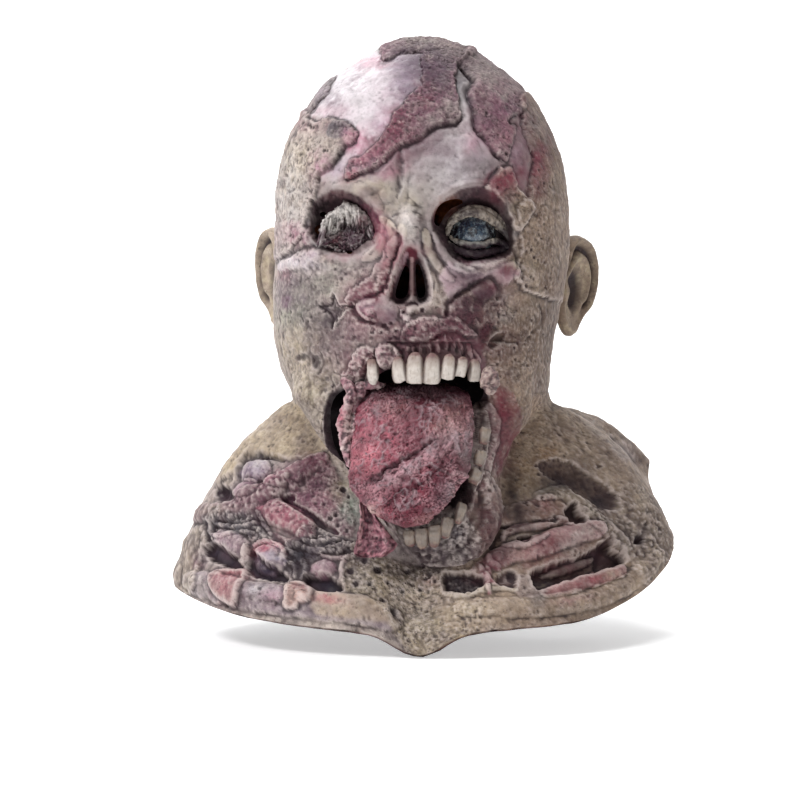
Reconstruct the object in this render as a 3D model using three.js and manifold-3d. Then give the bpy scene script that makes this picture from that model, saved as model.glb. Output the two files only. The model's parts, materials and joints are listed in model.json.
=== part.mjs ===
// A full-head zombie mask of cast latex, as an assembly in millimetres, +Z up, the face towards -Y.
//
// The skin is one hollow casting: skull, face, dropped jaw, neck and the bib that lies on the
// shoulders. It is worked out as three closed forms (head, jaw, bib) that are joined, and the same
// three forms taken in by the wall, which are cut away to leave the cavity. The ears, the tongue,
// the teeth, the eye with its lids, the torn eye, and the loose strips of flesh are pieces of their
// own and stand 0.3 mm clear of the skin.
//
// The origin is the seat: the place inside the crown that bears on the wearer's head.
// Heights in the tables are counted from the lip line and are moved down by SEAT_Z at the end.

import * as THREE from 'three';
import { mergeVertices } from 'three/addons/utils/BufferGeometryUtils.js';
import Module from 'manifold-3d';

const wasm = await Module();
wasm.setup();

// ---------------------------------------------------------------- driving sizes
const WALL = 2.6;            // latex skin
const GAP = 0.3;             // clearance between touching pieces
const CROWN_Z = 234;         // top of the skull above the lip line
const SEAT_Z = CROWN_Z - WALL;   // inside of the crown: becomes the origin's height
const SEAT_Y = 8;            // the crown's place front to back
const FRONT_COLUMNS = 26;    // columns across the face, 160 degrees
const REAR_COLUMNS = 12;     // columns round the back

// ---------------------------------------------------------------- tables
// Level sections through skull and face: half widths to the wearer's right and left, and reach
// forwards and back, all from the head's axis.
const HEAD = [
  { z: 232, right: 12, left: 9, front: 5, back: 21 },
  { z: 227, right: 25.5, left: 22.5, front: 17, back: 34 },
  { z: 219.3, right: 39, left: 37.5, front: 31, back: 48 },
  { z: 211.6, right: 51.5, left: 48.5, front: 43, back: 58 },
  { z: 203.8, right: 62, left: 58, front: 54, back: 67 },
  { z: 193.5, right: 70.5, left: 68.5, front: 65, back: 77 },
  { z: 180.6, right: 78.5, left: 76, front: 76, back: 87 },
  { z: 164.5, right: 87, left: 84, front: 85.5, back: 95.5 },
  { z: 148, right: 91, left: 89, front: 92, back: 101 },
  { z: 126, right: 94, left: 92, front: 96, back: 104 },
  { z: 90, right: 95.3, left: 92.4, front: 97, back: 101 },
  { z: 64.5, right: 96.7, left: 88.5, front: 98, back: 96 },
  { z: 37.5, right: 95.5, left: 82.5, front: 100, back: 89 },
  { z: 20, right: 91.5, left: 80.8, front: 99, back: 84 },
  { z: 8, right: 86, left: 79.8, front: 95, back: 81 },
  { z: -2, right: 80, left: 78, front: 84, back: 78 },
  { z: -10, right: 66, left: 68, front: 62, back: 70 },
];

// Level sections through the dropped jaw, which swings to the wearer's left as it goes down.
const JAW = [
  { z: 30, right: 70, left: 66, front: 88, back: -18 },
  { z: 8, right: 78, left: 70, front: 93, back: -14 },
  { z: -7, right: 71, left: 69, front: 95, back: -14 },
  { z: -22, right: 60, left: 59.5, front: 99, back: -16 },
  { z: -31.5, right: 51, left: 55, front: 102, back: -20 },
  { z: -39, right: 43, left: 52.5, front: 104.5, back: -26 },
  { z: -50, right: 35.5, left: 51.5, front: 108, back: -34 },
  { z: -61, right: 26.5, left: 51, front: 111, back: -42 },
  { z: -71, right: 18, left: 50.5, front: 112.5, back: -50 },
  { z: -79, right: 10.5, left: 48, front: 112, back: -56 },
  { z: -86, right: 5, left: 45, front: 110, back: -62 },
  { z: -92, right: 0, left: 39, front: 106.5, back: -68 },
  { z: -97, right: -5, left: 27.5, front: 101, back: -76 },
];

// The bib's free edge, by bearing from the front towards the wearer's left, and how far the cloth-like
// sheet swells above the straight line from neck to edge.
const HEM = [
  { bearing: 0, x: 8, y: -130, z: -134, swell: 2 },
  { bearing: 22.5, x: 58, y: -124, z: -131.5, swell: 2 },
  { bearing: 45, x: 108, y: -97, z: -127.5, swell: 4 },
  { bearing: 67.5, x: 144, y: -50, z: -113, swell: 7 },
  { bearing: 90, x: 160, y: -8, z: -91, swell: 12 },
  { bearing: 105, x: 146, y: 33, z: -56, swell: 8 },
  { bearing: 120, x: 143, y: 58, z: -40, swell: 10 },
  { bearing: 140, x: 108, y: 95, z: -58, swell: 14 },
  { bearing: 180, x: 0, y: 121, z: -82, swell: 16 },
  { bearing: 220, x: -110, y: 95, z: -66, swell: 14 },
  { bearing: 240, x: -137, y: 60, z: -56, swell: 9 },
  { bearing: 255, x: -149, y: 30, z: -76, swell: 10 },
  { bearing: 275, x: -158, y: -10, z: -104, swell: 13 },
  { bearing: 290, x: -154, y: -42, z: -118, swell: 12 },
  { bearing: 315, x: -114, y: -95, z: -126.5, swell: 6 },
  { bearing: 337.5, x: -54, y: -124, z: -132, swell: 3 },
];
const TAB = { x: 6, half: 20, drop: 13.5 };   // pointed end of the bib, under the breastbone

// Hollows (+) and swellings (-) of the face, by their place in the front view. Sizes are half
// spans, flat is the share of the span that is at full depth.
const FACE_RELIEF = [
  { name: 'wearers_left_socket', x: 35, z: 105.5, wide: 28, high: 21.5, tilt: -28, depth: 25, flat: 0.55 },
  { name: 'wearers_right_socket', x: -42.5, z: 110.5, wide: 26, high: 22.5, tilt: -6, depth: 24, flat: 0.55 },
  { name: 'nose_hollow', x: -1.5, z: 75, wide: 13.5, high: 20, tilt: 0, depth: 15, flat: 0.5 },
  { name: 'nose_bridge', x: -3, z: 106, wide: 12, high: 20, tilt: 0, depth: -8, flat: 0.2 },
  { name: 'brow_wearers_left', x: 36, z: 131, wide: 38, high: 12, tilt: 14, depth: -4.5, flat: 0.2 },
  { name: 'brow_wearers_right', x: -40, z: 135, wide: 34, high: 11, tilt: -6, depth: -4, flat: 0.2 },
  { name: 'cheekbone_wearers_left', x: 56, z: 81, wide: 26, high: 11, tilt: -8, depth: -7, flat: 0.2 },
  { name: 'cheekbone_wearers_right', x: -66, z: 86, wide: 26, high: 13, tilt: -10, depth: -6, flat: 0.2 },
  { name: 'cheek_hollow_wearers_left', x: 52, z: 50, wide: 26, high: 22, tilt: 10, depth: 6, flat: 0.1 },
  { name: 'cheek_hollow_wearers_right', x: -50, z: 52, wide: 28, high: 26, tilt: -10, depth: 5, flat: 0.1 },
  { name: 'upper_gum', x: 6, z: 34, wide: 46, high: 20, tilt: 0, depth: -6, flat: 0.2 },
  { name: 'upper_lip', x: 2, z: 47, wide: 22, high: 9, tilt: 8, depth: -4, flat: 0.2 },
];

// Hollows of the bib between its bared collar bones and sinews, in the same front view.
const BIB_RELIEF = [
  { name: 'long_slot', x: 97, z: -98, wide: 32, high: 9, tilt: 24, depth: 8, flat: 0.4 },
  { name: 'shoulder_valley', x: 98, z: -50, wide: 46, high: 15, tilt: -17, depth: 7, flat: 0.2 },
  { name: 'pit_outer', x: -108, z: -94, wide: 16, high: 11, tilt: -20, depth: 6, flat: 0.3 },
  { name: 'pit_middle', x: -86, z: -101, wide: 15, high: 11, tilt: -20, depth: 6, flat: 0.3 },
  { name: 'pit_inner', x: -54, z: -107, wide: 13, high: 9, tilt: -10, depth: 5, flat: 0.3 },
  { name: 'collar_hollow', x: -64, z: -66, wide: 24, high: 10, tilt: -35, depth: 6, flat: 0.3 },
];

// Openings through the skin: outline in the front view, and the span of depth that is cut.
const MOUTH = [[-45, 12], [-20, 11], [20, 11], [40, 12], [38, -2], [35, -18], [33, -36], [27, -48], [16, -57], [2, -62],
  [-12, -60], [-25, -51], [-35, -40], [-42, -25], [-46, -8]];
const CHEEK_GAP = [[-58, -6], [-51.5, -6], [-50, -18], [-46, -32], [-49, -32], [-55, -20]];
const HOLES = [
  { name: 'sight_wearers_left', x: 17, z: 121.5, wide: 7, high: 4.5, tilt: 35 },
  { name: 'sight_wearers_right', x: -62, z: 105, wide: 4.2, high: 5.5, tilt: 0 },
  { name: 'nostril_wearers_left', x: 5.2, z: 77, wide: 3.4, high: 12.5, tilt: -4 },
  { name: 'nostril_wearers_right', x: -7.6, z: 76, wide: 4.2, high: 12.5, tilt: -8 },
];

// Teeth: middle of the biting edge or crown, size, lean in the front view and turn round the arch.
const UPPER_TEETH = [
  { name: 'upper_tooth_1', x: -23.8, y: -101, z: 20.5, wide: 7.4, tall: 15, deep: 6, lean: 8, turn: -24 },
  { name: 'upper_tooth_2', x: -7.6, y: -107.6, z: 22, wide: 8, tall: 15.5, deep: 6, lean: 5, turn: -8 },
  { name: 'upper_tooth_3', x: 2, y: -108.8, z: 23, wide: 10, tall: 19, deep: 6.4, lean: 2, turn: -3 },
  { name: 'upper_tooth_4', x: 12.3, y: -108.8, z: 22.6, wide: 10, tall: 18.5, deep: 6.4, lean: -5, turn: 3 },
  { name: 'upper_tooth_5', x: 22, y: -107, z: 23.6, wide: 8, tall: 15.5, deep: 6, lean: -6, turn: 8 },
  { name: 'upper_tooth_6', x: 29.8, y: -104.8, z: 23.8, wide: 6.8, tall: 12, deep: 5.6, lean: -10, turn: 16 },
  { name: 'upper_tooth_7', x: 37.4, y: -101.2, z: 21.5, wide: 7, tall: 13.4, deep: 5.6, lean: -6, turn: 26 },
];
const LOWER_TEETH = [
  { name: 'lower_tooth_1', x: -0.4, y: -115.6, z: -79, wide: 6, tall: 10, deep: 5, lean: 8, turn: -14 },
  { name: 'lower_tooth_2', x: 6.8, y: -117, z: -79, wide: 6.6, tall: 12.5, deep: 5, lean: 4, turn: -6 },
  { name: 'lower_tooth_3', x: 14.4, y: -117.2, z: -77.4, wide: 6.4, tall: 13.5, deep: 5, lean: -4, turn: 2 },
  { name: 'lower_tooth_4', x: 21.4, y: -116, z: -72.6, wide: 6, tall: 13, deep: 5, lean: -12, turn: 12 },
  { name: 'lower_tooth_5', x: 29.6, y: -113.6, z: -64, wide: 5, tall: 13, deep: 4.6, lean: -16, turn: 26 },
  { name: 'lower_molar_1', x: 38.2, y: -108.6, z: -42, wide: 6.5, tall: 9, deep: 5, lean: -22, turn: 32 },
  { name: 'lower_molar_2', x: 41, y: -106, z: -31, wide: 6.5, tall: 9.5, deep: 5, lean: -20, turn: 32 },
  { name: 'lower_molar_3', x: 43.6, y: -102.6, z: -18, wide: 6, tall: 10, deep: 5, lean: -12, turn: 32 },
];

// Sections down the tongue, from its root in the throat to its tip.
const TONGUE = [
  { y: -56, z: -12, right: 13, left: 22, thick: 9, bow: 2 },
  { y: -74, z: -7, right: 19, left: 29, thick: 13, bow: 3 },
  { y: -91, z: -10, right: 26, left: 34, thick: 17, bow: 5 },
  { y: -103.5, z: -20, right: 32.5, left: 36, thick: 18.5, bow: 6 },
  { y: -111, z: -32, right: 37, left: 35.5, thick: 19, bow: 7 },
  { y: -115.5, z: -44, right: 36.5, left: 31.5, thick: 18, bow: 7 },
  { y: -119, z: -54, right: 31, left: 25, thick: 16.5, bow: 6 },
  { y: -121, z: -62, right: 23.5, left: 17.5, thick: 13.5, bow: 4 },
  { y: -121, z: -68, right: 14, left: 8, thick: 9, bow: 2 },
];
const TONGUE_AXIS_X = 0;

// Loose strips of flesh: a bowed sheet between a top and a bottom edge.
const STRIPS = [
  { name: 'torn_lip_flap', thick: 3, rows: [
    { x0: -24, x1: -17.5, y: -111, z: -64 }, { x0: -27.5, x1: -15.5, y: -112, z: -72 },
    { x0: -30.5, x1: -13.5, y: -113, z: -79 }, { x0: -32.5, x1: -10, y: -114, z: -85 }, { x0: -30, x1: -14, y: -114.5, z: -90 }] },
  { name: 'cheek_sinew', thick: 4, rows: [
    { x0: -47, x1: -37.5, y: -99, z: 13 }, { x0: -45.5, x1: -37.5, y: -100.5, z: 2 },
    { x0: -44.5, x1: -37.5, y: -102, z: -10 }, { x0: -43, x1: -37.8, y: -103.5, z: -22 }, { x0: -41.5, x1: -38, y: -104.5, z: -33 }] },
  { name: 'lip_tag', thick: 3.4, rows: [
    { x0: 43.5, x1: 51, y: -99.5, z: 22 }, { x0: 42.5, x1: 51.5, y: -100.5, z: 14 }, { x0: 43.5, x1: 50.5, y: -101, z: 7 }] },
];

const EYE = { x: 33.5, y: -67, z: 104, r: 15.5 };
const LIDS = { x: 34, y: -67.5, z: 103.5, r: 18.6, wall: 2.4, slitWide: 13.6, slitHigh: 8.2, tilt: -8 };
const TORN_EYE = { x: -39.5, y: -72, z: 107.5, wide: 16.5, high: 14.5, deep: 8 };
const EARS = [
  { name: 'ear_wearers_left', side: 1, x: 90, y: 20, z: 74, flare: 34, tilt: -4 },
  { name: 'ear_wearers_right', side: -1, x: -95, y: 20, z: 80, flare: 30, tilt: -6 },
];
const EAR = { tall: 67, wide: 40, thick: 4.5 };

const LATEX = { bone_grey: '#9c9184', jaw: '#8d7468', tongue: '#a24a50', tooth: '#d8d2c4', eye: '#50606c',
  lid: '#8a7f78', ear: '#a3947e', flesh: '#7c3a42', tissue: '#6d5a55' };

// ---------------------------------------------------------------- helpers
const V = (x, y, z) => new THREE.Vector3(x, y, z);
const rad = THREE.MathUtils.degToRad;
const smooth = (a, b, v) => { const t = Math.min(1, Math.max(0, (v - a) / (b - a))); return t * t * (3 - 2 * t); };

// Value of one column at height z, by a smooth curve through the rows.
function along(rows, key, at, value) {
  const n = rows.length;
  const rising = rows[n - 1][key] > rows[0][key];
  let i = 0;
  while (i < n - 2 && (rising ? at > rows[i + 1][key] : at < rows[i + 1][key])) i++;
  const slope = (k) => {
    const a = Math.max(0, k - 1), b = Math.min(n - 1, k + 1);
    return (rows[b][value] - rows[a][value]) / (rows[b][key] - rows[a][key]);
  };
  const h = rows[i + 1][key] - rows[i][key], t = Math.min(1, Math.max(0, (at - rows[i][key]) / h));
  const t2 = t * t, t3 = t2 * t;
  return (2 * t3 - 3 * t2 + 1) * rows[i][value] + (t3 - 2 * t2 + t) * h * slope(i)
    + (3 * t2 - 2 * t3) * rows[i + 1][value] + (t3 - t2) * h * slope(i + 1);
}

// A point of an oval section that is a little squarer than an ellipse.
function oval(row, bearing, square) {
  const s = Math.sin(bearing), c = Math.cos(bearing), p = 2 / square;
  const x = Math.sign(s) * Math.abs(s) ** p * (s > 0 ? row.left : row.right);
  const front = -row.front, back = row.back, mid = Math.min(back - 1, Math.max(front + 1, back < 0 ? (front + back) / 2 : 0));
  const y = mid - Math.sign(c) * Math.abs(c) ** p * (c > 0 ? mid - front : back - mid);
  return [x, y];
}

// Depth of all the relief rows at a place in the front view.
function relief(rows, x, z) {
  let d = 0;
  for (const f of rows) {
    const a = rad(f.tilt), dx = x - f.x, dz = z - f.z;
    const u = (dx * Math.cos(a) + dz * Math.sin(a)) / f.wide, v = (-dx * Math.sin(a) + dz * Math.cos(a)) / f.high;
    d += f.depth * (1 - smooth(f.flat, 1, Math.hypot(u, v)));
  }
  return d;
}

const bearings = [];
for (let i = 0; i <= FRONT_COLUMNS; i++) bearings.push(rad(-80 + 160 * i / FRONT_COLUMNS));
for (let i = 1; i < REAR_COLUMNS; i++) bearings.push(rad(80 + 200 * i / REAR_COLUMNS));

// A closed surface through rings of points, each ring a round of the same number, with a tip at each end.
function closedLoft(rings, first, last) {
  const n = rings[0].length, pts = rings.flat().concat([first, last]), tris = [];
  const a = rings.length * n, b = a + 1;
  for (let j = 0; j < n; j++) {
    const k = (j + 1) % n;
    tris.push(a, k, j);
    for (let i = 0; i + 1 < rings.length; i++) {
      const p = i * n + j, q = i * n + k, r = p + n, s = q + n;
      tris.push(p, q, r, q, s, r);
    }
    const m = (rings.length - 1) * n;
    tris.push(b, m + j, m + k);
  }
  // Faces are turned outwards whichever way round the rings run.
  let volume = 0;
  for (let i = 0; i < tris.length; i += 3) volume += pts[tris[i]].dot(pts[tris[i + 1]].clone().cross(pts[tris[i + 2]]));
  if (volume < 0) for (let i = 0; i < tris.length; i += 3) [tris[i + 1], tris[i + 2]] = [tris[i + 2], tris[i + 1]];
  const g = new THREE.BufferGeometry();
  g.setAttribute('position', new THREE.BufferAttribute(new Float32Array(pts.flatMap((p) => [p.x, p.y, p.z])), 3));
  g.setIndex(tris);
  return g;
}

// The same surface moved along its own normals.
function moved(geometry, by) {
  const g = geometry.clone();
  g.computeVertexNormals();
  const p = g.getAttribute('position'), n = g.getAttribute('normal');
  for (let i = 0; i < p.count; i++)
    p.setXYZ(i, p.getX(i) + by * n.getX(i), p.getY(i) + by * n.getY(i), p.getZ(i) + by * n.getZ(i));
  g.deleteAttribute('normal');
  return g;
}

function solid(geometry) {
  const g = geometry.index ? geometry.clone() : geometry;
  for (const k of ['normal', 'uv']) if (g.getAttribute(k)) g.deleteAttribute(k);
  const m = mergeVertices(g, 1e-4);
  const make = (triVerts) => new wasm.Manifold(new wasm.Mesh({ numProp: 3, vertProperties: m.attributes.position.array, triVerts }));
  const t = new Uint32Array(m.index.array), s = make(t);
  if (s.volume() >= 0) return s;
  for (let i = 0; i < t.length; i += 3) [t[i + 1], t[i + 2]] = [t[i + 2], t[i + 1]];
  return make(t);
}

function backToGeometry(s) {
  const m = s.getMesh(), g = new THREE.BufferGeometry(), v = new Float32Array(m.numVert * 3);
  for (let i = 0; i < m.numVert; i++) v.set(m.vertProperties.subarray(i * m.numProp, i * m.numProp + 3), i * 3);
  g.setAttribute('position', new THREE.BufferAttribute(v, 3));
  g.setIndex(new THREE.BufferAttribute(m.triVerts, 1));
  return g;
}

const biggest = (s) => s.decompose().sort((a, b) => b.volume() - a.volume())[0];

// A prism that runs along Y, with its outline in the front view.
function throughFront(shape, from, to) {
  const g = new THREE.ExtrudeGeometry(shape, { depth: to - from, bevelEnabled: false, curveSegments: 6 });
  g.rotateX(Math.PI / 2);          // the outline's second axis becomes Z, the depth runs along -Y
  g.translate(0, to, 0);
  return solid(g);
}
const polygon = (pts) => new THREE.Shape(pts.map(([x, z]) => new THREE.Vector2(x, z)));
function ellipse(h) {
  const s = new THREE.Shape();
  s.absellipse(h.x, h.z, h.wide, h.high, 0, Math.PI * 2, false, rad(h.tilt));
  return s;
}

// ---------------------------------------------------------------- skin
const HEAD_LEVELS = [232, 227, 219.3, 210, 200, 187, 172, 156, 143, 134, 127, 120, 112, 104, 96, 88, 80, 71, 62, 52, 42, 32,
  22, 12, 3, -5, -10];
const pick = (rows, z) => Object.fromEntries(['right', 'left', 'front', 'back'].map((k) => [k, along(rows, 'z', z, k)]));

function headForm() {
  const rings = HEAD_LEVELS.map((z) => {
    const row = pick(HEAD, z);
    return bearings.map((b) => {
      const [x, y] = oval(row, b, 2.15);
      const facing = smooth(0.15, 0.55, Math.cos(b));
      return V(x, y + facing * relief(FACE_RELIEF, x, z), z);
    });
  });
  return closedLoft(rings, V(-1.5, SEAT_Y, CROWN_Z), V(0, 0, -12));
}

function jawForm() {
  const levels = [30, 18, 8, -2, -12, -22, -32, -42, -52, -62, -71, -79, -86, -92, -97];
  const turns = Array.from({ length: 24 }, (_, i) => i * Math.PI / 12);
  const rings = levels.map((z) => {
    const row = pick(JAW, z), mid = (row.left - row.right) / 2, half = (row.left + row.right) / 2;
    return turns.map((b) => {
      const [x, y] = oval({ left: half, right: half, front: row.front, back: row.back }, b, 2.3);
      return V(mid + x, y, z);
    });
  });
  return closedLoft(rings, V(0, -50, 32), V(14, -91, -100.2));
}

// A closed smooth curve through the edge rows, read at any bearing.
function edgeAt(bearing) {
  const deg = ((THREE.MathUtils.radToDeg(bearing) % 360) + 360) % 360, n = HEM.length;
  let i = n - 1;
  while (i > 0 && HEM[i].bearing > deg) i--;
  const row = (k) => HEM[(k + n) % n];
  const b0 = HEM[i].bearing, b1 = i + 1 < n ? HEM[i + 1].bearing : 360, t = (deg - b0) / (b1 - b0);
  const cr = (key) => {
    const [p0, p1, p2, p3] = [row(i - 1)[key], row(i)[key], row(i + 1)[key], row(i + 2)[key]];
    return 0.5 * (2 * p1 + (p2 - p0) * t + (2 * p0 - 5 * p1 + 4 * p2 - p3) * t * t + (3 * p1 - p0 - 3 * p2 + p3) * t * t * t);
  };
  return { at: V(cr('x'), cr('y'), cr('z')), swell: cr('swell') };
}

function bibForm(inner) {
  const shares = [0, 0.5, 1, 1.2, 1.4, 1.6, 1.8, 2];
  const rings = shares.map(() => []);
  const skirt = [], floor = [];
  for (const b of bearings) {
    const [tx, ty] = oval({ right: 80, left: 76, front: 42, back: 77 }, b, 2.1), top = V(tx, ty, 26);
    const facing = Math.max(0, Math.cos(b)) ** 2, behind = Math.max(0, -Math.cos(b)) ** 2;
    const [nx, ny] = oval({ right: 84.5, left: 81.5, front: 50, back: 79 }, b, 2.1);
    const neck = V(nx, ny, -1 - 24 * facing - 12 * behind);
    const { at: hem, swell } = edgeAt(b);
    hem.z -= TAB.drop * Math.exp(-(((hem.x - TAB.x) / TAB.half) ** 2)) * (hem.y < 0 ? 1 : 0);
    const out = V(hem.x - neck.x, hem.y - neck.y, 0).normalize();
    const middle = neck.clone().add(hem).multiplyScalar(0.5).addScaledVector(out, swell * 0.5).add(V(0, 0, swell * 0.87));
    const control = middle.multiplyScalar(2).addScaledVector(neck, -0.5).addScaledVector(hem, -0.5);
    shares.forEach((s, i) => {
      let p;
      if (s <= 1) p = top.clone().lerp(neck, s);
      else {
        const t = s - 1;
        p = neck.clone().multiplyScalar((1 - t) ** 2).addScaledVector(control, 2 * t * (1 - t)).addScaledVector(hem, t * t);
      }
      const seen = smooth(0.1, 0.6, Math.cos(b)) * smooth(1.05, 1.25, s) * smooth(2, 1.85, s);
      if (seen > 0) p.add(V(-out.x * 0.8, -out.y * 0.8, -0.6).multiplyScalar(seen * relief(BIB_RELIEF, p.x, p.z)));
      rings[i].push(p);
    });
    const last = hem.clone().sub(control).normalize();
    skirt.push(hem.clone().addScaledVector(last, 14));
    floor.push(V(hem.x * 1.08, hem.y * 1.08, -230));
  }
  if (!inner) return closedLoft(rings, V(0, 0, 30), V(0, -10, -112));
  // The cavity follows the sheet and then runs on past its free edge.
  return closedLoft([...rings, skirt, floor], V(0, 0, 30), V(0, 0, -232));
}

function join(list) { return list.reduce((a, b) => a.add(b)); }

// grow widens the outside and narrows the cavity, which gives the clearance round the skin.
function skin(grow) {
  const outer = join([headForm(), jawForm(), bibForm(false)].map((g) => solid(grow ? moved(g, grow) : g)));
  const cavity = join([headForm(), jawForm(), bibForm(true)].map((g) => solid(moved(g, -WALL - grow))));
  let s = outer.subtract(cavity);
  const cut = (shape, from, to) => { s = s.subtract(throughFront(shape, from, to)); };
  cut(polygon(MOUTH), -135, -50);
  cut(polygon(CHEEK_GAP), -120, -50);
  for (const h of HOLES) cut(ellipse(h), -120, -55);
  return biggest(s);
}

// ---------------------------------------------------------------- smaller pieces
// Places a piece modelled with its face to -Y: lean turns it in the front view, turn round the arch.
function place(g, t) {
  g.rotateY(rad(-t.lean));
  g.rotateZ(rad(t.turn));
  g.translate(t.x, t.y, t.z);
  return solid(g);
}

// A tooth: root, neck, full crown and thinner biting edge.
function tooth(t, upper) {
  const levels = [
    { at: -0.5, wide: 0.66, deep: 0.7 }, { at: -0.25, wide: 0.84, deep: 0.95 }, { at: 0.1, wide: 0.98, deep: 1 },
    { at: 0.38, wide: 1, deep: 0.78 }, { at: 0.5, wide: 0.86, deep: 0.45 },
  ];
  const up = upper ? -1 : 1;
  const rings = levels.map((l) => Array.from({ length: 10 }, (_, i) => {
    const a = i * Math.PI / 5 * up, s = Math.sin(a), c = Math.cos(a), p = 0.72;
    return V(Math.sign(s) * Math.abs(s) ** p * l.wide * t.wide / 2, Math.sign(c) * Math.abs(c) ** p * l.deep * t.deep / 2, l.at * t.tall * up);
  }));
  const g = closedLoft(rings, V(0, 0, -0.52 * t.tall * up), V(0, 0, 0.52 * t.tall * up));
  return place(g, t);
}

function tongue() {
  const rings = TONGUE.map((r, i) => {
    const a = TONGUE[Math.max(0, i - 1)], b = TONGUE[Math.min(TONGUE.length - 1, i + 1)];
    const across = V(0, b.z - a.z, -(b.y - a.y)).normalize();   // out of the tongue's upper face
    const mid = (r.left - r.right) / 2, half = (r.left + r.right) / 2;
    return Array.from({ length: 22 }, (_, k) => {
      const t = k * Math.PI / 11, u = Math.sin(t), v = Math.cos(t);
      const x = TONGUE_AXIS_X + mid + half * Math.sign(u) * Math.abs(u) ** 0.85;
      const up = v * r.thick / 2 + r.bow * (1 - u * u) * 0.5;
      return V(x, r.y, r.z).addScaledVector(across, up);
    });
  });
  const g = closedLoft(rings, V(4, -52, -12), V(-3, -120.5, -71));
  return solid(g);
}

function strip(s) {
  const rings = s.rows.map((r) => Array.from({ length: 10 }, (_, k) => {
    const t = k * Math.PI / 5, u = Math.sin(t), v = Math.cos(t);
    return V((r.x0 + r.x1) / 2 + u * (r.x1 - r.x0) / 2, r.y - v * s.thick / 2 - (1 - u * u) * 0.8, r.z);
  }));
  const a = s.rows[0], b = s.rows[s.rows.length - 1];
  return solid(closedLoft(rings, V((a.x0 + a.x1) / 2, a.y, a.z + 1.5), V((b.x0 + b.x1) / 2, b.y, b.z - 1.5)));
}

// The front half of an eye, its pole looking forwards.
function eyeball() {
  const g = new THREE.SphereGeometry(EYE.r, 16, 10);
  g.rotateX(Math.PI / 2);
  g.translate(EYE.x, EYE.y, EYE.z);
  const back = new THREE.BoxGeometry(60, 40, 60);
  back.translate(EYE.x, EYE.y + 20, EYE.z);
  return solid(g).subtract(solid(back));
}

// Two lids as one ring of flesh round the eye, with an almond slit.
function lids() {
  const outer = new THREE.SphereGeometry(LIDS.r, 16, 8), inner = new THREE.SphereGeometry(LIDS.r - LIDS.wall, 16, 8);
  for (const g of [outer, inner]) { g.scale(1.16, 1, 0.9); g.translate(LIDS.x, LIDS.y, LIDS.z); }
  const slit = throughFront(ellipse({ x: LIDS.x, z: LIDS.z + 1, wide: LIDS.slitWide, high: LIDS.slitHigh, tilt: LIDS.tilt }), -130, -60);
  const back = new THREE.BoxGeometry(90, 40, 90);
  back.translate(LIDS.x, LIDS.y + 14, LIDS.z);
  return solid(outer).subtract(solid(inner)).subtract(slit).subtract(solid(back));
}

// The torn eye: a shrunken lump with a ragged outline.
function tornEye() {
  const t = TORN_EYE, levels = [-0.8, -0.4, 0.05, 0.5, 0.85];
  const rings = levels.map((h, i) => Array.from({ length: 18 }, (_, k) => {
    const a = k * Math.PI / 9, r = Math.sqrt(1 - h * h) * (1 + 0.14 * Math.cos(5 * a + i) + 0.07 * Math.sin(9 * a + 2 * i));
    return V(t.x + t.wide * r * Math.sin(a), t.y - t.deep * h, t.z + t.high * r * Math.cos(a));
  }));
  return solid(closedLoft(rings, V(t.x, t.y + t.deep, t.z), V(t.x, t.y - t.deep, t.z)));
}

// An ear: a leaf with a rolled rim and a hollow, flaring from the side of the head.
function ear(e) {
  const s = new THREE.Shape();
  const w = EAR.wide, h = EAR.tall;
  s.moveTo(-w * 0.38, -h * 0.3);
  s.bezierCurveTo(-w * 0.5, 0, -w * 0.45, h * 0.36, -w * 0.1, h * 0.48);
  s.bezierCurveTo(w * 0.35, h * 0.56, w * 0.6, h * 0.3, w * 0.5, 0);
  s.bezierCurveTo(w * 0.44, -h * 0.2, w * 0.2, -h * 0.28, w * 0.05, -h * 0.46);
  s.bezierCurveTo(-w * 0.1, -h * 0.56, -w * 0.34, -h * 0.46, -w * 0.38, -h * 0.3);
  const g = new THREE.ExtrudeGeometry(s, { depth: EAR.thick, bevelThickness: 1.6, bevelSize: 1.6, bevelSegments: 1, curveSegments: 6 });
  g.translate(0, 0, -EAR.thick / 2);
  let body = solid(g);
  const hollow = new THREE.SphereGeometry(1, 14, 8);
  hollow.scale(w * 0.31, h * 0.31, 5.4);
  hollow.translate(-w * 0.02, h * 0.04, EAR.thick / 2 + 3);
  body = body.subtract(solid(hollow));
  // The leaf's plane is stood up along the head's side, its front edge on the skin and its back edge swung out.
  const turn = new THREE.Matrix4().makeRotationX(Math.PI / 2);
  const side = new THREE.Matrix4().makeRotationZ(Math.PI / 2);
  const m = new THREE.Matrix4().makeTranslation(e.x + e.side * 7, e.y + 14, e.z)
    .multiply(new THREE.Matrix4().makeScale(e.side, 1, 1))
    .multiply(new THREE.Matrix4().makeRotationZ(rad(-e.flare)))
    .multiply(new THREE.Matrix4().makeRotationX(rad(e.tilt)))
    .multiply(side).multiply(turn);
  const back = backToGeometry(body).applyMatrix4(m);
  return solid(back);
}

// ---------------------------------------------------------------- assembly
const group = new THREE.Group();
const lower = new THREE.Group();
lower.position.set(0, -SEAT_Y, -SEAT_Z);      // brings the seat to the origin
group.add(lower);

function add(name, s, colour, roughness) {
  const mesh = new THREE.Mesh(backToGeometry(s), new THREE.MeshStandardMaterial({ color: colour, roughness, metalness: 0 }));
  mesh.name = name;
  lower.add(mesh);
}

const skinSolid = skin(0);
const clear = skin(GAP);          // the skin with its clearance
const trimmed = (s, ...others) => biggest([clear, ...others].reduce((a, b) => a.subtract(b), s));

add('latex_skin', skinSolid, LATEX.bone_grey, 0.6);
for (const e of EARS) add(e.name, trimmed(ear(e)), LATEX.ear, 0.65);

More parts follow.
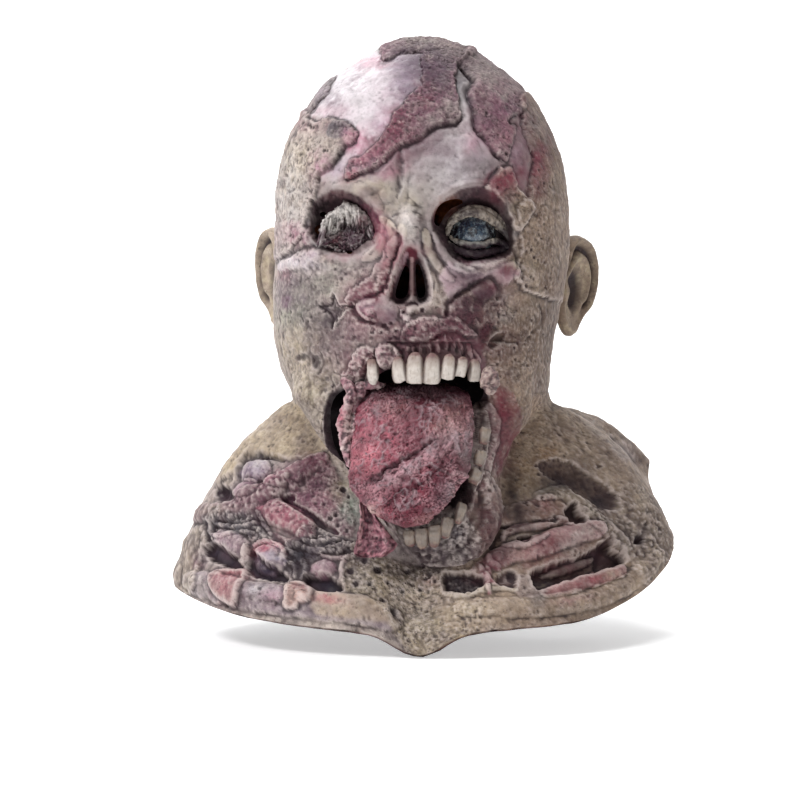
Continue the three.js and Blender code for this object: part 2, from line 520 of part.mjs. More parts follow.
const tongueSolid = tongue();
const near = [];
for (const t of UPPER_TEETH) { const s = trimmed(tooth(t, true), ...near.slice(-1)); near.push(solid(moved(backToGeometry(s), GAP))); add(t.name, s, LATEX.tooth, 0.4); }
near.length = 0;
for (const t of LOWER_TEETH) { const s = trimmed(tooth(t, false), ...near.slice(-1)); near.push(solid(moved(backToGeometry(s), GAP))); add(t.name, s, LATEX.tooth, 0.45); }

let tongueFree = tongueSolid.subtract(clear);
for (const n of near) tongueFree = tongueFree.subtract(n);
tongueFree = biggest(tongueFree);
add('tongue', tongueFree, LATEX.tongue, 0.5);
const tongueClear = solid(moved(backToGeometry(tongueFree), GAP));

for (const s of STRIPS) add(s.name, trimmed(strip(s), tongueClear), LATEX.flesh, 0.55);

const eyeSolid = biggest(eyeball().subtract(clear));
add('eyeball', eyeSolid, LATEX.eye, 0.25);
add('eyelids', trimmed(lids(), solid(moved(backToGeometry(eyeSolid), GAP))), LATEX.lid, 0.55);
add('torn_eye', trimmed(tornEye()), LATEX.tissue, 0.6);

export default group;
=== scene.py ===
"""Looks of the undead head mask: a latex skin in two castings, with teeth, tongue, eye and loose flesh.

Lengths in this file are in millimetres in a working frame whose origin lies 231.4 mm under the seat of the crown,
and world() takes them to the row frame in metres. Chart points, written as (u, v), are in the 800 x 800 frame of
the picture, so the same camera that looks at the scene turns them into places on the surface.
"""
import json
import math
import bpy
import numpy as np
from mathutils import Matrix, Vector, kdtree

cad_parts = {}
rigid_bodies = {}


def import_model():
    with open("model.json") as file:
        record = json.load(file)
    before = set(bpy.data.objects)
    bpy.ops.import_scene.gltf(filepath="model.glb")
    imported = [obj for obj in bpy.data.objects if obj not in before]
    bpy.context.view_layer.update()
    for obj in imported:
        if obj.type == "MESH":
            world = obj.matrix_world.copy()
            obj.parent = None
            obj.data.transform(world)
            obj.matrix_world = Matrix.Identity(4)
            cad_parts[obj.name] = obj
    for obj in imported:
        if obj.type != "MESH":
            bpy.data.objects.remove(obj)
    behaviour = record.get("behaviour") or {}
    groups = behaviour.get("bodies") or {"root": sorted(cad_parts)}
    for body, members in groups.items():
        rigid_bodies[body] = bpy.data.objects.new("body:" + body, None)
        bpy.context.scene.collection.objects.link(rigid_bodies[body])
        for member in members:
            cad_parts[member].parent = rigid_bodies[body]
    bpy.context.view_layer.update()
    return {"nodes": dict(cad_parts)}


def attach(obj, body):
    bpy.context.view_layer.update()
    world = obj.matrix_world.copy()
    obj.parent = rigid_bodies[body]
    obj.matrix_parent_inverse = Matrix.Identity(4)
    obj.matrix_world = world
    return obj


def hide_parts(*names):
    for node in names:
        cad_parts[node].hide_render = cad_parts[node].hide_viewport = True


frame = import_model()
SEAT = np.array([0.0, 8.0, 231.4])


def world(p):
    return (np.asarray(p, float) - SEAT) / 1000.0


# ---------------------------------------------------------------- camera
AZIMUTH, ELEVATION, DISTANCE, MM_PER_PX = math.radians(4.5), math.radians(2.0), 1600.0, 0.645
BACK = np.array([math.sin(AZIMUTH) * math.cos(ELEVATION), -math.cos(AZIMUTH) * math.cos(ELEVATION), math.sin(ELEVATION)])
RIGHT = np.array([math.cos(AZIMUTH), math.sin(AZIMUTH), 0.0])
UP = np.cross(BACK, RIGHT)
FOCAL = DISTANCE / MM_PER_PX
EYE_POINT = -RIGHT * 24 * MM_PER_PX + DISTANCE * BACK

camera = bpy.data.objects.new("Camera", bpy.data.cameras.new("Camera"))
bpy.context.scene.collection.objects.link(camera)
camera.data.sensor_width = 36.0
camera.data.lens = FOCAL / 800.0 * 36.0
camera.data.clip_start, camera.data.clip_end = 0.05, 50.0
turn = Matrix([[RIGHT[i], UP[i], BACK[i]] for i in range(3)]).to_4x4()
camera.matrix_world = Matrix.Translation(Vector(world(EYE_POINT))) @ turn
bpy.context.scene.camera = camera


def project(p):
    q = np.asarray(p, float) - EYE_POINT
    depth = -(q @ BACK)
    return 400 + FOCAL * (q @ RIGHT) / depth, 400 - FOCAL * (q @ UP) / depth


def place(u, v, y):
    """The point on the line of sight through (u, v) that has this y."""
    ray = (u - 400) / FOCAL * RIGHT - (v - 400) / FOCAL * UP - BACK
    return EYE_POINT + ray * ((y - EYE_POINT[1]) / ray[1])


# ---------------------------------------------------------------- small tools
def step(a, b, x):
    t = np.clip((x - a) / (b - a), 0, 1)
    return t * t * (3 - 2 * t)


def smax(a, b, k):
    h = np.clip(0.5 + 0.5 * (a - b) / k, 0, 1)
    return a * h + b * (1 - h) + k * h * (1 - h)


def srgb(r, g, b):
    c = np.array([r, g, b], float) / 255
    return np.where(c <= 0.04045, c / 12.92, ((c + 0.055) / 1.055) ** 2.4)


def _hash(ix, iy, iz, seed):
    h = (ix * 73856093 ^ iy * 19349663 ^ iz * 83492791 ^ (seed * 374761393)) & 0xFFFFFFFF
    h = ((h ^ (h >> 13)) * 1274126177) & 0xFFFFFFFF
    return h ^ (h >> 16)


def noise(p, scale, seed=0):
    q = np.asarray(p, float) / scale
    cell = np.floor(q).astype(np.int64)
    f = q - cell
    w = f * f * f * (f * (f * 6 - 15) + 10)
    total = np.zeros(q.shape[:-1])
    for dx in (0, 1):
        for dy in (0, 1):
            for dz in (0, 1):
                h = _hash(cell[..., 0] + dx, cell[..., 1] + dy, cell[..., 2] + dz, seed)
                dot = (((h & 1023) / 511.5 - 1) * (f[..., 0] - dx) + (((h >> 10) & 1023) / 511.5 - 1) * (f[..., 1] - dy)
                       + (((h >> 20) & 1023) / 511.5 - 1) * (f[..., 2] - dz))
                total += dot * (w[..., 0] if dx else 1 - w[..., 0]) * (w[..., 1] if dy else 1 - w[..., 1]) * (w[..., 2] if dz else 1 - w[..., 2])
    return total * 1.15


def fbm(p, scale, octaves=4, seed=0, gain=0.5):
    total, amp, s = 0.0, 1.0, scale
    for k in range(octaves):
        total = total + amp * noise(p, s, seed + 17 * k)
        amp, s = amp * gain, s * 0.5
    return total


def cells(p, scale, seed=0):
    """Distance to the nearest and the second nearest of some scattered points, in units of scale, and the nearest one's own number."""
    q = np.asarray(p, float) / scale
    cell = np.floor(q).astype(np.int64)
    first, second, who = np.full(q.shape[:-1], 9.0), np.full(q.shape[:-1], 9.0), np.zeros(q.shape[:-1])
    for dx in (-1, 0, 1):
        for dy in (-1, 0, 1):
            for dz in (-1, 0, 1):
                c = [cell[..., 0] + dx, cell[..., 1] + dy, cell[..., 2] + dz]
                h = _hash(c[0], c[1], c[2], seed)
                d = np.sqrt((c[0] + (h & 1023) / 1023 - q[..., 0]) ** 2 + (c[1] + ((h >> 10) & 1023) / 1023 - q[..., 1]) ** 2
                            + (c[2] + ((h >> 20) & 1023) / 1023 - q[..., 2]) ** 2)
                near = d < first
                second = np.where(near, first, np.minimum(second, d))
                who = np.where(near, (h >> 7 & 255) / 255, who)
                first = np.where(near, d, first)
    return first, second, who


def along(table, at):
    """Every column of a table at a key, by the same cubic the CAD uses. The first column is the key, rising."""
    rows = np.array(sorted(table), float)
    key, n = rows[:, 0], len(rows)
    at = np.asarray(at, float)
    i = np.clip(np.searchsorted(key, at, side="left") - 1, 0, n - 2)
    lo, hi = np.maximum(0, np.arange(n) - 1), np.minimum(n - 1, np.arange(n) + 1)
    slope = (rows[hi, 1:] - rows[lo, 1:]) / (key[hi] - key[lo])[:, None]
    h = (key[i + 1] - key[i])[..., None]
    t = np.clip((at - key[i])[..., None] / h, 0, 1)
    return ((2 * t**3 - 3 * t**2 + 1) * rows[i, 1:] + (t**3 - 2 * t**2 + t) * h * slope[i]
            + (3 * t**2 - 2 * t**3) * rows[i + 1, 1:] + (t**3 - t**2) * h * slope[i + 1])


def curve(points, each=4, closed=False):
    """A smooth line through chart points."""
    p = np.array(points, float)
    n = len(p)
    if n < 3:
        return p
    out = []
    for i in range(n if closed else n - 1):
        a, b, c, d = (p[(i + k) % n] if closed else p[min(n - 1, max(0, i + k))] for k in (-1, 0, 1, 2))
        for k in range(each):
            t = k / each
            out.append(0.5 * (2 * b + (c - a) * t + (2 * a - 5 * b + 4 * c - d) * t * t + (3 * b - a - 3 * c + d) * t**3))
    if not closed:
        out.append(p[-1])
    return np.array(out)


def line_distance(u, v, pts, closed=False):
    """Distance to a line, the share of its length there, and which side (+ is to the right of its direction in the picture)."""
    p = np.asarray(pts, float)
    if closed:
        p = np.vstack([p, p[:1]])
    seg = np.diff(p, axis=0)
    length = np.hypot(seg[:, 0], seg[:, 1])
    upto = np.concatenate([[0], np.cumsum(length)])
    best, where, side = np.full(u.shape, 1e9), np.zeros(u.shape), np.zeros(u.shape)
    for k in range(len(seg)):
        if length[k] < 1e-6:
            continue
        du, dv = u - p[k, 0], v - p[k, 1]
        t = np.clip((du * seg[k, 0] + dv * seg[k, 1]) / length[k] ** 2, 0, 1)
        d = (du - t * seg[k, 0]) ** 2 + (dv - t * seg[k, 1]) ** 2
        near = d < best
        best = np.where(near, d, best)
        where = np.where(near, (upto[k] + t * length[k]) / upto[-1], where)
        side = np.where(near, np.sign(seg[k, 0] * dv - seg[k, 1] * du), side)
    return np.sqrt(best), where, side


def inside(u, v, pts):
    """Signed distance to a closed outline, positive inside."""
    d, _, _ = line_distance(u, v, pts, closed=True)
    p = np.asarray(pts, float)
    q = np.roll(p, -1, axis=0)
    odd = np.zeros(u.shape, bool)
    for (x0, y0), (x1, y1) in zip(p, q):
        if y0 == y1:
            continue
        odd ^= ((y0 > v) != (y1 > v)) & (u < (x1 - x0) * (v - y0) / (y1 - y0) + x0)
    return np.where(odd, d, -d)


# ---------------------------------------------------------------- main forms, repeated from the CAD
HEAD = [  # z, right, left, front, back
    (232, 12, 9, 5, 21), (227, 25.5, 22.5, 17, 34), (219.3, 39, 37.5, 31, 48), (211.6, 51.5, 48.5, 43, 58),
    (203.8, 62, 58, 54, 67), (193.5, 70.5, 68.5, 65, 77), (180.6, 78.5, 76, 76, 87), (164.5, 87, 84, 85.5, 95.5),
    (148, 91, 89, 92, 101), (126, 94, 92, 96, 104), (90, 95.3, 92.4, 97, 101), (64.5, 96.7, 88.5, 98, 96),
    (37.5, 95.5, 82.5, 100, 89), (20, 91.5, 80.8, 99, 84), (8, 86, 79.8, 95, 81), (-2, 80, 78, 84, 78), (-10, 66, 68, 62, 70),
]
JAW = [  # z, right, left, front, back
    (30, 70, 66, 88, -18), (8, 78, 70, 93, -14), (-7, 71, 69, 95, -14), (-22, 60, 59.5, 99, -16), (-31.5, 51, 55, 102, -20),
    (-39, 43, 52.5, 104.5, -26), (-50, 35.5, 51.5, 108, -34), (-61, 26.5, 51, 111, -42), (-71, 18, 50.5, 112.5, -50),
    (-79, 10.5, 48, 112, -56), (-86, 5, 45, 110, -62), (-92, 0, 39, 106.5, -68), (-97, -5, 27.5, 101, -76),
]
HEM = [  # bearing, x, y, z, swell
    (0, 8, -130, -134, 2), (22.5, 58, -124, -131.5, 2), (45, 108, -97, -127.5, 4), (67.5, 144, -50, -113, 7),
    (90, 160, -8, -91, 12), (105, 146, 33, -56, 8), (120, 143, 58, -40, 10), (140, 108, 95, -58, 14), (180, 0, 121, -82, 16),
    (220, -110, 95, -66, 14), (240, -137, 60, -56, 9), (255, -149, 30, -76, 10), (275, -158, -10, -104, 13),
    (290, -154, -42, -118, 12), (315, -114, -95, -126.5, 6), (337.5, -54, -124, -132, 3),
]
TAB = {"x": 6.0, "half": 20.0, "drop": 13.5}
FACE_RELIEF = [  # x, z, wide, high, tilt, depth, flat
    (-3, 106, 12, 20, 0, -8, 0.2), (36, 131, 38, 12, 14, -4.5, 0.2), (-40, 135, 34, 11, -6, -4, 0.2),
    (56, 81, 26, 11, -8, -7, 0.2), (-66, 86, 26, 13, -10, -6, 0.2), (52, 50, 26, 22, 10, 6, 0.1),
    (-50, 52, 28, 26, -10, 5, 0.1), (6, 34, 46, 20, 0, -6, 0.2), (2, 47, 22, 9, 8, -4, 0.2),
]
SEAM_Z = 6.0


def oval(half, bearing, square):
    """A point on a section: half is right, left, front and back, as columns."""
    s, c, p = np.sin(bearing), np.cos(bearing), 2 / square
    right, left, front, back = (half[..., k] for k in range(4))
    x = np.sign(s) * np.abs(s) ** p * np.where(s > 0, left, right)
    y = -np.sign(c) * np.abs(c) ** p * np.where(c > 0, front, back)
    return x, y


def head_ring(z, bearing):
    zz = np.minimum(z, 232.0)
    x, y = oval(along(HEAD, zz), bearing, 2.15)
    top = np.sqrt(np.clip((234.0 - z) / 2.0, 0, 1))
    cx, cy = -1.5, 8.0
    return cx + (x - cx) * top, cy + (y - cy) * top


def jaw_radius(phi, z):
    """How far out the jaw reaches from the head's axis, towards a bearing at a level; 0 where it doesn't."""
    h = along(JAW, z)
    cx, a = (h[..., 1] - h[..., 0]) / 2, (h[..., 1] + h[..., 0]) / 2
    cy, b = (-h[..., 2] + h[..., 3]) / 2, (h[..., 3] + h[..., 2]) / 2
    shrink = np.sqrt(np.clip((z + 100.2) / 3.2, 0.0, 1))
    a, b = a * np.maximum(shrink, 0.02), b * np.maximum(shrink, 0.02)
    sx, sy = np.sin(phi), -np.cos(phi)

    def out(t):
        return np.abs((sx * t - cx) / a) ** 2.3 + np.abs((sy * t - cy) / b) ** 2.3 > 1

    near = cx * sx + cy * sy
    hit = ~out(near) & (near > 0) & (z > -100.2) & (z < 40)
    lo, hi = near, np.full_like(near, 140.0)
    for _ in range(28):
        mid = (lo + hi) / 2
        o = out(mid)
        hi, lo = np.where(o, mid, hi), np.where(o, lo, mid)
    return np.where(hit, lo, 0.0)


FRONT, SIDE, REAR = 62.0, 98.0, 180.0
front_cols = np.linspace(-FRONT, FRONT, 249)
side_cols = np.linspace(FRONT, SIDE, 41)[1:]
rear_cols = np.linspace(SIDE, 360 - SIDE, 83)[1:-1]
columns = np.radians(np.concatenate([front_cols, side_cols, rear_cols, -side_cols[::-1]]))
NC = len(columns)
N_FRONT, N_SIDE = len(front_cols), len(side_cols)
ROWS_A, ROWS_B = 289, 225

# Levels of the upper casting: equal steps along its mean profile.
dense = np.concatenate([234 - np.geomspace(0.02, 2, 40), np.linspace(231.9, SEAM_Z, 900)])
mean_half = np.array([np.mean(np.hypot(*head_ring(np.full(8, z), np.linspace(0, 2 * np.pi, 9)[:-1])) ) for z in dense])
walk = np.concatenate([[0], np.cumsum(np.hypot(np.diff(dense), np.diff(mean_half)))])
levels_a = np.interp(np.linspace(0, walk[-1], ROWS_A), walk, dense)
levels_a[-1] = SEAM_Z
bz, bb = np.meshgrid(levels_a, columns, indexing="ij")
ax, ay = head_ring(bz, bb)
upper = np.stack([ax, ay, bz], -1)

# Lower casting: from the head's ring in to the neck, then out over the chest and shoulders.
cosb = np.cos(columns)
sx, sy = head_ring(np.full(NC, SEAM_Z), columns)
start = np.stack([sx, sy, np.full(NC, SEAM_Z)], -1)
nx, ny = oval(np.tile([84.5, 81.5, 50.0, 79.0], (NC, 1)), columns, 2.1)
neck = np.stack([nx, ny, -1 - 24 * np.maximum(0, cosb) ** 2 - 12 * np.maximum(0, -cosb) ** 2], -1)
hem_rows = np.array(HEM, float)
deg = np.degrees(columns) % 360
edge = np.zeros((NC, 4))
for j, d in enumerate(deg):
    n = len(hem_rows)
    i = n - 1
    while i > 0 and hem_rows[i, 0] > d:
        i -= 1
    b0, b1 = hem_rows[i, 0], hem_rows[i + 1, 0] if i + 1 < n else 360.0
    t = (d - b0) / (b1 - b0)
    p0, p1, p2, p3 = (hem_rows[(i + k) % n, 1:] for k in (-1, 0, 1, 2))
    edge[j] = 0.5 * (2 * p1 + (p2 - p0) * t + (2 * p0 - 5 * p1 + 4 * p2 - p3) * t * t + (3 * p1 - p0 - 3 * p2 + p3) * t**3)
hem = edge[:, :3].copy()
hem[:, 2] -= TAB["drop"] * np.exp(-(((hem[:, 0] - TAB["x"]) / TAB["half"]) ** 2)) * (hem[:, 1] < 0)
out = hem - neck
out[:, 2] = 0
out /= np.linalg.norm(out, axis=1)[:, None]
middle = (neck + hem) / 2 + out * edge[:, 3:] * 0.5 + np.array([0, 0, 0.87]) * edge[:, 3:]
control = middle * 2 - neck * 0.5 - hem * 0.5
path = [start + (neck - start) * s for s in np.linspace(0, 1, 24)]
path += [neck * (1 - t) ** 2 + control * 2 * t * (1 - t) + hem * t * t for t in np.linspace(0, 1, 101)[1:]]
path = np.array(path)
for _ in range(30):
    path[1:-1] = path[1:-1] * 0.5 + (path[:-2] + path[2:]) * 0.25
lower = np.zeros((ROWS_B, NC, 3))
for j in range(NC):
    d = np.concatenate([[0], np.cumsum(np.linalg.norm(np.diff(path[:, j], axis=0), axis=1))])
    s = np.linspace(0, d[-1], ROWS_B)
    for k in range(3):
        lower[:, j, k] = np.interp(s, d, path[:, j, k])

G = np.concatenate([upper, lower[1:]], 0)  # the whole surface, crown to hem
NR = len(G)
SEAM = ROWS_A - 1
radius, phi = np.hypot(G[..., 0], G[..., 1]), np.arctan2(G[..., 0], -G[..., 1])
jaw = jaw_radius(phi, G[..., 2])
low = step(42, 8, G[..., 2])
grown = smax(radius, jaw, 7.0)
grown = radius + (grown - radius) * low * (jaw > 0)
jaw_share = step(-3, 4, jaw - radius) * (jaw > 0) * low
jaw_share[:SEAM] = np.maximum(jaw_share[:SEAM], 1.0)
for _ in range(3):  # softens the line where the jaw leaves the neck
    m = (grown[SEAM - 20:-1] - radius[SEAM - 20:-1] > 0.05) | (np.roll(grown, 1, 1)[SEAM - 20:-1] - radius[SEAM - 20:-1] > 0.05)
    avg = (np.roll(grown, 1, 1) + np.roll(grown, -1, 1) + np.roll(grown, 1, 0) + np.roll(grown, -1, 0)) / 4
    grown[SEAM - 20:-1] = np.where(m, grown[SEAM - 20:-1] * 0.5 + avg[SEAM - 20:-1] * 0.5, grown[SEAM - 20:-1])
G[..., 0], G[..., 1] = np.sin(phi) * grown, -np.cos(phi) * grown


def grid_normals(g):
    du = np.roll(g, -1, 1) - np.roll(g, 1, 1)
    dv = np.zeros_like(g)
    dv[1:-1] = g[2:] - g[:-2]
    dv[0], dv[-1] = g[1] - g[0], g[-1] - g[-2]
    n = np.cross(dv, du)
    n /= np.maximum(np.linalg.norm(n, axis=-1, keepdims=True), 1e-9)
    return n


N0 = grid_normals(G)
if np.mean((N0 * (G - np.array([0, 0, 60.0]))).sum(-1)) < 0:
    N0 = -N0
U, V = project(G)
facing = N0 @ BACK
SEEN = step(0.0, 0.22, facing)


# ---------------------------------------------------------------- the painter: relief and colour worked into the grid
X3 = G.reshape(-1, 3)
u0, v0, seen0 = U.ravel(), V.ravel(), SEEN.ravel()
head_or_jaw = jaw_share.ravel()
row_of = np.repeat(np.arange(NR), NC)
on_bib = 1 - head_or_jaw
wu = 1.1 * noise(X3, 7.0, 3) + 0.9 * noise(X3, 3.0, 4) + 0.45 * noise(X3, 1.6, 7)
wv = 1.1 * noise(X3, 7.0, 5) + 0.9 * noise(X3, 3.0, 6) + 0.45 * noise(X3, 1.6, 8)
ragged_u, ragged_v = u0 + 2.2 * wu, v0 + 2.2 * wv
H = np.zeros(len(X3))        # relief along the surface normal, mm, out is positive
DEEP = np.zeros(len(X3))     # relief away from the eye, mm, in is positive
COL = np.zeros((len(X3), 3))
ROUGH = np.full(len(X3), 0.62)
PIT = np.ones(len(X3))       # how pitted and grainy the fine bump is

BONE, BONE_GREY, BONE_PINK = srgb(214, 206, 210), srgb(164, 158, 158), srgb(196, 166, 180)
SKIN, SKIN_TAN, SKIN_GREY = srgb(186, 172, 162), srgb(160, 136, 114), srgb(148, 140, 134)
PINK, MAROON, CRIMSON, WINE = srgb(178, 116, 132), srgb(108, 54, 72), srgb(122, 24, 50), srgb(76, 38, 54)
PURPLE, INK, BROWN, BLUE_BLACK = srgb(112, 84, 104), srgb(30, 24, 36), srgb(84, 62, 48), srgb(22, 24, 38)
CREAM, LILAC, MINT, UMBER = srgb(206, 192, 158), srgb(178, 164, 182), srgb(158, 176, 160), srgb(64, 42, 34)


def box(pts, grow, where=None):
    p = np.asarray(pts, float)
    m = (u0 > p[:, 0].min() - grow) & (u0 < p[:, 0].max() + grow) & (v0 > p[:, 1].min() - grow) & (v0 < p[:, 1].max() + grow) & (seen0 > 0)
    if where is not None:
        m &= where > 0.02
    return np.nonzero(m)[0]


def tint(i, mask, colour, amount=1.0):
    m = np.clip(mask * amount, 0, 1)[:, None]
    COL[i] = COL[i] * (1 - m) + colour * m


def patch(pts, edge=2.0, raise_by=0.0, curl=0.0, shade=0.0, colour=None, amount=1.0, mottle=0.0, pit=None, rough=None, on=None, ragged=True, grain=0.0, seed=11):
    """A patch of the chart: a layer of skin with a torn edge, or a stain."""
    pts = curve(pts, 3, True)
    i = box(pts, 14, on)
    if len(i) == 0:
        return
    uu, vv = (ragged_u[i], ragged_v[i]) if ragged else (u0[i], v0[i])
    sd = inside(uu, vv, pts)
    w = seen0[i] * (1 if on is None else on[i])
    m = step(-edge / 2, edge / 2, sd) * w
    if raise_by:
        H[i] += raise_by * m
    if curl:
        H[i] += curl * np.exp(-((sd - 2.4) / 2.2) ** 2) * w
    if grain:
        H[i] += grain * m * (noise(X3[i], 2.6, seed) + 0.7 * noise(X3[i], 1.5, seed + 1))
    if colour is not None:
        a = m if not mottle else m * np.clip(1 + mottle * fbm(X3[i], 11.0, 3, seed), 0, 1.3)
        tint(i, a, colour, amount)
    if shade:
        tint(i, np.exp(-((sd + 1.2) / 1.6) ** 2) * w * np.clip(0.55 + 1.6 * fbm(X3[i], 13.0, 3, seed + 2), 0.1, 1), INK, shade)
    if pit is not None:
        PIT[i] += (pit - PIT[i]) * m
    if rough is not None:
        ROUGH[i] += (rough - ROUGH[i]) * m


def groove(pts, width=2.2, depth=1.5, dark=0.75, colour=None, lip=0.0, on=None, wobble=0.6, halo=0.0, halo_colour=None, seed=21):
    """A crack or crease along a line of the chart, tapering to its ends."""
    pts = curve(pts, 4)
    i = box(pts, 5 * width + 10, on)
    if len(i) == 0:
        return
    uu, vv = u0[i] + wobble * 1.6 * wu[i], v0[i] + wobble * 1.6 * wv[i]
    d, t, side = line_distance(uu, vv, pts)
    w = seen0[i] * (1 if on is None else on[i])
    wide = width * (0.45 + 0.75 * np.sqrt(np.clip(4 * t * (1 - t), 0, 1))) * (1 + 0.35 * noise(X3[i], 6.0, seed))
    m = np.exp(-((d / wide) ** 2)) * w
    H[i] -= depth * m
    if lip:
        H[i] += lip * np.exp(-(((d - 1.9 * wide) / wide) ** 2)) * w
    tint(i, m * np.clip(0.78 + 1.2 * fbm(X3[i], 12.0, 3, seed + 1), 0.2, 1), INK if colour is None else colour, dark)
    if halo:
        tint(i, np.exp(-((d / (3.2 * wide)) ** 2)) * w, MAROON if halo_colour is None else halo_colour, halo)


def tube(pts, width=6.0, height=3.0, colour=None, amount=1.0, taper=0.5, wrinkle=0.0, on=None, shade=0.0, pit=None, rough=None, power=0.5, wobble=0.5, twist=0.0, seed=31, deep=False):
    """A raised strand, fold or pipe along a line of the chart; height may be negative for a channel."""
    pts = curve(pts, 4)
    i = box(pts, width + 12, on)
    if len(i) == 0:
        return
    uu, vv = u0[i] + wobble * 1.6 * wu[i], v0[i] + wobble * 1.6 * wv[i]
    d, t, side = line_distance(uu, vv, pts)
    w = seen0[i] * (1 if on is None else on[i])
    ends = 1 - taper + taper * np.sqrt(np.clip(4 * t * (1 - t), 0, 1))
    wide = width * ends * (1 + 0.18 * noise(X3[i], 9.0, seed))
    x = np.clip(1 - (d / wide) ** 2, 0, 1)
    m = x ** power * w
    if deep:
        DEEP[i] -= height * ends * m
    else:
        H[i] += height * ends * m
    if wrinkle:
        run = np.hypot(np.diff(pts[:, 0]), np.diff(pts[:, 1])).sum()
        turn_ = t * run * 0.85 + 6.0 * noise(X3[i], 9.0, seed + 2) + side * d * 0.3 * (1 + twist)
        H[i] += wrinkle * m * (0.45 * np.sin(turn_) * step(-0.3, 0.4, noise(X3[i], 14.0, seed + 3)) + 1.5 * noise(X3[i], 3.6, seed + 4))
    inner = step(0, 0.35, x) * w
    if colour is not None:
        tint(i, inner, colour, amount)
    if shade:
        tint(i, np.exp(-(((d - wide * 1.06) / 1.6) ** 2)) * w * np.clip(0.6 + 1.6 * fbm(X3[i], 12.0, 3, seed + 2), 0.1, 1), INK, shade)
    if pit is not None:
        PIT[i] += (pit - PIT[i]) * inner
    if rough is not None:
        ROUGH[i] += (rough - ROUGH[i]) * inner


def lump(u, v, ru, rv, tilt=0.0, height=2.0, colour=None, amount=1.0, on=None, shade=0.0, power=1.0, ragged=0.5, pit=None, rough=None, mottle=0.0, grain=0.0, seed=41, deep=False):
    """A dome, or with a negative height a hollow, at one place of the chart."""
    r = max(ru, rv) * 1.35 + 8
    i = box([(u - r, v - r), (u + r, v + r)], 0, on)
    if len(i) == 0:
        return
    a = math.radians(tilt)
    du, dv = u0[i] + 1.6 * ragged * wu[i] - u, v0[i] + 1.6 * ragged * wv[i] - v
    x, y = (du * math.cos(a) - dv * math.sin(a)) / ru, (du * math.sin(a) + dv * math.cos(a)) / rv
    q = np.sqrt(x * x + y * y)
    w = seen0[i] * (1 if on is None else on[i])
    m = np.clip(1 - q * q, 0, 1) ** power * w
    if deep:
        DEEP[i] -= height * m
    else:
        H[i] += height * m
    inner = step(1.08, 0.8, q) * w
    if grain:
        H[i] += grain * inner * (noise(X3[i], 2.4, seed) + 0.7 * noise(X3[i], 1.4, seed + 1))
    if colour is not None:
        a2 = inner if not mottle else inner * np.clip(1 + mottle * fbm(X3[i], 9.0, 3, seed), 0, 1.3)
        tint(i, a2, colour, amount)
    if shade:
        tint(i, np.exp(-(((q - 1.08) * min(ru, rv) / 1.8) ** 2)) * w * np.clip(0.6 + 1.6 * fbm(X3[i], 12.0, 3, seed + 2), 0.1, 1), INK, shade)
    if pit is not None:
        PIT[i] += (pit - PIT[i]) * inner
    if rough is not None:
        ROUGH[i] += (rough - ROUGH[i]) * inner


def wash(u, v, ru, rv, colour, amount=0.6, tilt=0.0, on=None, mottle=0.9, seed=51):
    """A soft patch of thin paint, broken up the way sponged paint is: mostly stains, and in some calls painted shade
    and painted highlight, said where they are called.
    """
    r = max(ru, rv) * 1.6 + 4
    i = box([(u - r, v - r), (u + r, v + r)], 0, on)
    if len(i) == 0:
        return
    a = math.radians(tilt)
    du, dv = u0[i] + 4 * wu[i] - u, v0[i] + 4 * wv[i] - v
    x, y = (du * math.cos(a) - dv * math.sin(a)) / ru, (du * math.sin(a) + dv * math.cos(a)) / rv
    m = np.exp(-(x * x + y * y) * 1.1) * seen0[i] * (1 if on is None else on[i])
    tint(i, m * np.clip(1 + mottle * fbm(X3[i], 8.0, 4, seed), 0.1, 1.5), colour, amount)


def fibres(pts, angle, height=0.6, pitch=3.0, dark=0.3, light=0.2, on=None, seed=61):
    """Striations that run at an angle of the chart inside an outline."""
    pts = curve(pts, 3, True)
    i = box(pts, 6, on)
    if len(i) == 0:
        return
    sd = inside(ragged_u[i], ragged_v[i], pts)
    w = step(-2, 4, sd) * seen0[i] * (1 if on is None else on[i])
    a = math.radians(angle)
    along_, across = u0[i] * math.cos(a) - v0[i] * math.sin(a), u0[i] * math.sin(a) + v0[i] * math.cos(a)
    q = np.stack([along_ / 9.0, (across + 2.5 * wu[i]) / pitch, np.full(len(i), seed * 1.7)], -1)
    n = noise(q, 1.0, seed) + 0.5 * noise(q * 2.1, 1.0, seed + 1)
    H[i] += height * n * w
    tint(i, np.clip(-n * 2, 0, 1) * w, INK, dark)
    tint(i, np.clip(n * 2, 0, 1) * w, CREAM, light)


# ---------------------------------------------------------------- ground colours and the large forms
az = np.degrees(np.arctan2(X3[:, 0], -X3[:, 1]))
warm = step(-10, 70, X3[:, 0])[:, None]
COL[:] = SKIN * (1 - warm) + SKIN_TAN * warm
big, fine_mix = fbm(X3, 34.0, 4, 101), fbm(X3, 9.0, 4, 102)
COL[:] = COL * (1 - 0.5 * np.clip(big * 1.6, 0, 1)[:, None]) + SKIN_GREY * 0.5 * np.clip(big * 1.6, 0, 1)[:, None]
m = (0.42 * np.clip(-big * 1.8 - 0.08, 0, 1))[:, None]
COL[:] = COL * (1 - m) + srgb(198, 182, 160) * m
m = (0.5 * np.clip(fbm(X3, 22.0, 4, 103) * 2.0 - 0.25, 0, 1))[:, None]
COL[:] = COL * (1 - m) + srgb(126, 104, 92) * m
m = (0.30 * np.clip(fbm(X3, 26.0, 3, 104) * 2.2 - 0.3, 0, 1) * step(1.0, 0.3, seen0))[:, None]
COL[:] = COL * (1 - m) + srgb(150, 110, 116) * m
COL *= (1 + 0.22 * fine_mix)[:, None]
H += 1.1 * fbm(X3, 20.0, 3, 111) + 0.45 * fbm(X3, 5.0, 3, 112)

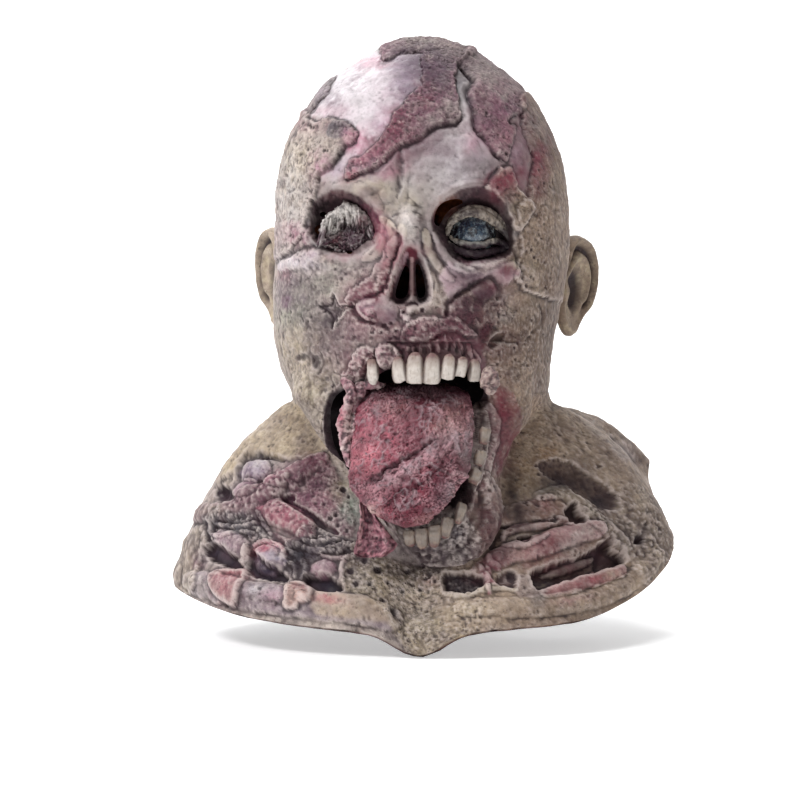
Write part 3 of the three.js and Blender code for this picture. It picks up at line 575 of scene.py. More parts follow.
for x, z, wide, high, tilt, depth, flat in FACE_RELIEF:
    a = math.radians(tilt)
    dx, dz = X3[:, 0] - x, X3[:, 2] - z
    q = np.hypot((dx * math.cos(a) + dz * math.sin(a)) / wide, (-dx * math.sin(a) + dz * math.cos(a)) / high)
    DEEP += depth * step(1.0, flat, q) * step(0.15, 0.55, -X3[:, 1] / np.hypot(X3[:, 0], X3[:, 1])) * (row_of < SEAM + 30)

# Bone under the skull's torn skin: smooth and pale, with the brow and the nose bridge below it.
SKULL_BONE = [(257.8, 112.8), (282.2, 86.2), (310.8, 61.7), (337.3, 43.4), (381.2, 33.2), (422, 33.2), (474.1, 49.5), (510.8, 78.1), (527.1, 110.7), (535.3, 155.6), (533.3, 200.5), (519, 231.1), (506.7, 245.4), (453.7, 265.8), (351.6, 265.8), (310.8, 245.4), (282.2, 220.9), (257.8, 188.3)]
patch(SKULL_BONE, 8, colour=BONE_GREY, amount=0.85, pit=0.35, rough=0.46)
patch([(337.3, 43.4), (384.3, 53.6), (412.9, 52.6), (421.4, 59.7), (420, 86.2), (404.7, 100.9), (392.4, 114.8), (384.3, 135.2), (368, 147.4), (351.6, 159.7), (340.4, 171.9), (331.2, 175), (321, 180.1), (331.2, 165.8), (341.4, 153.6), (353.7, 141.3), (355.7, 130.1), (347.6, 123), (331.2, 116.8), (313.9, 114.8), (319, 100.5), (328.2, 88.3), (335.3, 76)], 6, colour=BONE, amount=0.95, pit=0.32, rough=0.36)
wash(400.6, 86.2, 26, 34, BONE_PINK, 0.35)
wash(412.9, 71.9, 12, 26, srgb(86, 62, 84), 0.75)
wash(405.7, 94.4, 12, 16, srgb(92, 58, 84), 0.8, 40)
wash(384.3, 127, 14, 12, srgb(150, 104, 140), 0.5, 40)
wash(372, 63.8, 22, 6, PINK, 0.55)
wash(331.2, 110.7, 20, 8, PINK, 0.4)
wash(357.8, 139.3, 18, 12, PINK, 0.55, 35)
wash(384.3, 116.8, 10, 22, BONE_PINK, 0.5)
wash(333.3, 165.8, 12, 16, LILAC, 0.6, 30)
wash(359.8, 151.5, 26, 9, MAROON, 0.4, 40)
# brow, with its sheen put in as painted highlight, and the ridges round the sockets
# painted highlight: pale bone washes for the sheen on the brow
wash(457.8, 165.8, 34, 26, BONE, 0.75, 20)
wash(465.9, 147.4, 22, 16, BONE, 0.6)
wash(365.9, 188.3, 26, 12, CREAM, 0.45)
wash(400.6, 204.6, 24, 18, CREAM, 0.5)
wash(400.6, 180.1, 8, 20, SKIN_GREY, 0.6)
wash(416.9, 188.3, 30, 16, SKIN_GREY, 0.35)
wash(396.5, 163.8, 26, 11, MAROON, 0.55, 30)
wash(429.2, 139.3, 24, 9, WINE, 0.6, 30)
wash(482.2, 139.3, 14, 30, BONE_PINK, 0.5, -30)
# painted shadow: dark wine wash beside the flap that hangs over the outer brow
wash(486.3, 180.1, 22, 18, WINE, 0.75, 40)
wash(465.9, 106.6, 8, 26, BONE, 0.55)
wash(459.8, 82.1, 7, 22, BLUE_BLACK, 0.6)
wash(520, 147.4, 9, 26, BONE_PINK, 0.8, -10)
wash(522, 184.2, 6, 20, PURPLE, 0.6)
tube([(331.2, 191.3), (351.6, 187.2), (368, 194.4), (381.2, 208.7)], 7, 2.6, taper=0.6, deep=True, power=1.0)
tube([(437.3, 208.7), (453.7, 191.3), (476.1, 188.3), (496.5, 198.5), (514.9, 220.9)], 9, 1.8, taper=0.5, deep=True, power=1.0)
tube([(412.9, 200.5), (445.5, 167.9), (474.1, 139.3)], 26, 2.4, taper=0.8, power=1.3)
tube([(400.6, 147.4), (400.6, 180.1), (396.5, 198.5)], 5, -1.3, taper=0.9, power=1.0)
groove([(390.4, 165.8), (397.6, 178.1), (400.6, 188.3)], 2.0, 0.5, 0.2)
lump(365.9, 188.3, 16, 8, 10, 1.6, power=1.2)
lump(384.3, 196.4, 12, 8, 10, 1.4, power=1.2)
# nose bridge and the long folds beside it
lump(408.8, 224, 13, 21, 0, 1.5, colour=srgb(198, 188, 180), amount=0.5, power=1.4, pit=0.8, ragged=1.0)
lump(402.7, 231.1, 5, 8, 20, 0.8, colour=CREAM, amount=0.4)
lump(413.9, 220.9, 6, 6, 0, 0.9, colour=BONE, amount=0.5)
groove([(392.4, 216.8), (400.6, 213.8), (410.8, 211.7), (421, 214.8)], 1.5, 0.5, 0.35)
tube([(380.6, 218.6), (390.8, 226.7), (392.9, 241), (390.8, 257.3)], 5, 1.6, colour=CREAM, amount=0.5, taper=0.5)
tube([(372.4, 233.9), (380.6, 241), (376.5, 251.2), (364.3, 259.4)], 6, 1.6, colour=CREAM, amount=0.4)
groove([(386.3, 220.6), (382.7, 234.9), (377.6, 245.1), (370.4, 255.3)], 2.4, 1.2, 0.45)
groove([(392.9, 228.8), (398, 239), (396.9, 251.2), (392.9, 259.4)], 2.4, 1.5, 0.75)
tube([(401, 236.9), (398, 251.2), (392.9, 261.4)], 5, 1.2, colour=PINK, amount=0.7)
tube([(425.5, 230.8), (429.6, 251.2), (439.8, 267.6), (452, 279.8)], 5, 1.6, colour=CREAM, amount=0.4)
groove([(421.4, 241), (425.9, 257.3), (434.7, 271.6), (439.8, 281.8)], 2.0, 1.0, 0.5)
groove([(430.6, 235.9), (436.7, 255.3), (446.9, 269.6), (456.1, 277.8)], 2.0, 1.0, 0.45)
tube([(434.7, 232.9), (443.9, 253.3), (456.1, 265.5), (474.5, 271.6)], 5, 1.5, colour=BONE_GREY, amount=0.4)
groove([(413.3, 241), (418.4, 257.3), (423.5, 267.6)], 1.8, 0.7, 0.35)
wash(383.7, 241, 10, 20, PINK, 0.85, 10)
wash(390.8, 257.3, 8, 18, CRIMSON, 0.5, 15)

# ---------------------------------------------------------------- torn layers of skin on the skull
patch([(381.2, 57.7), (388.4, 59.1), (394.5, 55.6), (402.7, 52.3), (412.9, 51.9), (422, 52.6), (420, 63.8), (422, 67.9), (421, 74), (422.7, 80.1), (421, 86.2), (412.9, 91.3), (405.7, 100.5), (400.6, 106.6), (394.5, 114.8), (390.4, 123), (387.3, 131.1), (380.2, 139.3), (372, 147.4), (359.8, 155.6), (351.6, 159.7), (347.6, 165.8), (345.5, 176), (346.5, 181.7), (351.6, 180.1), (357.8, 175), (365.9, 171.9), (376.1, 167.9), (384.3, 159.7), (392.4, 152.6), (400.6, 146.4), (410.8, 142.3), (419, 138.3), (425.1, 133.2), (431.2, 128.1), (439.4, 124), (447.6, 123.4), (455.7, 123), (460.2, 117.9), (459.8, 110.7), (457.8, 102.6), (456.7, 92.3), (454.7, 82.1), (455.7, 71.9), (457.8, 64.8), (460.8, 62.8), (465.9, 57.7), (474.1, 55.6), (476.1, 37.2), (422, 6.6), (384.3, 6.6)],
      1.4, 1.5, 0.4, 0.7, colour=srgb(116, 70, 88), amount=0.85, mottle=0.4, pit=1.6, rough=0.7, grain=0.6)
wash(421, 41.3, 34, 12, SKIN_GREY, 0.75)
wash(439.4, 55.6, 22, 8, SKIN_GREY, 0.6)
wash(449.6, 47.4, 26, 10, SKIN, 0.5)
wash(392.4, 151.5, 20, 6, PINK, 0.75, 40)
wash(361.8, 165.8, 20, 7, BONE_PINK, 0.7, 25)
wash(376.1, 147.4, 12, 6, PINK, 0.6, 40)
wash(412.9, 116.8, 14, 16, PURPLE, 0.5)
wash(425.1, 98.5, 8, 10, CRIMSON, 0.45)
wash(400.6, 127, 8, 14, CRIMSON, 0.35, 30)
wash(443.5, 76, 12, 10, INK, 0.45)
wash(449.6, 110.7, 10, 8, SKIN_GREY, 0.55)
wash(431.2, 120.9, 12, 5, SKIN_GREY, 0.5, 30)
groove([(381.2, 58.7), (389.4, 59.7), (395.5, 55.6), (403.7, 52.1), (414.9, 51.7), (427.1, 51.3), (439.4, 51.1)], 2.4, 1.4, 0.8)
groove([(347.1, 182.1), (357.8, 176.4), (365.9, 173.6), (376.1, 169.5), (384.7, 161.3), (392.9, 154.4), (401, 148.1), (411.2, 144), (419.4, 139.9), (426.1, 135.2), (433.3, 129.5), (440.4, 125.6), (448, 125), (456.1, 124.6), (461.8, 117.9)], 3.0, 1.3, 0.8, halo=0.35, halo_colour=WINE)
# the plate right of the long crack
patch([(458.8, 62.8), (465.9, 69.9), (471, 76), (474.1, 80.1), (471, 86.2), (466.9, 91.3), (469, 99.5), (473.1, 107.7), (474.7, 114.8), (474.7, 123), (476.5, 130.1), (482.2, 136.2), (486.7, 140.3), (491.4, 145.4), (494.5, 153.6), (498.6, 157.7), (503.7, 161.3), (508.8, 157.7), (510.8, 147.4), (512.9, 138.3), (515.9, 131.1), (518, 125), (512.9, 125), (507.8, 119.9), (514.9, 114.8), (522, 112.8), (524.1, 106.6), (523.1, 92.3), (510.8, 71.9), (494.5, 37.2), (474.1, 33.2), (465.9, 53.6)],
      1.4, 1.4, 0.3, 0.7, colour=srgb(132, 98, 108), amount=0.8, mottle=0.5, pit=1.3, rough=0.66, grain=0.4, seed=13)
wash(480.2, 102.6, 10, 16, MAROON, 0.6)
wash(492.4, 127, 16, 20, MAROON, 0.5, -20)
wash(504.7, 139.3, 12, 20, PINK, 0.6, -20)
wash(504.7, 100.5, 16, 14, SKIN_GREY, 0.8)
wash(490.4, 76, 26, 12, SKIN_GREY, 0.6)
wash(510.8, 110.7, 10, 8, srgb(90, 96, 104), 0.6)
groove([(458.8, 63.8), (465.9, 70.9), (471, 77), (474.1, 81.1), (471.6, 86.2), (467.1, 91.9), (469.2, 100.1), (473.3, 108.3), (474.9, 114.8), (474.9, 123.4), (476.9, 130.7), (482.7, 136.8), (487.1, 140.9), (491.6, 146.2), (494.9, 154), (499, 158.1), (503.1, 160.7)], 2.7, 1.9, 0.92, lip=0.3)
groove([(458.8, 63.8), (465.9, 71.9), (471, 78.5), (474.1, 82.1)], 4.2, 1.2, 0.8)
groove([(507.8, 120.5), (512.9, 124.6), (518, 125.4)], 2.4, 1.2, 0.8)
# the skin of the right side of the head, and its crack
patch([(521, 112.8), (523.1, 121.9), (525.1, 131.1), (526.7, 138.3), (527.6, 147.4), (532.2, 152.6), (534.7, 160.7), (533.3, 167.9), (530.2, 176), (529.2, 184.2), (527.6, 197.4), (521, 200.9), (515.9, 209.7), (514.9, 220.9), (518, 235.2), (521, 249.5), (523.1, 290.3), (637.3, 290.3), (637.3, 65.8), (576.1, 45.4), (533.3, 86.2), (516.9, 100.5)],
      2.0, 1.5, 0.3, 0.45, colour=SKIN_TAN, amount=0.9, mottle=0.3, pit=1.3, rough=0.66, grain=0.25, seed=14)
groove([(521, 113.8), (523.1, 121.9), (525.1, 131.1), (526.7, 138.9)], 2.2, 1.3, 0.85)
groove([(532, 151.9), (535.3, 159.7), (533.7, 167.9), (530.4, 177), (529.4, 185.2), (527.6, 197.4)], 2.2, 1.3, 0.85)
groove([(527.6, 139.3), (529.2, 147.4), (532.4, 152.6)], 1.4, 0.6, 0.5)
wash(539.4, 155.6, 9, 22, MAROON, 0.65, -12)
wash(539.4, 184.2, 8, 18, MAROON, 0.45, 5)
wash(529.2, 125, 12, 22, SKIN_GREY, 0.7)
wash(541.4, 131.1, 12, 20, srgb(142, 130, 120), 0.7)
wash(555.7, 180.1, 10, 40, srgb(146, 126, 106), 0.7)
# the flap that hangs over the outer brow
patch([(498.6, 168.9), (491.4, 177), (490.4, 184.2), (483.3, 188.3), (476.5, 194.8), (486.3, 200.5), (494.5, 206.6), (504.7, 214.8), (511.8, 226), (515.9, 231.1), (525.1, 220.9), (533.3, 208.7), (527.6, 198.5), (522, 192.3), (516.9, 188.3), (516.5, 181.1), (514.9, 174), (509.2, 165.8), (504.7, 167.9)],
      1.8, 1.6, 0.5, 0.6, colour=SKIN_TAN, amount=0.85, pit=1.1, rough=0.6, seed=15)
wash(496.5, 186.2, 14, 12, CRIMSON, 0.7, -50)
wash(492.4, 198.5, 20, 7, CRIMSON, 0.55, -30)
wash(510.8, 174, 12, 8, PINK, 0.6, -40)
wash(512.9, 204.6, 12, 16, CREAM, 0.55)
groove([(498.6, 169.1), (491.6, 177.7), (490.4, 184.6), (483.5, 188.9), (476.9, 194.8)], 2.6, 1.2, 0.85)
groove([(509.2, 165.8), (514.9, 173.6), (516.5, 181.1)], 2.0, 0.9, 0.7)
# the left temple
patch([(251.6, 120.9), (282.2, 112.8), (307.3, 112.3), (310.2, 120.5), (318, 122.6), (323.5, 120.1), (329.2, 117.9), (339.4, 119.3), (347.1, 123.4), (351.6, 127), (355.7, 131.5), (354.7, 139.3), (349.6, 143.4), (344.5, 145.8), (340.4, 153.6), (335.3, 159.7), (331.2, 165.8), (324.1, 170.9), (319, 175.4), (318, 182.6), (319, 188.3), (314.9, 198.5), (310.8, 208.7), (307.8, 220.9), (303.7, 235.2), (294.5, 247.4), (278.2, 259.7), (251.6, 269.9)],
      1.8, 1.6, 0.5, 0.75, colour=SKIN, amount=0.9, mottle=0.3, pit=1.3, rough=0.66, grain=0.3, seed=16)
patch([(334.9, 75.6), (329.2, 83.8), (326.1, 91.9), (319, 100.1), (313.9, 107.2), (307.3, 114.4), (288.4, 120.9), (294.5, 86.2), (310.8, 65.8), (331.2, 68.9)], 1.4, 0.9, 0.2, 0.9, colour=srgb(104, 84, 88), amount=0.85, pit=1.2)
groove([(334.9, 76.4), (329.2, 84.2), (326.1, 92.3), (319, 100.9), (313.9, 107.7), (307.3, 114.8)], 2.4, 1.4, 0.9)
groove([(350.6, 127), (355.7, 131.5), (354.9, 139.7), (349.6, 143.8), (344.7, 146.2), (340.6, 154), (335.5, 160.1), (331.4, 166.2), (324.3, 171.5), (319.2, 175.6), (318.2, 182.6)], 3.0, 1.5, 0.92)
groove([(307.3, 114.8), (310.8, 120.9), (312.2, 129.5)], 1.8, 1.0, 0.75)
groove([(312.2, 119.3), (318.2, 122.1), (323.5, 120.1)], 1.6, 0.6, 0.5)
wash(302.7, 123, 12, 14, PINK, 0.45)
wash(327.1, 127, 14, 8, PINK, 0.4)
lump(340.4, 130.1, 14, 10, 20, 0.8, colour=srgb(96, 94, 98), amount=0.85, mottle=0.6, grain=0.8, power=0.6)
groove([(328.2, 117.9), (340.4, 120.9), (348.6, 125.4)], 1.6, 0.6, 0.75)
wash(300.6, 167.9, 26, 30, CREAM, 0.4)
wash(314.9, 182.1, 10, 14, MAROON, 0.4)
groove([(288.4, 194.4), (296.5, 188.3)], 1.5, 0.7, 0.6)
groove([(290.4, 155.6), (296.5, 147.4), (302.7, 139.3)], 1.4, 0.5, 0.3)
lump(282.2, 180.1, 6, 26, -8, 1.2, colour=SKIN_GREY, amount=0.3)

# ---------------------------------------------------------------- sockets, nose
SOCKET_RIGHT = [(326, 193.5), (332, 190.5), (344, 190.5), (359, 196), (369.5, 204), (379, 217.6), (381, 230), (377.6, 240.5), (369.5, 247.4), (360.4, 252.5), (351, 256), (340, 256), (330.5, 252.5), (320, 247), (312, 239), (308.5, 227), (310, 215), (313, 204), (319, 197)]
SOCKET_LEFT = [(434, 210), (440, 203), (450.6, 195.7), (463, 188.6), (477, 186.5), (490, 190), (500, 199), (508, 213), (513, 230), (514.5, 245), (510, 255), (498, 261), (483, 264.5), (468, 266), (455, 260), (444, 248), (434, 233), (430.4, 221)]
NOSE = [(410, 247), (417, 250), (424, 262), (430, 280), (432, 296), (427, 304), (411, 307), (396, 305), (389, 298), (392, 282), (399, 264), (404, 252)]


def hollow(pts, depth, wall, colour, amount=0.95, rim=0.0, floor=1.0):
    pts = curve(pts, 3, True)
    i = box(pts, 12)
    sd = inside(u0[i] + 0.8 * wu[i], v0[i] + 0.8 * wv[i], pts)
    w = step(0.0, 0.1, facing.ravel()[i])
    DEEP[i] += depth * step(-1.5, wall, sd) ** floor * w
    if rim:
        H[i] += rim * np.exp(-((sd + 4.0) / 3.4) ** 2) * w
    tint(i, step(-0.6, 1.6, sd) * w, colour, amount)
    ROUGH[i] += (0.8 - ROUGH[i]) * step(0, 3, sd)
    PIT[i] += (0.5 - PIT[i]) * step(0, 3, sd)


hollow(SOCKET_RIGHT, 19, 13, srgb(66, 26, 38), rim=0.8)
hollow(SOCKET_LEFT, 21, 13, srgb(38, 20, 30), rim=0.6)
hollow(NOSE, 9, 5, srgb(96, 34, 46), rim=1.0)
# painted shade: ink at the top of the right socket, under the brow
wash(343, 200, 20, 9, INK, 0.8)
wash(372, 222, 7, 14, srgb(104, 40, 58), 0.9)
wash(316, 222, 5, 16, INK, 0.7)
wash(345, 250, 22, 6, srgb(60, 30, 42), 0.7)
wash(496, 250, 16, 9, BLUE_BLACK, 0.9)
wash(480, 258, 28, 5, WINE, 0.6)
wash(505, 215, 8, 22, INK, 0.7)
# amber round the sight hole: the latex's own amber, painted bright as painted light coming through the hole
wash(447, 208, 13, 8, srgb(138, 66, 38), 0.97, 35, mottle=0.3)
wash(442, 242, 8, 14, WINE, 0.7)
for nose_slot in ([(408, 256), (404, 264), (398, 277), (394, 290), (393, 299), (397, 303), (404, 302), (409, 296), (411, 284), (411, 268)],
                  [(415, 262), (419, 258), (423, 266), (427, 280), (428.5, 292), (426, 300), (420, 302), (416, 297), (414.5, 283)]):
    pts = curve(nose_slot, 3, True)
    i = box(pts, 8)
    sd = inside(u0[i], v0[i], pts)
    DEEP[i] += 6 * step(-2.0, 3.0, sd)
    tint(i, step(-1.0, 2.0, sd), INK, 0.95)
tube([(412.2, 257.3), (411.2, 271.6), (412.2, 285.9), (412.7, 300.2)], 2.2, 1.2, colour=srgb(176, 128, 132), amount=0.75, taper=0.3)
tube([(405.1, 259.4), (407.1, 275.7), (408.8, 292)], 2.4, 1.0, colour=CRIMSON, amount=0.6, taper=0.3)
tube([(392.9, 300.2), (401, 303.5), (413.3, 298.2), (423.5, 302.7), (429.6, 298.2)], 3.4, 1.6, colour=BONE_GREY, amount=0.7, taper=0.4)
wash(413.3, 251.2, 14, 8, CRIMSON, 0.65)
wash(399, 285.9, 6, 20, INK, 0.5)
tube([(392.9, 303.3), (396.9, 288), (400, 269.6), (407.1, 253.3)], 3.2, 1.5, colour=BONE_PINK, amount=0.5, taper=0.4)
tube([(429.6, 301.2), (430.6, 285.9), (426.5, 267.6), (419.4, 253.3)], 3.2, 1.5, colour=BONE_GREY, amount=0.5, taper=0.4)

# ---------------------------------------------------------------- wearer's right cheek (left in the picture)
patch([(276.5, 224.7), (296.9, 220.6), (309.2, 228.8), (309.2, 241), (315.3, 248.2), (307.1, 250.2), (296.9, 255.3), (284.7, 258.4), (274.5, 257.3)], 4, 0.8, colour=srgb(186, 150, 158), amount=0.6, mottle=0.8, pit=1.2)
wash(298, 234.9, 10, 10, PINK, 0.8)
wash(288.8, 249.2, 12, 8, SKIN_GREY, 0.7)
patch([(278.6, 263.5), (288.8, 258.4), (301, 253.3), (315.3, 249.2), (321.4, 253.3), (317.3, 261.4), (307.1, 266.5), (296.9, 269.6), (286.7, 271.6), (278.6, 269.6)], 5, 1.3, 0.2, 0.2, colour=srgb(212, 200, 208), amount=0.8, mottle=0.8, pit=0.95, rough=0.5, grain=0.5)
wash(311.2, 267.6, 12, 6, LILAC, 0.5)
groove([(278.6, 259.4), (288.8, 256.3), (299, 251.2), (306.1, 247.6), (317.3, 246.1), (331.6, 251.2)], 2.4, 1.4, 0.85)
# painted shadow: purple washes under the raised cheekbone
wash(292.9, 279.8, 18, 9, PURPLE, 0.8, 15)
wash(311.2, 277.8, 16, 6, PURPLE, 0.5, 10)
wash(286.7, 288, 10, 12, PURPLE, 0.5)
wash(284.7, 275.7, 8, 6, PINK, 0.5)
wash(345.9, 257.3, 26, 5, PINK, 0.5)
wash(339.8, 275.7, 34, 16, srgb(150, 150, 138), 0.7)
wash(323.5, 285.9, 20, 10, srgb(172, 172, 150), 0.5)
wash(364.3, 275.7, 26, 20, srgb(168, 156, 152), 0.6)
wash(301, 304.3, 26, 22, srgb(132, 134, 124), 0.7)
wash(286.7, 316.5, 18, 14, srgb(176, 180, 156), 0.5)
wash(337.8, 320.6, 24, 16, srgb(120, 112, 112), 0.7)
wash(350, 294.1, 12, 5, PURPLE, 0.6)
wash(299, 345.1, 30, 20, CREAM, 0.55)
wash(327.6, 345.1, 22, 20, srgb(150, 128, 128), 0.6)
wash(311.2, 385.9, 26, 34, srgb(186, 172, 142), 0.6, 25)
wash(364.3, 328.8, 22, 12, srgb(180, 146, 152), 0.55)
wash(348, 357.3, 20, 12, srgb(140, 112, 118), 0.6)
# the star-shaped tear
patch([(332.7, 293.7), (335.7, 301.2), (340.8, 305.3), (352, 305.5), (345.9, 310.4), (339.8, 315.5), (334.7, 321.6), (331.2, 327.1), (328.6, 320.6), (327.1, 314.5), (321.4, 308.4), (318.4, 305.3), (324.5, 305.3), (328.6, 304.3)], 2.0, -2.2, 0.9, 0.0, colour=srgb(108, 108, 104), amount=0.8, rough=0.7)
groove([(318.4, 305.5), (324.5, 309.4), (328, 314.9), (330, 322.7), (331.2, 327.8)], 2.6, 1.2, 0.9)
groove([(332.7, 293.3), (332, 298.2), (328.6, 303.9), (321.8, 305.5)], 2.2, 0.8, 0.8)
groove([(352, 305.5), (343.9, 311.6), (336.7, 320.6), (331.6, 328.4)], 1.6, 0.6, 0.5)
tube([(353.1, 304.7), (345.9, 310.4), (337.8, 318.6), (332.7, 326.3)], 2.4, 1.2, colour=srgb(206, 202, 188), amount=0.7)
groove([(317.3, 304.3), (311.2, 307.3), (307.1, 310.4)], 1.6, 0.6, 0.5)
# fold from the nose to the mouth corner
patch([(398, 233.9), (400, 241), (395.9, 250.2), (392.4, 260.4), (389.2, 271.6), (385.1, 281.8), (381, 290), (370.8, 295.1), (361.2, 297.8), (354.5, 301.2), (352, 304.3), (345.9, 301.2), (348, 292), (356.1, 285.9), (364.3, 279.8), (372.4, 271.6), (380.6, 261.4), (384.7, 249.2), (390.8, 239)], 2.0, 1.2, 0.6, 0.0, colour=srgb(186, 160, 160), amount=0.5, grain=0.5)
groove([(396.9, 233.9), (400.4, 241.4), (396.1, 250.6), (392.4, 260.8), (389.2, 272), (384.7, 282.2), (380.8, 290), (370.4, 295.3), (360.2, 298.2), (353.7, 301.4), (352, 304.7), (354.1, 310.8), (358.2, 316.9), (364.7, 321), (372.9, 323.1)], 2.8, 1.7, 0.85, lip=0.5, halo=0.5, halo_colour=CRIMSON)
wash(386.3, 277.8, 6, 26, CRIMSON, 0.5, 12)
lump(367.3, 306.3, 12, 10, 10, 1.8, colour=BONE_PINK, amount=0.8, power=0.8)
lump(370.4, 312.4, 10, 6, 20, 1.0, colour=PINK, amount=0.6, shade=0.4)
tube([(356.1, 304.3), (359.2, 312.4), (368.4, 319.6)], 2.6, 1.0, colour=PINK, amount=0.6)
lump(386.7, 310.4, 12, 16, 10, 2.0, colour=BONE_GREY, amount=0.8, power=0.9, pit=0.4, rough=0.42)
wash(392.9, 316.5, 14, 6, PURPLE, 0.6)
groove([(372.4, 323.7), (380.6, 324.7), (388.8, 330.8)], 2.2, 1.0, 0.7)
for a, b, r in ((383.7, 325.7, 3.4), (390.8, 323.7, 2.6), (395.9, 330.8, 2.6), (380.6, 332.9, 2.4), (403.5, 312.4, 2.6), (422.4, 310.4, 3), (417.3, 304.3, 2.2), (372.4, 332.9, 2.2), (390.8, 339, 2.6)):
    lump(a, b, r, r * 0.8, 20, -1.4, colour=INK, amount=0.75)
tube([(401, 310.4), (404.1, 316.5), (413.3, 320.6)], 3.0, 1.4, colour=BONE_PINK, amount=0.7)
tube([(405.1, 322.7), (408.2, 314.5), (413.3, 304.3)], 4.0, 1.2, colour=BONE_GREY, amount=0.6)
lump(315.3, 361.4, 5.0, 8.0, 10, -1.8, colour=srgb(70, 64, 62), amount=0.85, shade=0.2)
groove([(320.4, 353.3), (321.4, 363.5), (318.4, 373.7)], 1.8, 0.9, 0.5)
lump(302, 357.3, 7, 4, 10, -1.0, colour=srgb(110, 104, 96), amount=0.6)
wash(317.3, 396.1, 20, 22, srgb(150, 140, 112), 0.6, 30)
wash(333.7, 406.3, 10, 26, srgb(96, 84, 90), 0.7)

# ---------------------------------------------------------------- wearer's left cheek (right in the picture)
patch([(448, 261.4), (456.1, 266.5), (470.4, 271.6), (490.8, 271.6), (515.3, 260.4), (519.8, 268.6), (513.3, 279.8), (503.1, 285.9), (494.9, 277.8), (484.7, 277.3), (474.5, 282.9), (464.3, 289.6), (454.1, 295.1), (449, 301.2), (443.9, 288), (439.8, 275.7)], 4, 1.2, 0.2, 0.3, colour=BONE_PINK, amount=0.75, pit=0.4, rough=0.42)
wash(480.6, 266.5, 34, 5, BONE, 0.7)
wash(507.1, 273.7, 12, 12, CRIMSON, 0.75, 20)
wash(515.3, 263.5, 6, 6, CREAM, 0.7)
wash(466.3, 281.8, 14, 9, WINE, 0.6, 25)
groove([(446.9, 314.9), (447.1, 305.3), (451, 298.6), (456.5, 294.9), (464.7, 290), (474.9, 283.9), (484.7, 278.2), (490.8, 277.8), (497.3, 282.9), (500.6, 292), (498, 299.2)], 3.0, 2.0, 0.9, lip=0.4)
groove([(456.1, 294.5), (466.3, 285.9), (474.5, 280.8)], 3.6, 0.8, 0.7)
lump(484.7, 290, 14, 10, 20, 1.8, colour=MAROON, amount=0.8, mottle=0.6, power=0.8, pit=0.6)
wash(490.8, 292, 8, 7, CRIMSON, 0.6)
wash(476.5, 292, 9, 7, PURPLE, 0.6)
groove([(515.3, 261.4), (521.4, 271.6), (520.4, 279.8)], 2.2, 1.0, 0.7)
patch([(451, 300.2), (466.3, 292), (478.6, 300.2), (501, 300.2), (507.1, 312.4), (535.7, 304.3), (576.5, 332.9), (576.5, 434.9), (515.3, 434.9), (507.1, 394.1), (499, 373.7), (484.7, 363.5), (474.5, 345.1), (464.3, 330.8), (454.1, 320.6)], 8, 0.8, colour=SKIN_TAN, amount=0.85, mottle=0.3, pit=1.3, rough=0.66, grain=0.3, seed=18)
wash(474.5, 304.3, 28, 9, srgb(120, 96, 92), 0.7)
wash(466.3, 320.6, 12, 14, MAROON, 0.75)
wash(484.7, 324.7, 18, 16, MAROON, 0.4)
wash(478.6, 345.1, 24, 16, srgb(150, 104, 112), 0.65)
wash(499, 373.7, 14, 22, srgb(146, 104, 108), 0.6)
wash(521.4, 316.5, 20, 26, srgb(150, 132, 112), 0.6)
wash(505.1, 316.5, 12, 22, SKIN_GREY, 0.5)
wash(533.7, 271.6, 10, 40, srgb(180, 160, 132), 0.6)
lump(495.9, 340, 11, 5.5, 48, -2.6, colour=srgb(74, 38, 24), amount=0.95, power=0.6, ragged=0.2)
groove([(487.8, 346.1), (495.9, 340), (504.1, 332.9)], 2.6, 0.8, 0.8, colour=srgb(60, 30, 20))
tube([(488.8, 336.9), (495.9, 332.9), (504.1, 333.9)], 3.0, 0.9, colour=srgb(168, 140, 112), amount=0.6)
groove([(539.8, 304.3), (541.8, 320.6), (531.6, 332.9), (523.5, 340)], 1.8, 0.9, 0.45)
groove([(532.7, 314.5), (535.7, 324.7), (529.6, 332.9)], 1.6, 0.7, 0.4)
groove([(509.2, 241), (517.3, 257.3), (519.8, 271.6)], 2.0, 1.0, 0.5)
for a, b, r in ((539.4, 382.9, 2.2), (524.5, 285.9, 2), (529.6, 320.6, 1.6), (513.3, 347.1, 1.8), (543.9, 288, 1.6), (525.5, 365.5, 1.8), (549, 365.5, 1.6), (522.4, 226.7, 1.8), (539.8, 239, 1.5), (532.7, 257.3, 1.5)):
    lump(a, b, r, r, 0, -1.0, colour=srgb(56, 44, 40), amount=0.85)

# ---------------------------------------------------------------- upper lip and gums
wash(423.5, 351.2, 60, 12, srgb(96, 22, 44), 0.6)
patch([(402, 341), (413.3, 340), (425.5, 338), (437.8, 332.9), (454.1, 328.8), (466.3, 332.9), (478.6, 341), (484.7, 359.4), (484.7, 373.7), (470.4, 379.8), (443.9, 379.8), (413.3, 379.8), (390.8, 377.8), (372.4, 379.8), (364.3, 373.7), (367.3, 359.4), (372.4, 353.3), (380.6, 345.1), (392.9, 343.1)], 5, 0.6, colour=MAROON, amount=0.85, mottle=0.4, pit=0.5, rough=0.4)
for a, b, c, d in ((405.9, 347.6, 407.1, 359.4), (411.2, 345.1, 413.3, 353.3), (419.4, 344.1, 421, 354.3), (427.6, 341, 429.6, 353.3), (434.7, 339, 438.8, 351.2), (443.9, 335.9, 446.9, 351.2), (451, 334.9, 454.1, 351.2), (458.2, 339, 462.2, 353.3), (466.3, 343.1, 471.4, 357.3), (474.5, 349.2, 478.6, 361.4), (396.9, 351.2, 399, 359.4)):
    tube([(a, b), ((a + c) / 2 + 0.8, (b + d) / 2), (c, d)], 2.2 + 0.9 * math.sin(a), 1.2, colour=srgb(176, 118, 128), amount=0.55, taper=0.7, wobble=1.6, wrinkle=0.3)
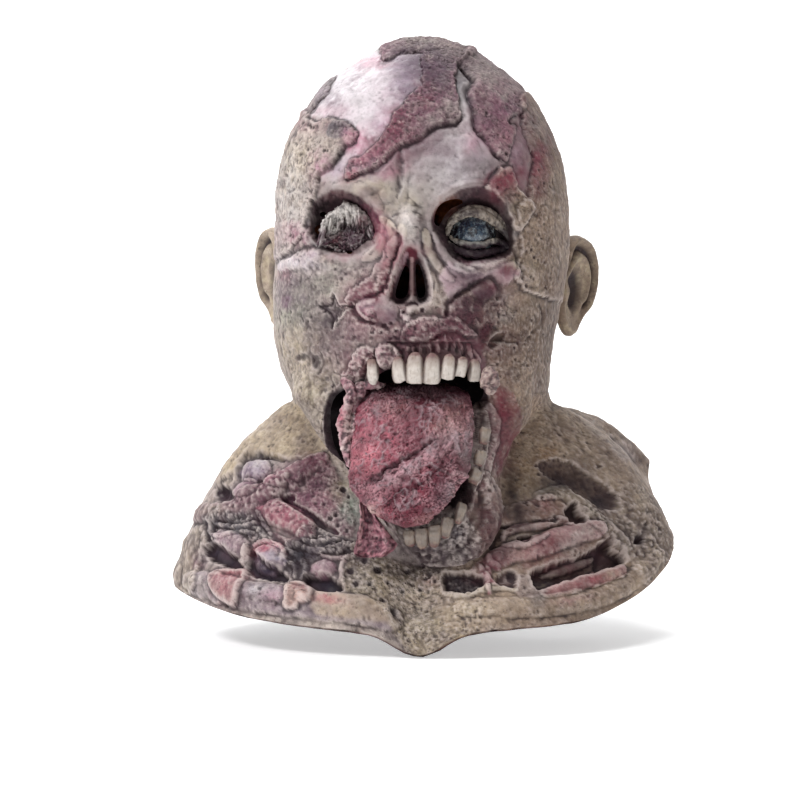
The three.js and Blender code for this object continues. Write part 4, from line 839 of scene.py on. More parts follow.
for a, b in ((416.3, 351.2), (424.5, 351.2), (432.7, 349.2), (441.8, 345.1), (449, 347.1), (456.1, 349.2), (409.2, 353.3), (463.3, 353.3), (403.1, 353.3)):
    lump(a, b, 2.6, 5.5, 8, -1.2, colour=srgb(70, 14, 30), amount=0.85)
patch([(400.6, 340), (401.4, 330.8), (406.1, 323.7), (413.3, 319.6), (423.5, 316.1), (433.7, 316.1), (441.8, 319), (451, 316.1), (462.2, 320.6), (469.4, 328.8), (475.5, 335.9), (466.3, 335.3), (456.1, 330.8), (445.9, 330.8), (438.8, 332.9), (431.6, 339), (423.5, 341.4), (413.3, 342.7), (405.1, 344.1)],
      2.4, 2.2, 0.7, 0.7, colour=PINK, amount=0.85, mottle=0.3, pit=1.5, grain=0.5, seed=19)
wash(413.3, 332.9, 9, 6, CRIMSON, 0.45)
wash(439.8, 322.7, 22, 7, srgb(176, 156, 148), 0.75)
wash(429.6, 320.6, 12, 5, srgb(190, 160, 162), 0.6)
for a, b, r in ((411.2, 326.7, 1.6), (416.3, 322.7, 1.4), (406.1, 332.9, 1.4), (421.4, 330.8, 1.5), (413.3, 336.9, 1.3), (427.6, 326.7, 1.6), (434.7, 324.7, 1.5), (442.9, 324.7, 1.6), (419.4, 320.6, 1.3)):
    lump(a, b, r, r, 0, -0.9, colour=WINE, amount=0.7)
groove([(401, 341.4), (411.2, 343.5), (423.5, 341.8), (432.7, 339.4), (439.8, 333.7)], 2.0, 1.2, 0.8, colour=srgb(90, 16, 34))
groove([(392.9, 336.9), (400, 340), (407.1, 342)], 2.0, 1.0, 0.7)
patch([(376.1, 351.2), (380.6, 345.5), (390.8, 343.5), (400.6, 351.2), (400, 357.3), (393.3, 361.8), (390.8, 367.1), (383.7, 368), (378.2, 362.4)], 2.2, 2.6, 0.5, 0.7, colour=srgb(206, 158, 168), amount=0.9, pit=1.5, grain=0.9, seed=20)
patch([(347.6, 369.6), (352, 358.4), (358.2, 350.2), (366.3, 345.5), (373.5, 348.2), (374.5, 356.3), (368.4, 362.4), (364.3, 372.7), (361.2, 382.9), (352, 387.6), (343.5, 383.5), (342.2, 374.7)], 2.6, 2.6, 0.6, 0.6, colour=srgb(196, 150, 158), amount=0.85, pit=1.4, grain=0.6, seed=22)
tube([(372.4, 353.3), (367.3, 361.4), (364.3, 371.6), (362.7, 380.8)], 3.6, -1.6, colour=srgb(96, 18, 36), amount=0.85)
for a, b in ((348, 379.8), (354.1, 373.7), (360.2, 367.6), (364.3, 359.4), (356.1, 363.5)):
    lump(a, b, 2.4, 1.8, 30, -0.9, colour=MAROON, amount=0.7)
lump(362.2, 353.3, 6, 5, 0, 0.8, colour=MAROON, amount=0.5)


# ---------------------------------------------------------------- mouth rim and jaw
MOUTH = [(344, 390), (352, 383), (366, 382), (380, 374), (392, 369), (420, 371), (450, 369), (470, 369), (483, 376), (487, 392), (489, 415), (486, 440), (481, 468), (473, 495), (461, 514), (446, 524), (430, 528), (405, 528), (388, 524), (371, 515), (359, 500), (350, 480), (344, 466), (335, 447), (331, 428), (331, 408), (336, 396)]
mouth_line = curve(MOUTH, 3, True)
i = box(mouth_line, 26, head_or_jaw)
sd = inside(u0[i] + 0.5 * wu[i], v0[i] + 0.5 * wv[i], mouth_line)
DEEP[i] += 8.0 * np.clip(1 + sd / 9.0, 0, 2.0) ** 2 * head_or_jaw[i]
gum = np.maximum(step(464, 475, u0[i]) * step(396, 412, v0[i]), step(503, 514, v0[i]) * step(384, 398, u0[i]))
DEEP[i] *= (1 - 0.74 * gum) * (1 - 0.55 * step(389, 380, v0[i]) * step(380, 394, u0[i]))
JAWS = head_or_jaw
# maroon paint round the mouth, then painted shade: the rim and the recess behind it made near-black, except on the gum
# ridge
tint(i, step(-9, 1, sd) * JAWS[i], MAROON, 0.6)
tint(i, step(-3, 3, sd) * JAWS[i] * (1 - gum), srgb(60, 18, 32), 0.8)
tint(i, step(-5, 1, sd) * JAWS[i] * gum, srgb(136, 116, 112), 0.9)
# wearer's right side: the cheek's torn edge along the slit
wash(330.7, 431.8, 16, 34, srgb(190, 178, 150), 0.6, 10, on=JAWS)
wash(329.2, 404.3, 12, 16, srgb(170, 160, 150), 0.6, on=JAWS)
tube([(339.9, 385.9), (331.5, 404.3), (327.7, 422.7), (330.7, 441), (336.8, 456.3), (345.3, 467.8)], 5, 1.8, colour=srgb(176, 150, 146), amount=0.6, taper=0.4, on=JAWS)
for a, b, r in ((329.2, 404.3, 2.2), (324.6, 390.5, 2), (335.3, 395.1, 2.2), (323.1, 419.6, 1.8), (332.2, 385.9, 1.8), (326.1, 378.3, 2.2), (330.7, 445.6, 1.8), (321.5, 431.8, 1.6)):
    lump(a, b, r, r * 1.3, 10, -1.0, colour=srgb(66, 56, 60), amount=0.75, on=JAWS)
# wearer's left side: outer lip, crimson band, and the tan skin behind it
patch([(485.3, 330.8), (549.6, 330.8), (564.9, 385.9), (558.8, 477.8), (525.1, 508.4), (503.7, 554.3), (497.6, 508.4), (500.6, 462.4), (497.6, 401.2)], 8, 0.6, colour=SKIN_TAN, amount=0.8, mottle=0.4, pit=1.2, grain=0.25, on=JAWS)
patch([(496, 390.5), (509.8, 390.5), (517.4, 405.8), (519, 425.7), (514.4, 447.1), (506.7, 462.4), (500.6, 471.6), (494.5, 477.8), (489.9, 465.5), (493, 438), (497.6, 416.5)], 5, 0.5, colour=CRIMSON, amount=0.68, mottle=0.7, pit=0.9, on=JAWS)
wash(493, 459.4, 10, 26, MAROON, 0.7, on=JAWS)
tube([(486.8, 404.3), (493, 419.6), (491.4, 438), (486.8, 456.3), (482.2, 474.7), (480.7, 486.9)], 7, 2.4, colour=srgb(160, 128, 130), amount=0.65, taper=0.4, on=JAWS, pit=1.3)
tube([(482.2, 477.8), (489.9, 490), (493, 508.4), (489.9, 526.7), (479.2, 545.1), (466.9, 557.3), (451.6, 566.5), (436.3, 571.1), (421, 569.6)], 10, 4.2, colour=srgb(156, 122, 116), amount=0.8, taper=0.4, on=JAWS, pit=1.3)
wash(486.8, 485.4, 7, 12, MAROON, 0.6, on=JAWS)
groove([(479.2, 482.3), (481, 494.6), (476.1, 509.9), (470, 523.7)], 3.6, 2.0, 0.85, colour=srgb(84, 12, 30), on=JAWS)
groove([(497.6, 471.6), (499.8, 486.9), (498.3, 505.3)], 1.8, 0.8, 0.35, on=JAWS)
wash(496, 516, 6, 22, srgb(110, 90, 84), 0.7, on=JAWS)
# the gum's bony ridge, with the side teeth in it
tube([(478, 402), (483, 424), (480, 446), (475, 468), (469, 490), (459, 508)], 6.5, 3.4, colour=srgb(158, 138, 132), amount=0.8, taper=0.5, on=JAWS, pit=1.4, wrinkle=0.5)
tube([(392, 519), (410, 522), (430, 521), (448, 514), (460, 504)], 5.5, 2.6, colour=srgb(140, 122, 118), amount=0.8, taper=0.5, on=JAWS, pit=1.4, wrinkle=0.5)
lump(456, 485, 9, 8, 20, 3.0, colour=srgb(112, 84, 86), amount=0.9, on=JAWS)
wash(462, 486, 4, 6, srgb(36, 16, 24), 0.9, on=JAWS)
# chin
patch([(378.2, 520.6), (385.8, 528.3), (393.5, 537.4), (402.7, 549.7), (411.8, 561.9), (427.1, 569.6), (442.4, 571.9), (457.8, 568.1), (470, 557.3), (477.7, 542), (473.1, 523.7), (466.9, 513), (457.8, 502.2), (451.6, 505.3), (439.4, 516), (427.1, 523.7), (411.8, 528.3), (396.5, 526.7), (385.8, 523.7)],
      5, 0.4, colour=srgb(150, 142, 140), amount=0.85, mottle=0.6, pit=1.2, grain=0.7, on=JAWS, seed=23)
wash(436.3, 554.3, 24, 10, srgb(62, 62, 74), 0.8, on=JAWS)
wash(411.8, 552.8, 14, 8, srgb(84, 82, 88), 0.7, on=JAWS)
wash(457.8, 537.4, 10, 18, srgb(70, 70, 82), 0.8, 20, on=JAWS)
wash(390.4, 528.3, 10, 5, srgb(226, 196, 196), 0.8, -30, on=JAWS)
for a, b, r in ((417.2, 555.8, 4.6), (428.7, 557.3, 4), (439.4, 552.8, 3.2), (450.1, 555.8, 3.4), (457.8, 546.6, 3), (407.2, 552.8, 2.6), (424.1, 546.6, 2), (462.3, 525.2, 3), (454.7, 506.8, 3.6)):
    lump(a, b, r, r * 0.85, 20, -2.0, colour=BLUE_BLACK, amount=0.85, on=JAWS)
tube([(381.2, 523.7), (390.4, 535.2), (399.6, 545.9), (408, 557.3), (418, 565.8), (431.7, 571.4), (447, 571.9)], 2.6, 1.8, colour=srgb(208, 168, 170), amount=0.8, taper=0.3, on=JAWS)
wash(442.4, 569.6, 26, 4, srgb(176, 120, 134), 0.6, on=JAWS)
groove([(411.8, 545.1), (424.1, 551.2), (433.3, 545.1), (442.4, 543.6), (451.6, 537.4)], 1.8, 0.8, 0.6, on=JAWS)
wash(405.7, 566.5, 20, 6, srgb(120, 96, 104), 0.6, on=JAWS)

# ---------------------------------------------------------------- the bib, wearer's right half
BIB = on_bib
bib_all = np.nonzero((BIB > 0.3) & (row_of > SEAM))[0]
H[bib_all] += 0.8 * noise(X3[bib_all], 12.0, 131)
patch([(323.6, 448.9), (309.3, 460.5), (284.3, 461.4), (270, 456.4), (248.6, 456.4), (241.8, 461.8), (240.5, 475.7), (223.6, 490), (212.9, 504.3), (198.6, 518.6), (177.1, 550.7), (173.6, 582.9), (200.4, 602.5), (241.4, 613.2), (284.3, 617.7), (348.6, 621.2), (375.4, 629.3), (420, 657.9), (437.9, 640), (437.9, 550.7), (366.4, 515), (348.6, 479.3), (330.7, 461.4)], 6, 0.0,
      colour=srgb(128, 116, 116), amount=0.75, mottle=0.4, pit=1.0, on=BIB)
patch([(295, 400.7), (255.7, 431.1), (223.6, 466.8), (214.6, 497.1), (218.2, 482.9), (228.9, 473.9), (240.5, 473.9), (241.8, 461.4), (248.6, 456.1), (270, 456.1), (284.3, 460), (309.3, 458.8), (327.1, 448.9), (325.4, 425.7)], 3, 1.4, 0.4, 0.6, colour=srgb(176, 158, 128), amount=0.85, pit=0.7, on=BIB)
wash(284.3, 422.1, 22, 14, srgb(128, 108, 84), 0.6, on=BIB)
wash(305.7, 443.6, 12, 18, srgb(104, 84, 70), 0.6, on=BIB)
fibres([(295, 400.7), (255.7, 431.1), (223.6, 466.8), (270, 456.1), (284.3, 460), (327.1, 448.9), (325.4, 425.7)], 35, 0.5, 4, 0.2, 0.15, on=BIB)
groove([(240.5, 476.6), (241.8, 466.8), (243.6, 460.7), (249.5, 456.4), (270, 456.4), (284.3, 460.5)], 3.0, 2.6, 0.95, on=BIB)
# shoulder lumps
lump(255.7, 471.2, 17, 12, 15, 4.5, colour=srgb(140, 122, 142), amount=0.9, power=0.7, pit=1.1, rough=0.5, shade=0.9, mottle=0.8, on=BIB)
wash(262.9, 466.8, 8, 6, BONE, 0.6, on=BIB)
lump(246.8, 490, 14, 9, 25, 3.6, colour=srgb(176, 140, 158), amount=0.85, power=0.7, shade=0.6, on=BIB)
lump(222.7, 494.5, 9, 11, 30, -5.5, colour=BLUE_BLACK, amount=0.95, power=0.5, on=BIB)
lump(231.6, 499.8, 6, 4, 30, -2.5, colour=BLUE_BLACK, amount=0.8, power=0.5, on=BIB)
groove([(212.9, 500.7), (217.3, 492.7), (223.6, 484.6), (230.7, 477.5)], 3.6, 1.6, 0.85, on=BIB)
lump(287.9, 498.9, 8, 4.6, 25, -4.5, colour=BLUE_BLACK, amount=0.95, power=0.5, on=BIB)
tube([(282.5, 498.9), (295, 507), (309.3, 515), (323.6, 525.7), (337.9, 532.9)], 4.0, -3.6, colour=BLUE_BLACK, amount=0.92, taper=0.5, on=BIB, power=0.6)
lump(293.2, 486.4, 6, 5, 0, 2.2, colour=srgb(150, 128, 126), amount=0.8, shade=0.4, on=BIB)
tube([(270, 482.9), (284.3, 479.3), (305.7, 468.6), (323.6, 457.9)], 9, 3.2, colour=srgb(156, 104, 118), amount=0.7, taper=0.4, wrinkle=0.5, on=BIB, shade=0.5, pit=1.3)
patch([(295, 479.3), (312.9, 465), (327.1, 454.3), (330.7, 465), (341.4, 482.9), (348.6, 504.3), (355.7, 525.7), (348.6, 538.2), (327.1, 525.7), (312.9, 511.4), (298.6, 500.7), (291.4, 490)], 5, 0.6, colour=srgb(128, 66, 88), amount=0.75, mottle=0.8, pit=1.3, grain=0.6, on=BIB)
wash(320, 497.1, 14, 12, srgb(196, 136, 150), 0.7, on=BIB)
wash(312.9, 468.6, 14, 8, MAROON, 0.7, -30, on=BIB)
wash(348.6, 511.4, 9, 18, MINT, 0.9, on=BIB)
wash(341.4, 490, 12, 14, srgb(176, 166, 132), 0.7, on=BIB)
wash(341.4, 527.5, 12, 8, MAROON, 0.5, on=BIB)
for a, b, r in ((343.2, 490, 3.2), (336.1, 515, 2.4), (330.7, 518.6, 2.6), (323.6, 504.3, 1.8), (348.6, 497.1, 2), (337.9, 525.7, 2.4), (346.8, 531.1, 2.2)):
    lump(a, b, r, r * 1.2, 20, -1.8, colour=srgb(50, 50, 54), amount=0.8, on=BIB)
# the rope of skin across the chest, and the muscle beside it
tube([(196.8, 515), (220, 511.8), (241.4, 506.1), (259.3, 495.4), (271.8, 488.2), (284.3, 479.3)], 11, 3.8, colour=srgb(136, 104, 108), amount=0.8, taper=0.3, wrinkle=0.9, on=BIB, shade=0.7, pit=1.4)
wash(245, 498.9, 16, 8, srgb(170, 120, 134), 0.6, 20, on=BIB)
wash(214.6, 511.4, 14, 7, srgb(160, 148, 130), 0.7, on=BIB)
tube([(266.4, 513.2), (277.1, 513.2), (291.4, 518.6), (302.1, 525.7), (307.5, 532.9)], 14, 4.6, colour=srgb(158, 84, 102), amount=0.9, taper=0.35, wrinkle=0.7, on=BIB, shade=0.85, pit=1.2)
wash(280.7, 513.2, 10, 5, srgb(206, 150, 160), 0.7, -30, on=BIB)
tube([(270, 532.9), (284.3, 543.6), (298.6, 541.8), (305.7, 531.1)], 6, 2.0, colour=MAROON, amount=0.6, taper=0.4, wrinkle=0.5, on=BIB, shade=0.6)
groove([(260.2, 516.8), (266.4, 527.5), (275.4, 538.2), (284.3, 545.4)], 4.0, 3.0, 0.92, on=BIB)
# crumpled, blackened skin
for outline, tone in (([(205.7, 518.6), (228.9, 515), (259.3, 513.2), (262.9, 525.7), (270, 538.2), (255.7, 541.8), (241.4, 532.9), (223.6, 532.9), (211.1, 538.2), (205.7, 550.7), (202.1, 543.6)], 0.7),
                      ([(284.3, 543.6), (298.6, 540), (316.4, 534.6), (337.9, 538.2), (359.3, 543.6), (355.7, 550.7), (337.9, 554.3), (316.4, 557.9), (305.7, 579.3), (295, 579.3), (286.1, 568.6), (282.5, 556.1)], 0.75),
                      ([(309.3, 525.7), (330.7, 532.9), (348.6, 538.2), (359.3, 541.8), (355.7, 550.7), (330.7, 547.1), (309.3, 536.4)], 0.6)):
    patch(outline, 5, 0.4, colour=srgb(74, 72, 78), amount=tone, mottle=0.8, pit=1.6, rough=0.72, grain=1.3, on=BIB, seed=25)
for pts, wd in (([(207.5, 520.4), (223.6, 525.7), (241.4, 527.5), (255.7, 522.1)], 3.0), ([(211.1, 532.9), (223.6, 538.2), (237.9, 532.9), (253.9, 532.9)], 2.6), ([(286.1, 550.7), (298.6, 556.1), (305.7, 568.6), (302.1, 579.3)], 3.0), ([(295, 543.6), (312.9, 550.7), (330.7, 550.7), (357.5, 547.1)], 3.2),
                ([(287.9, 561.4), (295, 566.8), (295, 577.5)], 2.4), ([(305.7, 541.8), (323.6, 541.8), (341.4, 540)], 2.6), ([(212.9, 522.1), (211.1, 532.9), (214.6, 540)], 2.6), ([(259.3, 513.2), (262.9, 522.1), (270, 532.9)], 2.6), ([(327.1, 548.9), (341.4, 545.4), (362.9, 545.7)], 2.6)):
    tube(pts, wd, 2.0, colour=srgb(116, 108, 112), amount=0.7, taper=0.4, wrinkle=0.4, on=BIB, shade=0.7)
tube([(321.8, 556.1), (336.1, 558.8), (355.7, 555.2), (366.4, 551.6)], 2.6, 2.0, colour=MAROON, amount=0.7, on=BIB, shade=0.7)
tube([(348.6, 556.1), (341.4, 565), (342.3, 579.3), (344.1, 588.2)], 2.6, 2.0, colour=srgb(160, 128, 128), amount=0.7, on=BIB, shade=0.6)
# hollows over the collarbone and the lumps that lie in them
for outline in ([(206.6, 550.7), (212.9, 543.6), (223.6, 547.1), (232.5, 556.1), (241.4, 565), (240.5, 568.6), (223.6, 565.9), (209.3, 557.9)], [(248.6, 561.4), (253.9, 550.7), (262.9, 561.4), (284.3, 573.9), (286.1, 580.2), (270, 579.3), (248.6, 573.9)], [(303.9, 579.3), (312.9, 575.7), (330.7, 577.5), (341.4, 586.4), (337.9, 592.7), (321.8, 591.8), (307.5, 584.6)]):
    patch(outline, 4, -5.0, 0.0, 0.0, colour=srgb(26, 20, 38), amount=0.97, rough=0.8, pit=0.2, on=BIB)
lump(232.5, 543.6, 21, 12, -22, 4.4, colour=srgb(134, 112, 122), amount=0.9, power=0.75, pit=1.2, mottle=0.8, rough=0.46, shade=0.6, on=BIB)
wash(227.1, 538.2, 12, 5, srgb(190, 150, 160), 0.6, -20, on=BIB)
lump(269.1, 559.6, 19, 15, 5, 5.2, colour=srgb(132, 104, 124), amount=0.9, power=0.7, pit=1.1, rough=0.5, shade=1.0, mottle=0.8, on=BIB)
wash(264.6, 548.9, 13, 4, srgb(196, 112, 124), 0.8, on=BIB)
wash(275.4, 559.6, 10, 4, srgb(170, 166, 186), 0.6, on=BIB)
wash(270, 568.6, 16, 6, srgb(48, 38, 60), 0.8, on=BIB)
lump(323.6, 568.6, 14, 9, 10, 3.4, colour=srgb(168, 124, 140), amount=0.85, power=0.8, shade=0.6, on=BIB)
tube([(248.6, 545.4), (245, 556.1), (240.5, 566.8)], 3.0, 2.4, colour=srgb(160, 140, 136), amount=0.7, on=BIB, shade=0.5)
tube([(253.9, 545.4), (266.4, 541.8), (280.7, 547.1), (286.1, 554.3)], 3.0, 1.6, colour=srgb(190, 130, 140), amount=0.7, on=BIB)
# collarbone: a pipe along the lower edge, with two bands of skin round it
tube([(196.8, 582.9), (218.2, 588.2), (241.4, 594.5), (270, 598.9), (302.1, 603.4), (334.3, 607), (362.9, 611.4), (391.4, 620.4)], 16, 4.6, colour=srgb(142, 126, 134), amount=0.85, taper=0.25, on=BIB, pit=1.1, rough=0.42, power=0.6, wobble=0.2)
patch([(312.9, 592.7), (341.4, 594.5), (366.4, 598), (391.4, 607), (402.1, 616.8), (391.4, 625.7), (366.4, 622.1), (339.6, 620.4), (316.4, 615)], 5, 0.4, colour=srgb(184, 164, 138), amount=0.75, mottle=0.5, pit=0.6, on=BIB)
wash(327.1, 601.6, 18, 5, srgb(160, 52, 72), 0.85, -8, on=BIB)
wash(277.1, 598.9, 14, 10, srgb(176, 130, 148), 0.6, on=BIB)
wash(259.3, 591.8, 12, 6, srgb(186, 180, 186), 0.5, on=BIB)
wash(270, 603.4, 60, 3.5, srgb(70, 56, 60), 0.6, -8, on=BIB)
wash(366.4, 609.6, 22, 4, srgb(96, 78, 60), 0.5, -12, on=BIB)
wash(205.7, 588.2, 10, 10, srgb(196, 190, 180), 0.5, on=BIB)
patch([(215.5, 571.2), (230.7, 569.5), (247.7, 570.4), (247.1, 579.3), (243.2, 590), (241.4, 600.7), (236.1, 608.2), (227.1, 604.3), (219.1, 597.1), (214.3, 586.4)], 2.4, 2.2, 0.5, 0.75, colour=srgb(160, 124, 122), amount=0.9, pit=1.0, on=BIB, ragged=False)
wash(234.3, 577.5, 14, 6, srgb(172, 76, 94), 0.85, on=BIB)
fibres([(215.5, 571.2), (247.7, 570.4), (243.2, 590), (236.1, 608.2), (219.1, 597.1)], 80, 0.35, 3, 0.15, 0.15, on=BIB)
patch([(287.9, 583.8), (302.1, 582), (312.9, 588.2), (314.3, 597.1), (312.9, 604.3), (302.1, 606.1), (298.6, 611.4), (286.1, 610.5), (287, 597.1)], 2.4, 2.2, 0.5, 0.75, colour=srgb(168, 134, 122), amount=0.9, pit=1.0, on=BIB, ragged=False)
wash(302.1, 588.2, 8, 5, srgb(190, 110, 120), 0.6, on=BIB)
lump(304.8, 600.7, 7, 6, 0, 1.6, colour=srgb(190, 150, 140), amount=0.6, on=BIB)
patch([(203, 559.6), (198.6, 568.6), (199.5, 584.6), (191.4, 595.4), (177.1, 588.2), (173.6, 568.6), (177.1, 550.7), (191.4, 532.9), (205.7, 525.7), (207.5, 541.8)], 3, 1.6, 0.4, 0.6, colour=srgb(150, 136, 120), amount=0.85, on=BIB)
fibres([(203, 559.6), (198.6, 568.6), (199.5, 584.6), (191.4, 595.4), (177.1, 588.2), (173.6, 568.6), (177.1, 550.7), (191.4, 532.9), (205.7, 525.7), (207.5, 541.8)], 60, 0.7, 3, 0.4, 0.2, on=BIB)
wash(198.6, 561.4, 6, 10, MAROON, 0.7, on=BIB)
# chest, middle
patch([(359.3, 543.6), (402.1, 565), (437.9, 568.6), (473.6, 575.7), (482.5, 622.1), (455.7, 643.6), (420, 657.9), (398.6, 640), (380.7, 609.6), (366.4, 597.1), (345, 591.8), (341.4, 579.3), (348.6, 559.6)], 6, 0.8, colour=srgb(172, 156, 128), amount=0.75, mottle=0.6, pit=1.6, grain=0.8, on=BIB, seed=26)
for a, b, r in ((377.1, 570.4, 4), (393.2, 613.2, 5), (364.6, 561.4, 3.4), (350.4, 572.1, 3.6), (370, 584.6, 2.4), (407.5, 572.1, 3), (387.9, 582.9, 2.2), (402.1, 591.8, 2.4), (382.5, 600.7, 2.6), (420, 590, 2.2), (355.7, 584.6, 2.8), (428.9, 575.7, 3.2)):
    lump(a, b, r, r * 1.2, 30, -2.0, colour=srgb(58, 54, 58), amount=0.8, on=BIB)
wash(362.9, 556.1, 14, 8, srgb(84, 74, 80), 0.7, on=BIB)
wash(428.9, 581.1, 12, 8, srgb(196, 160, 146), 0.7, on=BIB)
lump(420, 625.7, 18, 16, 0, 2.2, colour=srgb(178, 164, 140), amount=0.4, on=BIB)
groove([(391.4, 609.6), (394.1, 618.6), (400.4, 622.1)], 3.0, 1.8, 0.7, on=BIB)

# ---------------------------------------------------------------- the bib, wearer's left half
patch([(479.7, 559.1), (499.6, 525.9), (496.3, 499.4), (499.6, 449.6), (516.2, 429.7), (549.4, 399.9), (595.8, 419.8), (637.3, 439.7), (650.5, 459.6), (645.6, 486.1), (662.1, 506), (673.7, 539.2), (670.4, 555.8), (645.6, 585.6), (612.4, 610.5), (562.7, 618.8), (496.3, 625.4), (446.6, 628.7), (439.9, 595.6), (446.6, 570.7)], 8, 0.0, colour=srgb(158, 138, 116), amount=0.7, mottle=0.4, pit=0.9, on=BIB)
fibres([(499.6, 449.6), (516.2, 429.7), (549.4, 399.9), (595.8, 419.8), (637.3, 439.7), (650.5, 459.6), (595.8, 462.9), (546.1, 454.6), (512.9, 486.1)], -25, 0.6, 4.5, 0.25, 0.12, on=BIB)
wash(625.7, 451.3, 22, 14, srgb(142, 128, 128), 0.7, -15, on=BIB)
wash(536.1, 466.2, 20, 14, srgb(168, 138, 94), 0.7, on=BIB)
wash(546.1, 451.3, 10, 8, srgb(148, 108, 60), 0.6, on=BIB)
wash(522.9, 482.8, 20, 9, srgb(176, 152, 112), 0.6, on=BIB)
tube([(544.4, 466.2), (566, 472.9), (584.2, 486.1), (602.4, 496.1), (615.7, 506)], 13, -5.0, colour=UMBER, amount=0.85, taper=0.5, on=BIB, power=0.9, wobble=1.0)
wash(549.4, 469.5, 14, 8, srgb(74, 54, 44), 0.8, -25, on=BIB)
wash(609.1, 502.7, 14, 10, srgb(44, 30, 34), 0.8, -30, on=BIB)
for a, b, r in ((556, 476.2, 2.6), (536.1, 466.2, 2.4), (561, 482.8, 2.4), (599.1, 466.2, 2.8), (586.7, 442.2, 1.6), (541.1, 499.4, 2.6), (526.2, 502.7, 2), (567.6, 489.4, 2)):
    lump(a, b, r, r * 0.7, 20, -1.4, colour=srgb(40, 28, 26), amount=0.85, on=BIB)
groove([(522.9, 504.4), (531.1, 500.2), (536.1, 504.4), (538.6, 506.8)], 2.2, 1.4, 0.85, on=BIB)
# shoulder, with its coarse fibres
patch([(620.7, 486.1), (645.6, 489.4), (662.1, 509.3), (673.7, 539.2), (670.4, 555.8), (645.6, 585.6), (635.6, 575.7), (629, 559.1), (609.1, 539.2), (592.5, 522.6), (579.2, 509.3), (595.8, 509.3), (615.7, 509.3)], 5, 0.8, colour=srgb(146, 130, 112), amount=0.8, mottle=0.6, pit=1.2, grain=0.5, on=BIB, seed=27)
fibres([(579.2, 506), (612.4, 512.7), (645.6, 496.1), (668.8, 529.2), (672.1, 552.4), (648.9, 582.3), (625.7, 562.4), (605.8, 539.2)], -45, 0.9, 4, 0.4, 0.2, on=BIB)
tube([(539.4, 496.1), (552.7, 492.8), (566, 494.4), (579.2, 504.4), (592.5, 519.3), (609.1, 532.6), (625.7, 547.5)], 8, 3.0, colour=srgb(138, 128, 110), amount=0.7, taper=0.3, wrinkle=0.3, on=BIB, shade=0.5)
fibres([(539.4, 496.1), (552.7, 491.1), (569.3, 492.8), (589.2, 511), (612.4, 529.2), (629, 547.5), (615.7, 547.5), (595.8, 529.2), (572.6, 506), (556, 499.4)], -40, 0.8, 3, 0.4, 0.25, on=BIB)
lump(638.9, 540, 6, 5, 60, -3.4, colour=srgb(40, 46, 50), amount=0.9, on=BIB)
groove([(645.6, 522.6), (643.9, 532.6), (639.3, 539.2), (634, 543.3)], 2.4, 1.4, 0.75, on=BIB)
for a, b, r in ((629, 547.5, 2), (637.3, 554.1, 2.4), (652.2, 545.8, 2), (647.2, 512.7, 2), (629, 522.6, 1.8), (658.8, 529.2, 1.8)):
    lump(a, b, r * 1.5, r * 0.8, 50, -1.2, colour=srgb(60, 54, 50), amount=0.7, on=BIB)
# flesh above the slot
patch([(496.3, 519.3), (501.3, 509.3), (522.9, 502.7), (544.4, 496.1), (559.3, 499.4), (569.3, 511), (567.6, 520.9), (556, 519.3), (532.8, 522.6), (509.6, 525.9)], 4, 1.0, 0.2, 0.3, colour=srgb(142, 112, 98), amount=0.8, mottle=0.5, pit=1.0, on=BIB)
wash(546.1, 506, 14, 7, srgb(150, 90, 96), 0.6, -20, on=BIB)
groove([(495.5, 527.6), (512.9, 525.9), (532.8, 522.9), (552.7, 520.6)], 2.4, 1.8, 0.8, on=BIB)
tube([(503, 539.2), (506.3, 532.6), (519.5, 527.6), (539.4, 525.9), (559.3, 520.9), (570.9, 524.3)], 4.6, 2.6, colour=srgb(140, 96, 96), amount=0.75, on=BIB, shade=0.5)
tube([(501.3, 545.8), (516.2, 547.5), (529.5, 545.8), (546.1, 535.9)], 4.0, 2.0, colour=srgb(128, 96, 92), amount=0.6, on=BIB)
patch([(517.9, 537.2), (531.5, 536.7), (527, 545), (520.4, 545.8)], 2.0, -3.8, 0.0, 0.0, colour=srgb(18, 24, 44), amount=0.95, on=BIB, ragged=False)
patch([(565.1, 511), (574.3, 503.5), (576.7, 512.7), (585.9, 522.6), (579.2, 524.6), (570.9, 523.9)], 2.0, -4.6, 0.0, 0.0, colour=srgb(14, 14, 24), amount=0.98, rough=0.85, pit=0.2, on=BIB)
patch([(548.1, 520.9), (554.4, 517.6), (556.8, 520.1), (553.5, 523.4)], 2.0, -2.6, 0.0, 0.0, colour=srgb(30, 30, 42), amount=0.9, on=BIB)
groove([(496.3, 524.3), (495.5, 537.5), (491.4, 547.5)], 4.0, 3.0, 0.9, on=BIB)
wash(501.3, 511, 10, 10, srgb(54, 36, 40), 0.8, on=BIB)
# the pale bone across it
tube([(493, 559.9), (509.6, 554.1), (532.8, 547.5), (556, 540), (575.9, 532.6), (594.2, 531.7)], 12, 4.4, colour=srgb(176, 128, 132), amount=0.9, taper=0.25, on=BIB, shade=0.5, pit=0.8, power=0.7)
wash(582.6, 533.4, 16, 8, srgb(212, 198, 190), 0.9, 15, on=BIB)
wash(569.3, 547.5, 14, 7, srgb(200, 184, 178), 0.8, 20, on=BIB)
wash(546.1, 545.8, 16, 5, CRIMSON, 0.6, 18, on=BIB)
wash(496.3, 559.1, 12, 8, CRIMSON, 0.55, on=BIB)
wash(516.2, 555.8, 16, 6, srgb(190, 160, 146), 0.6, 12, on=BIB)
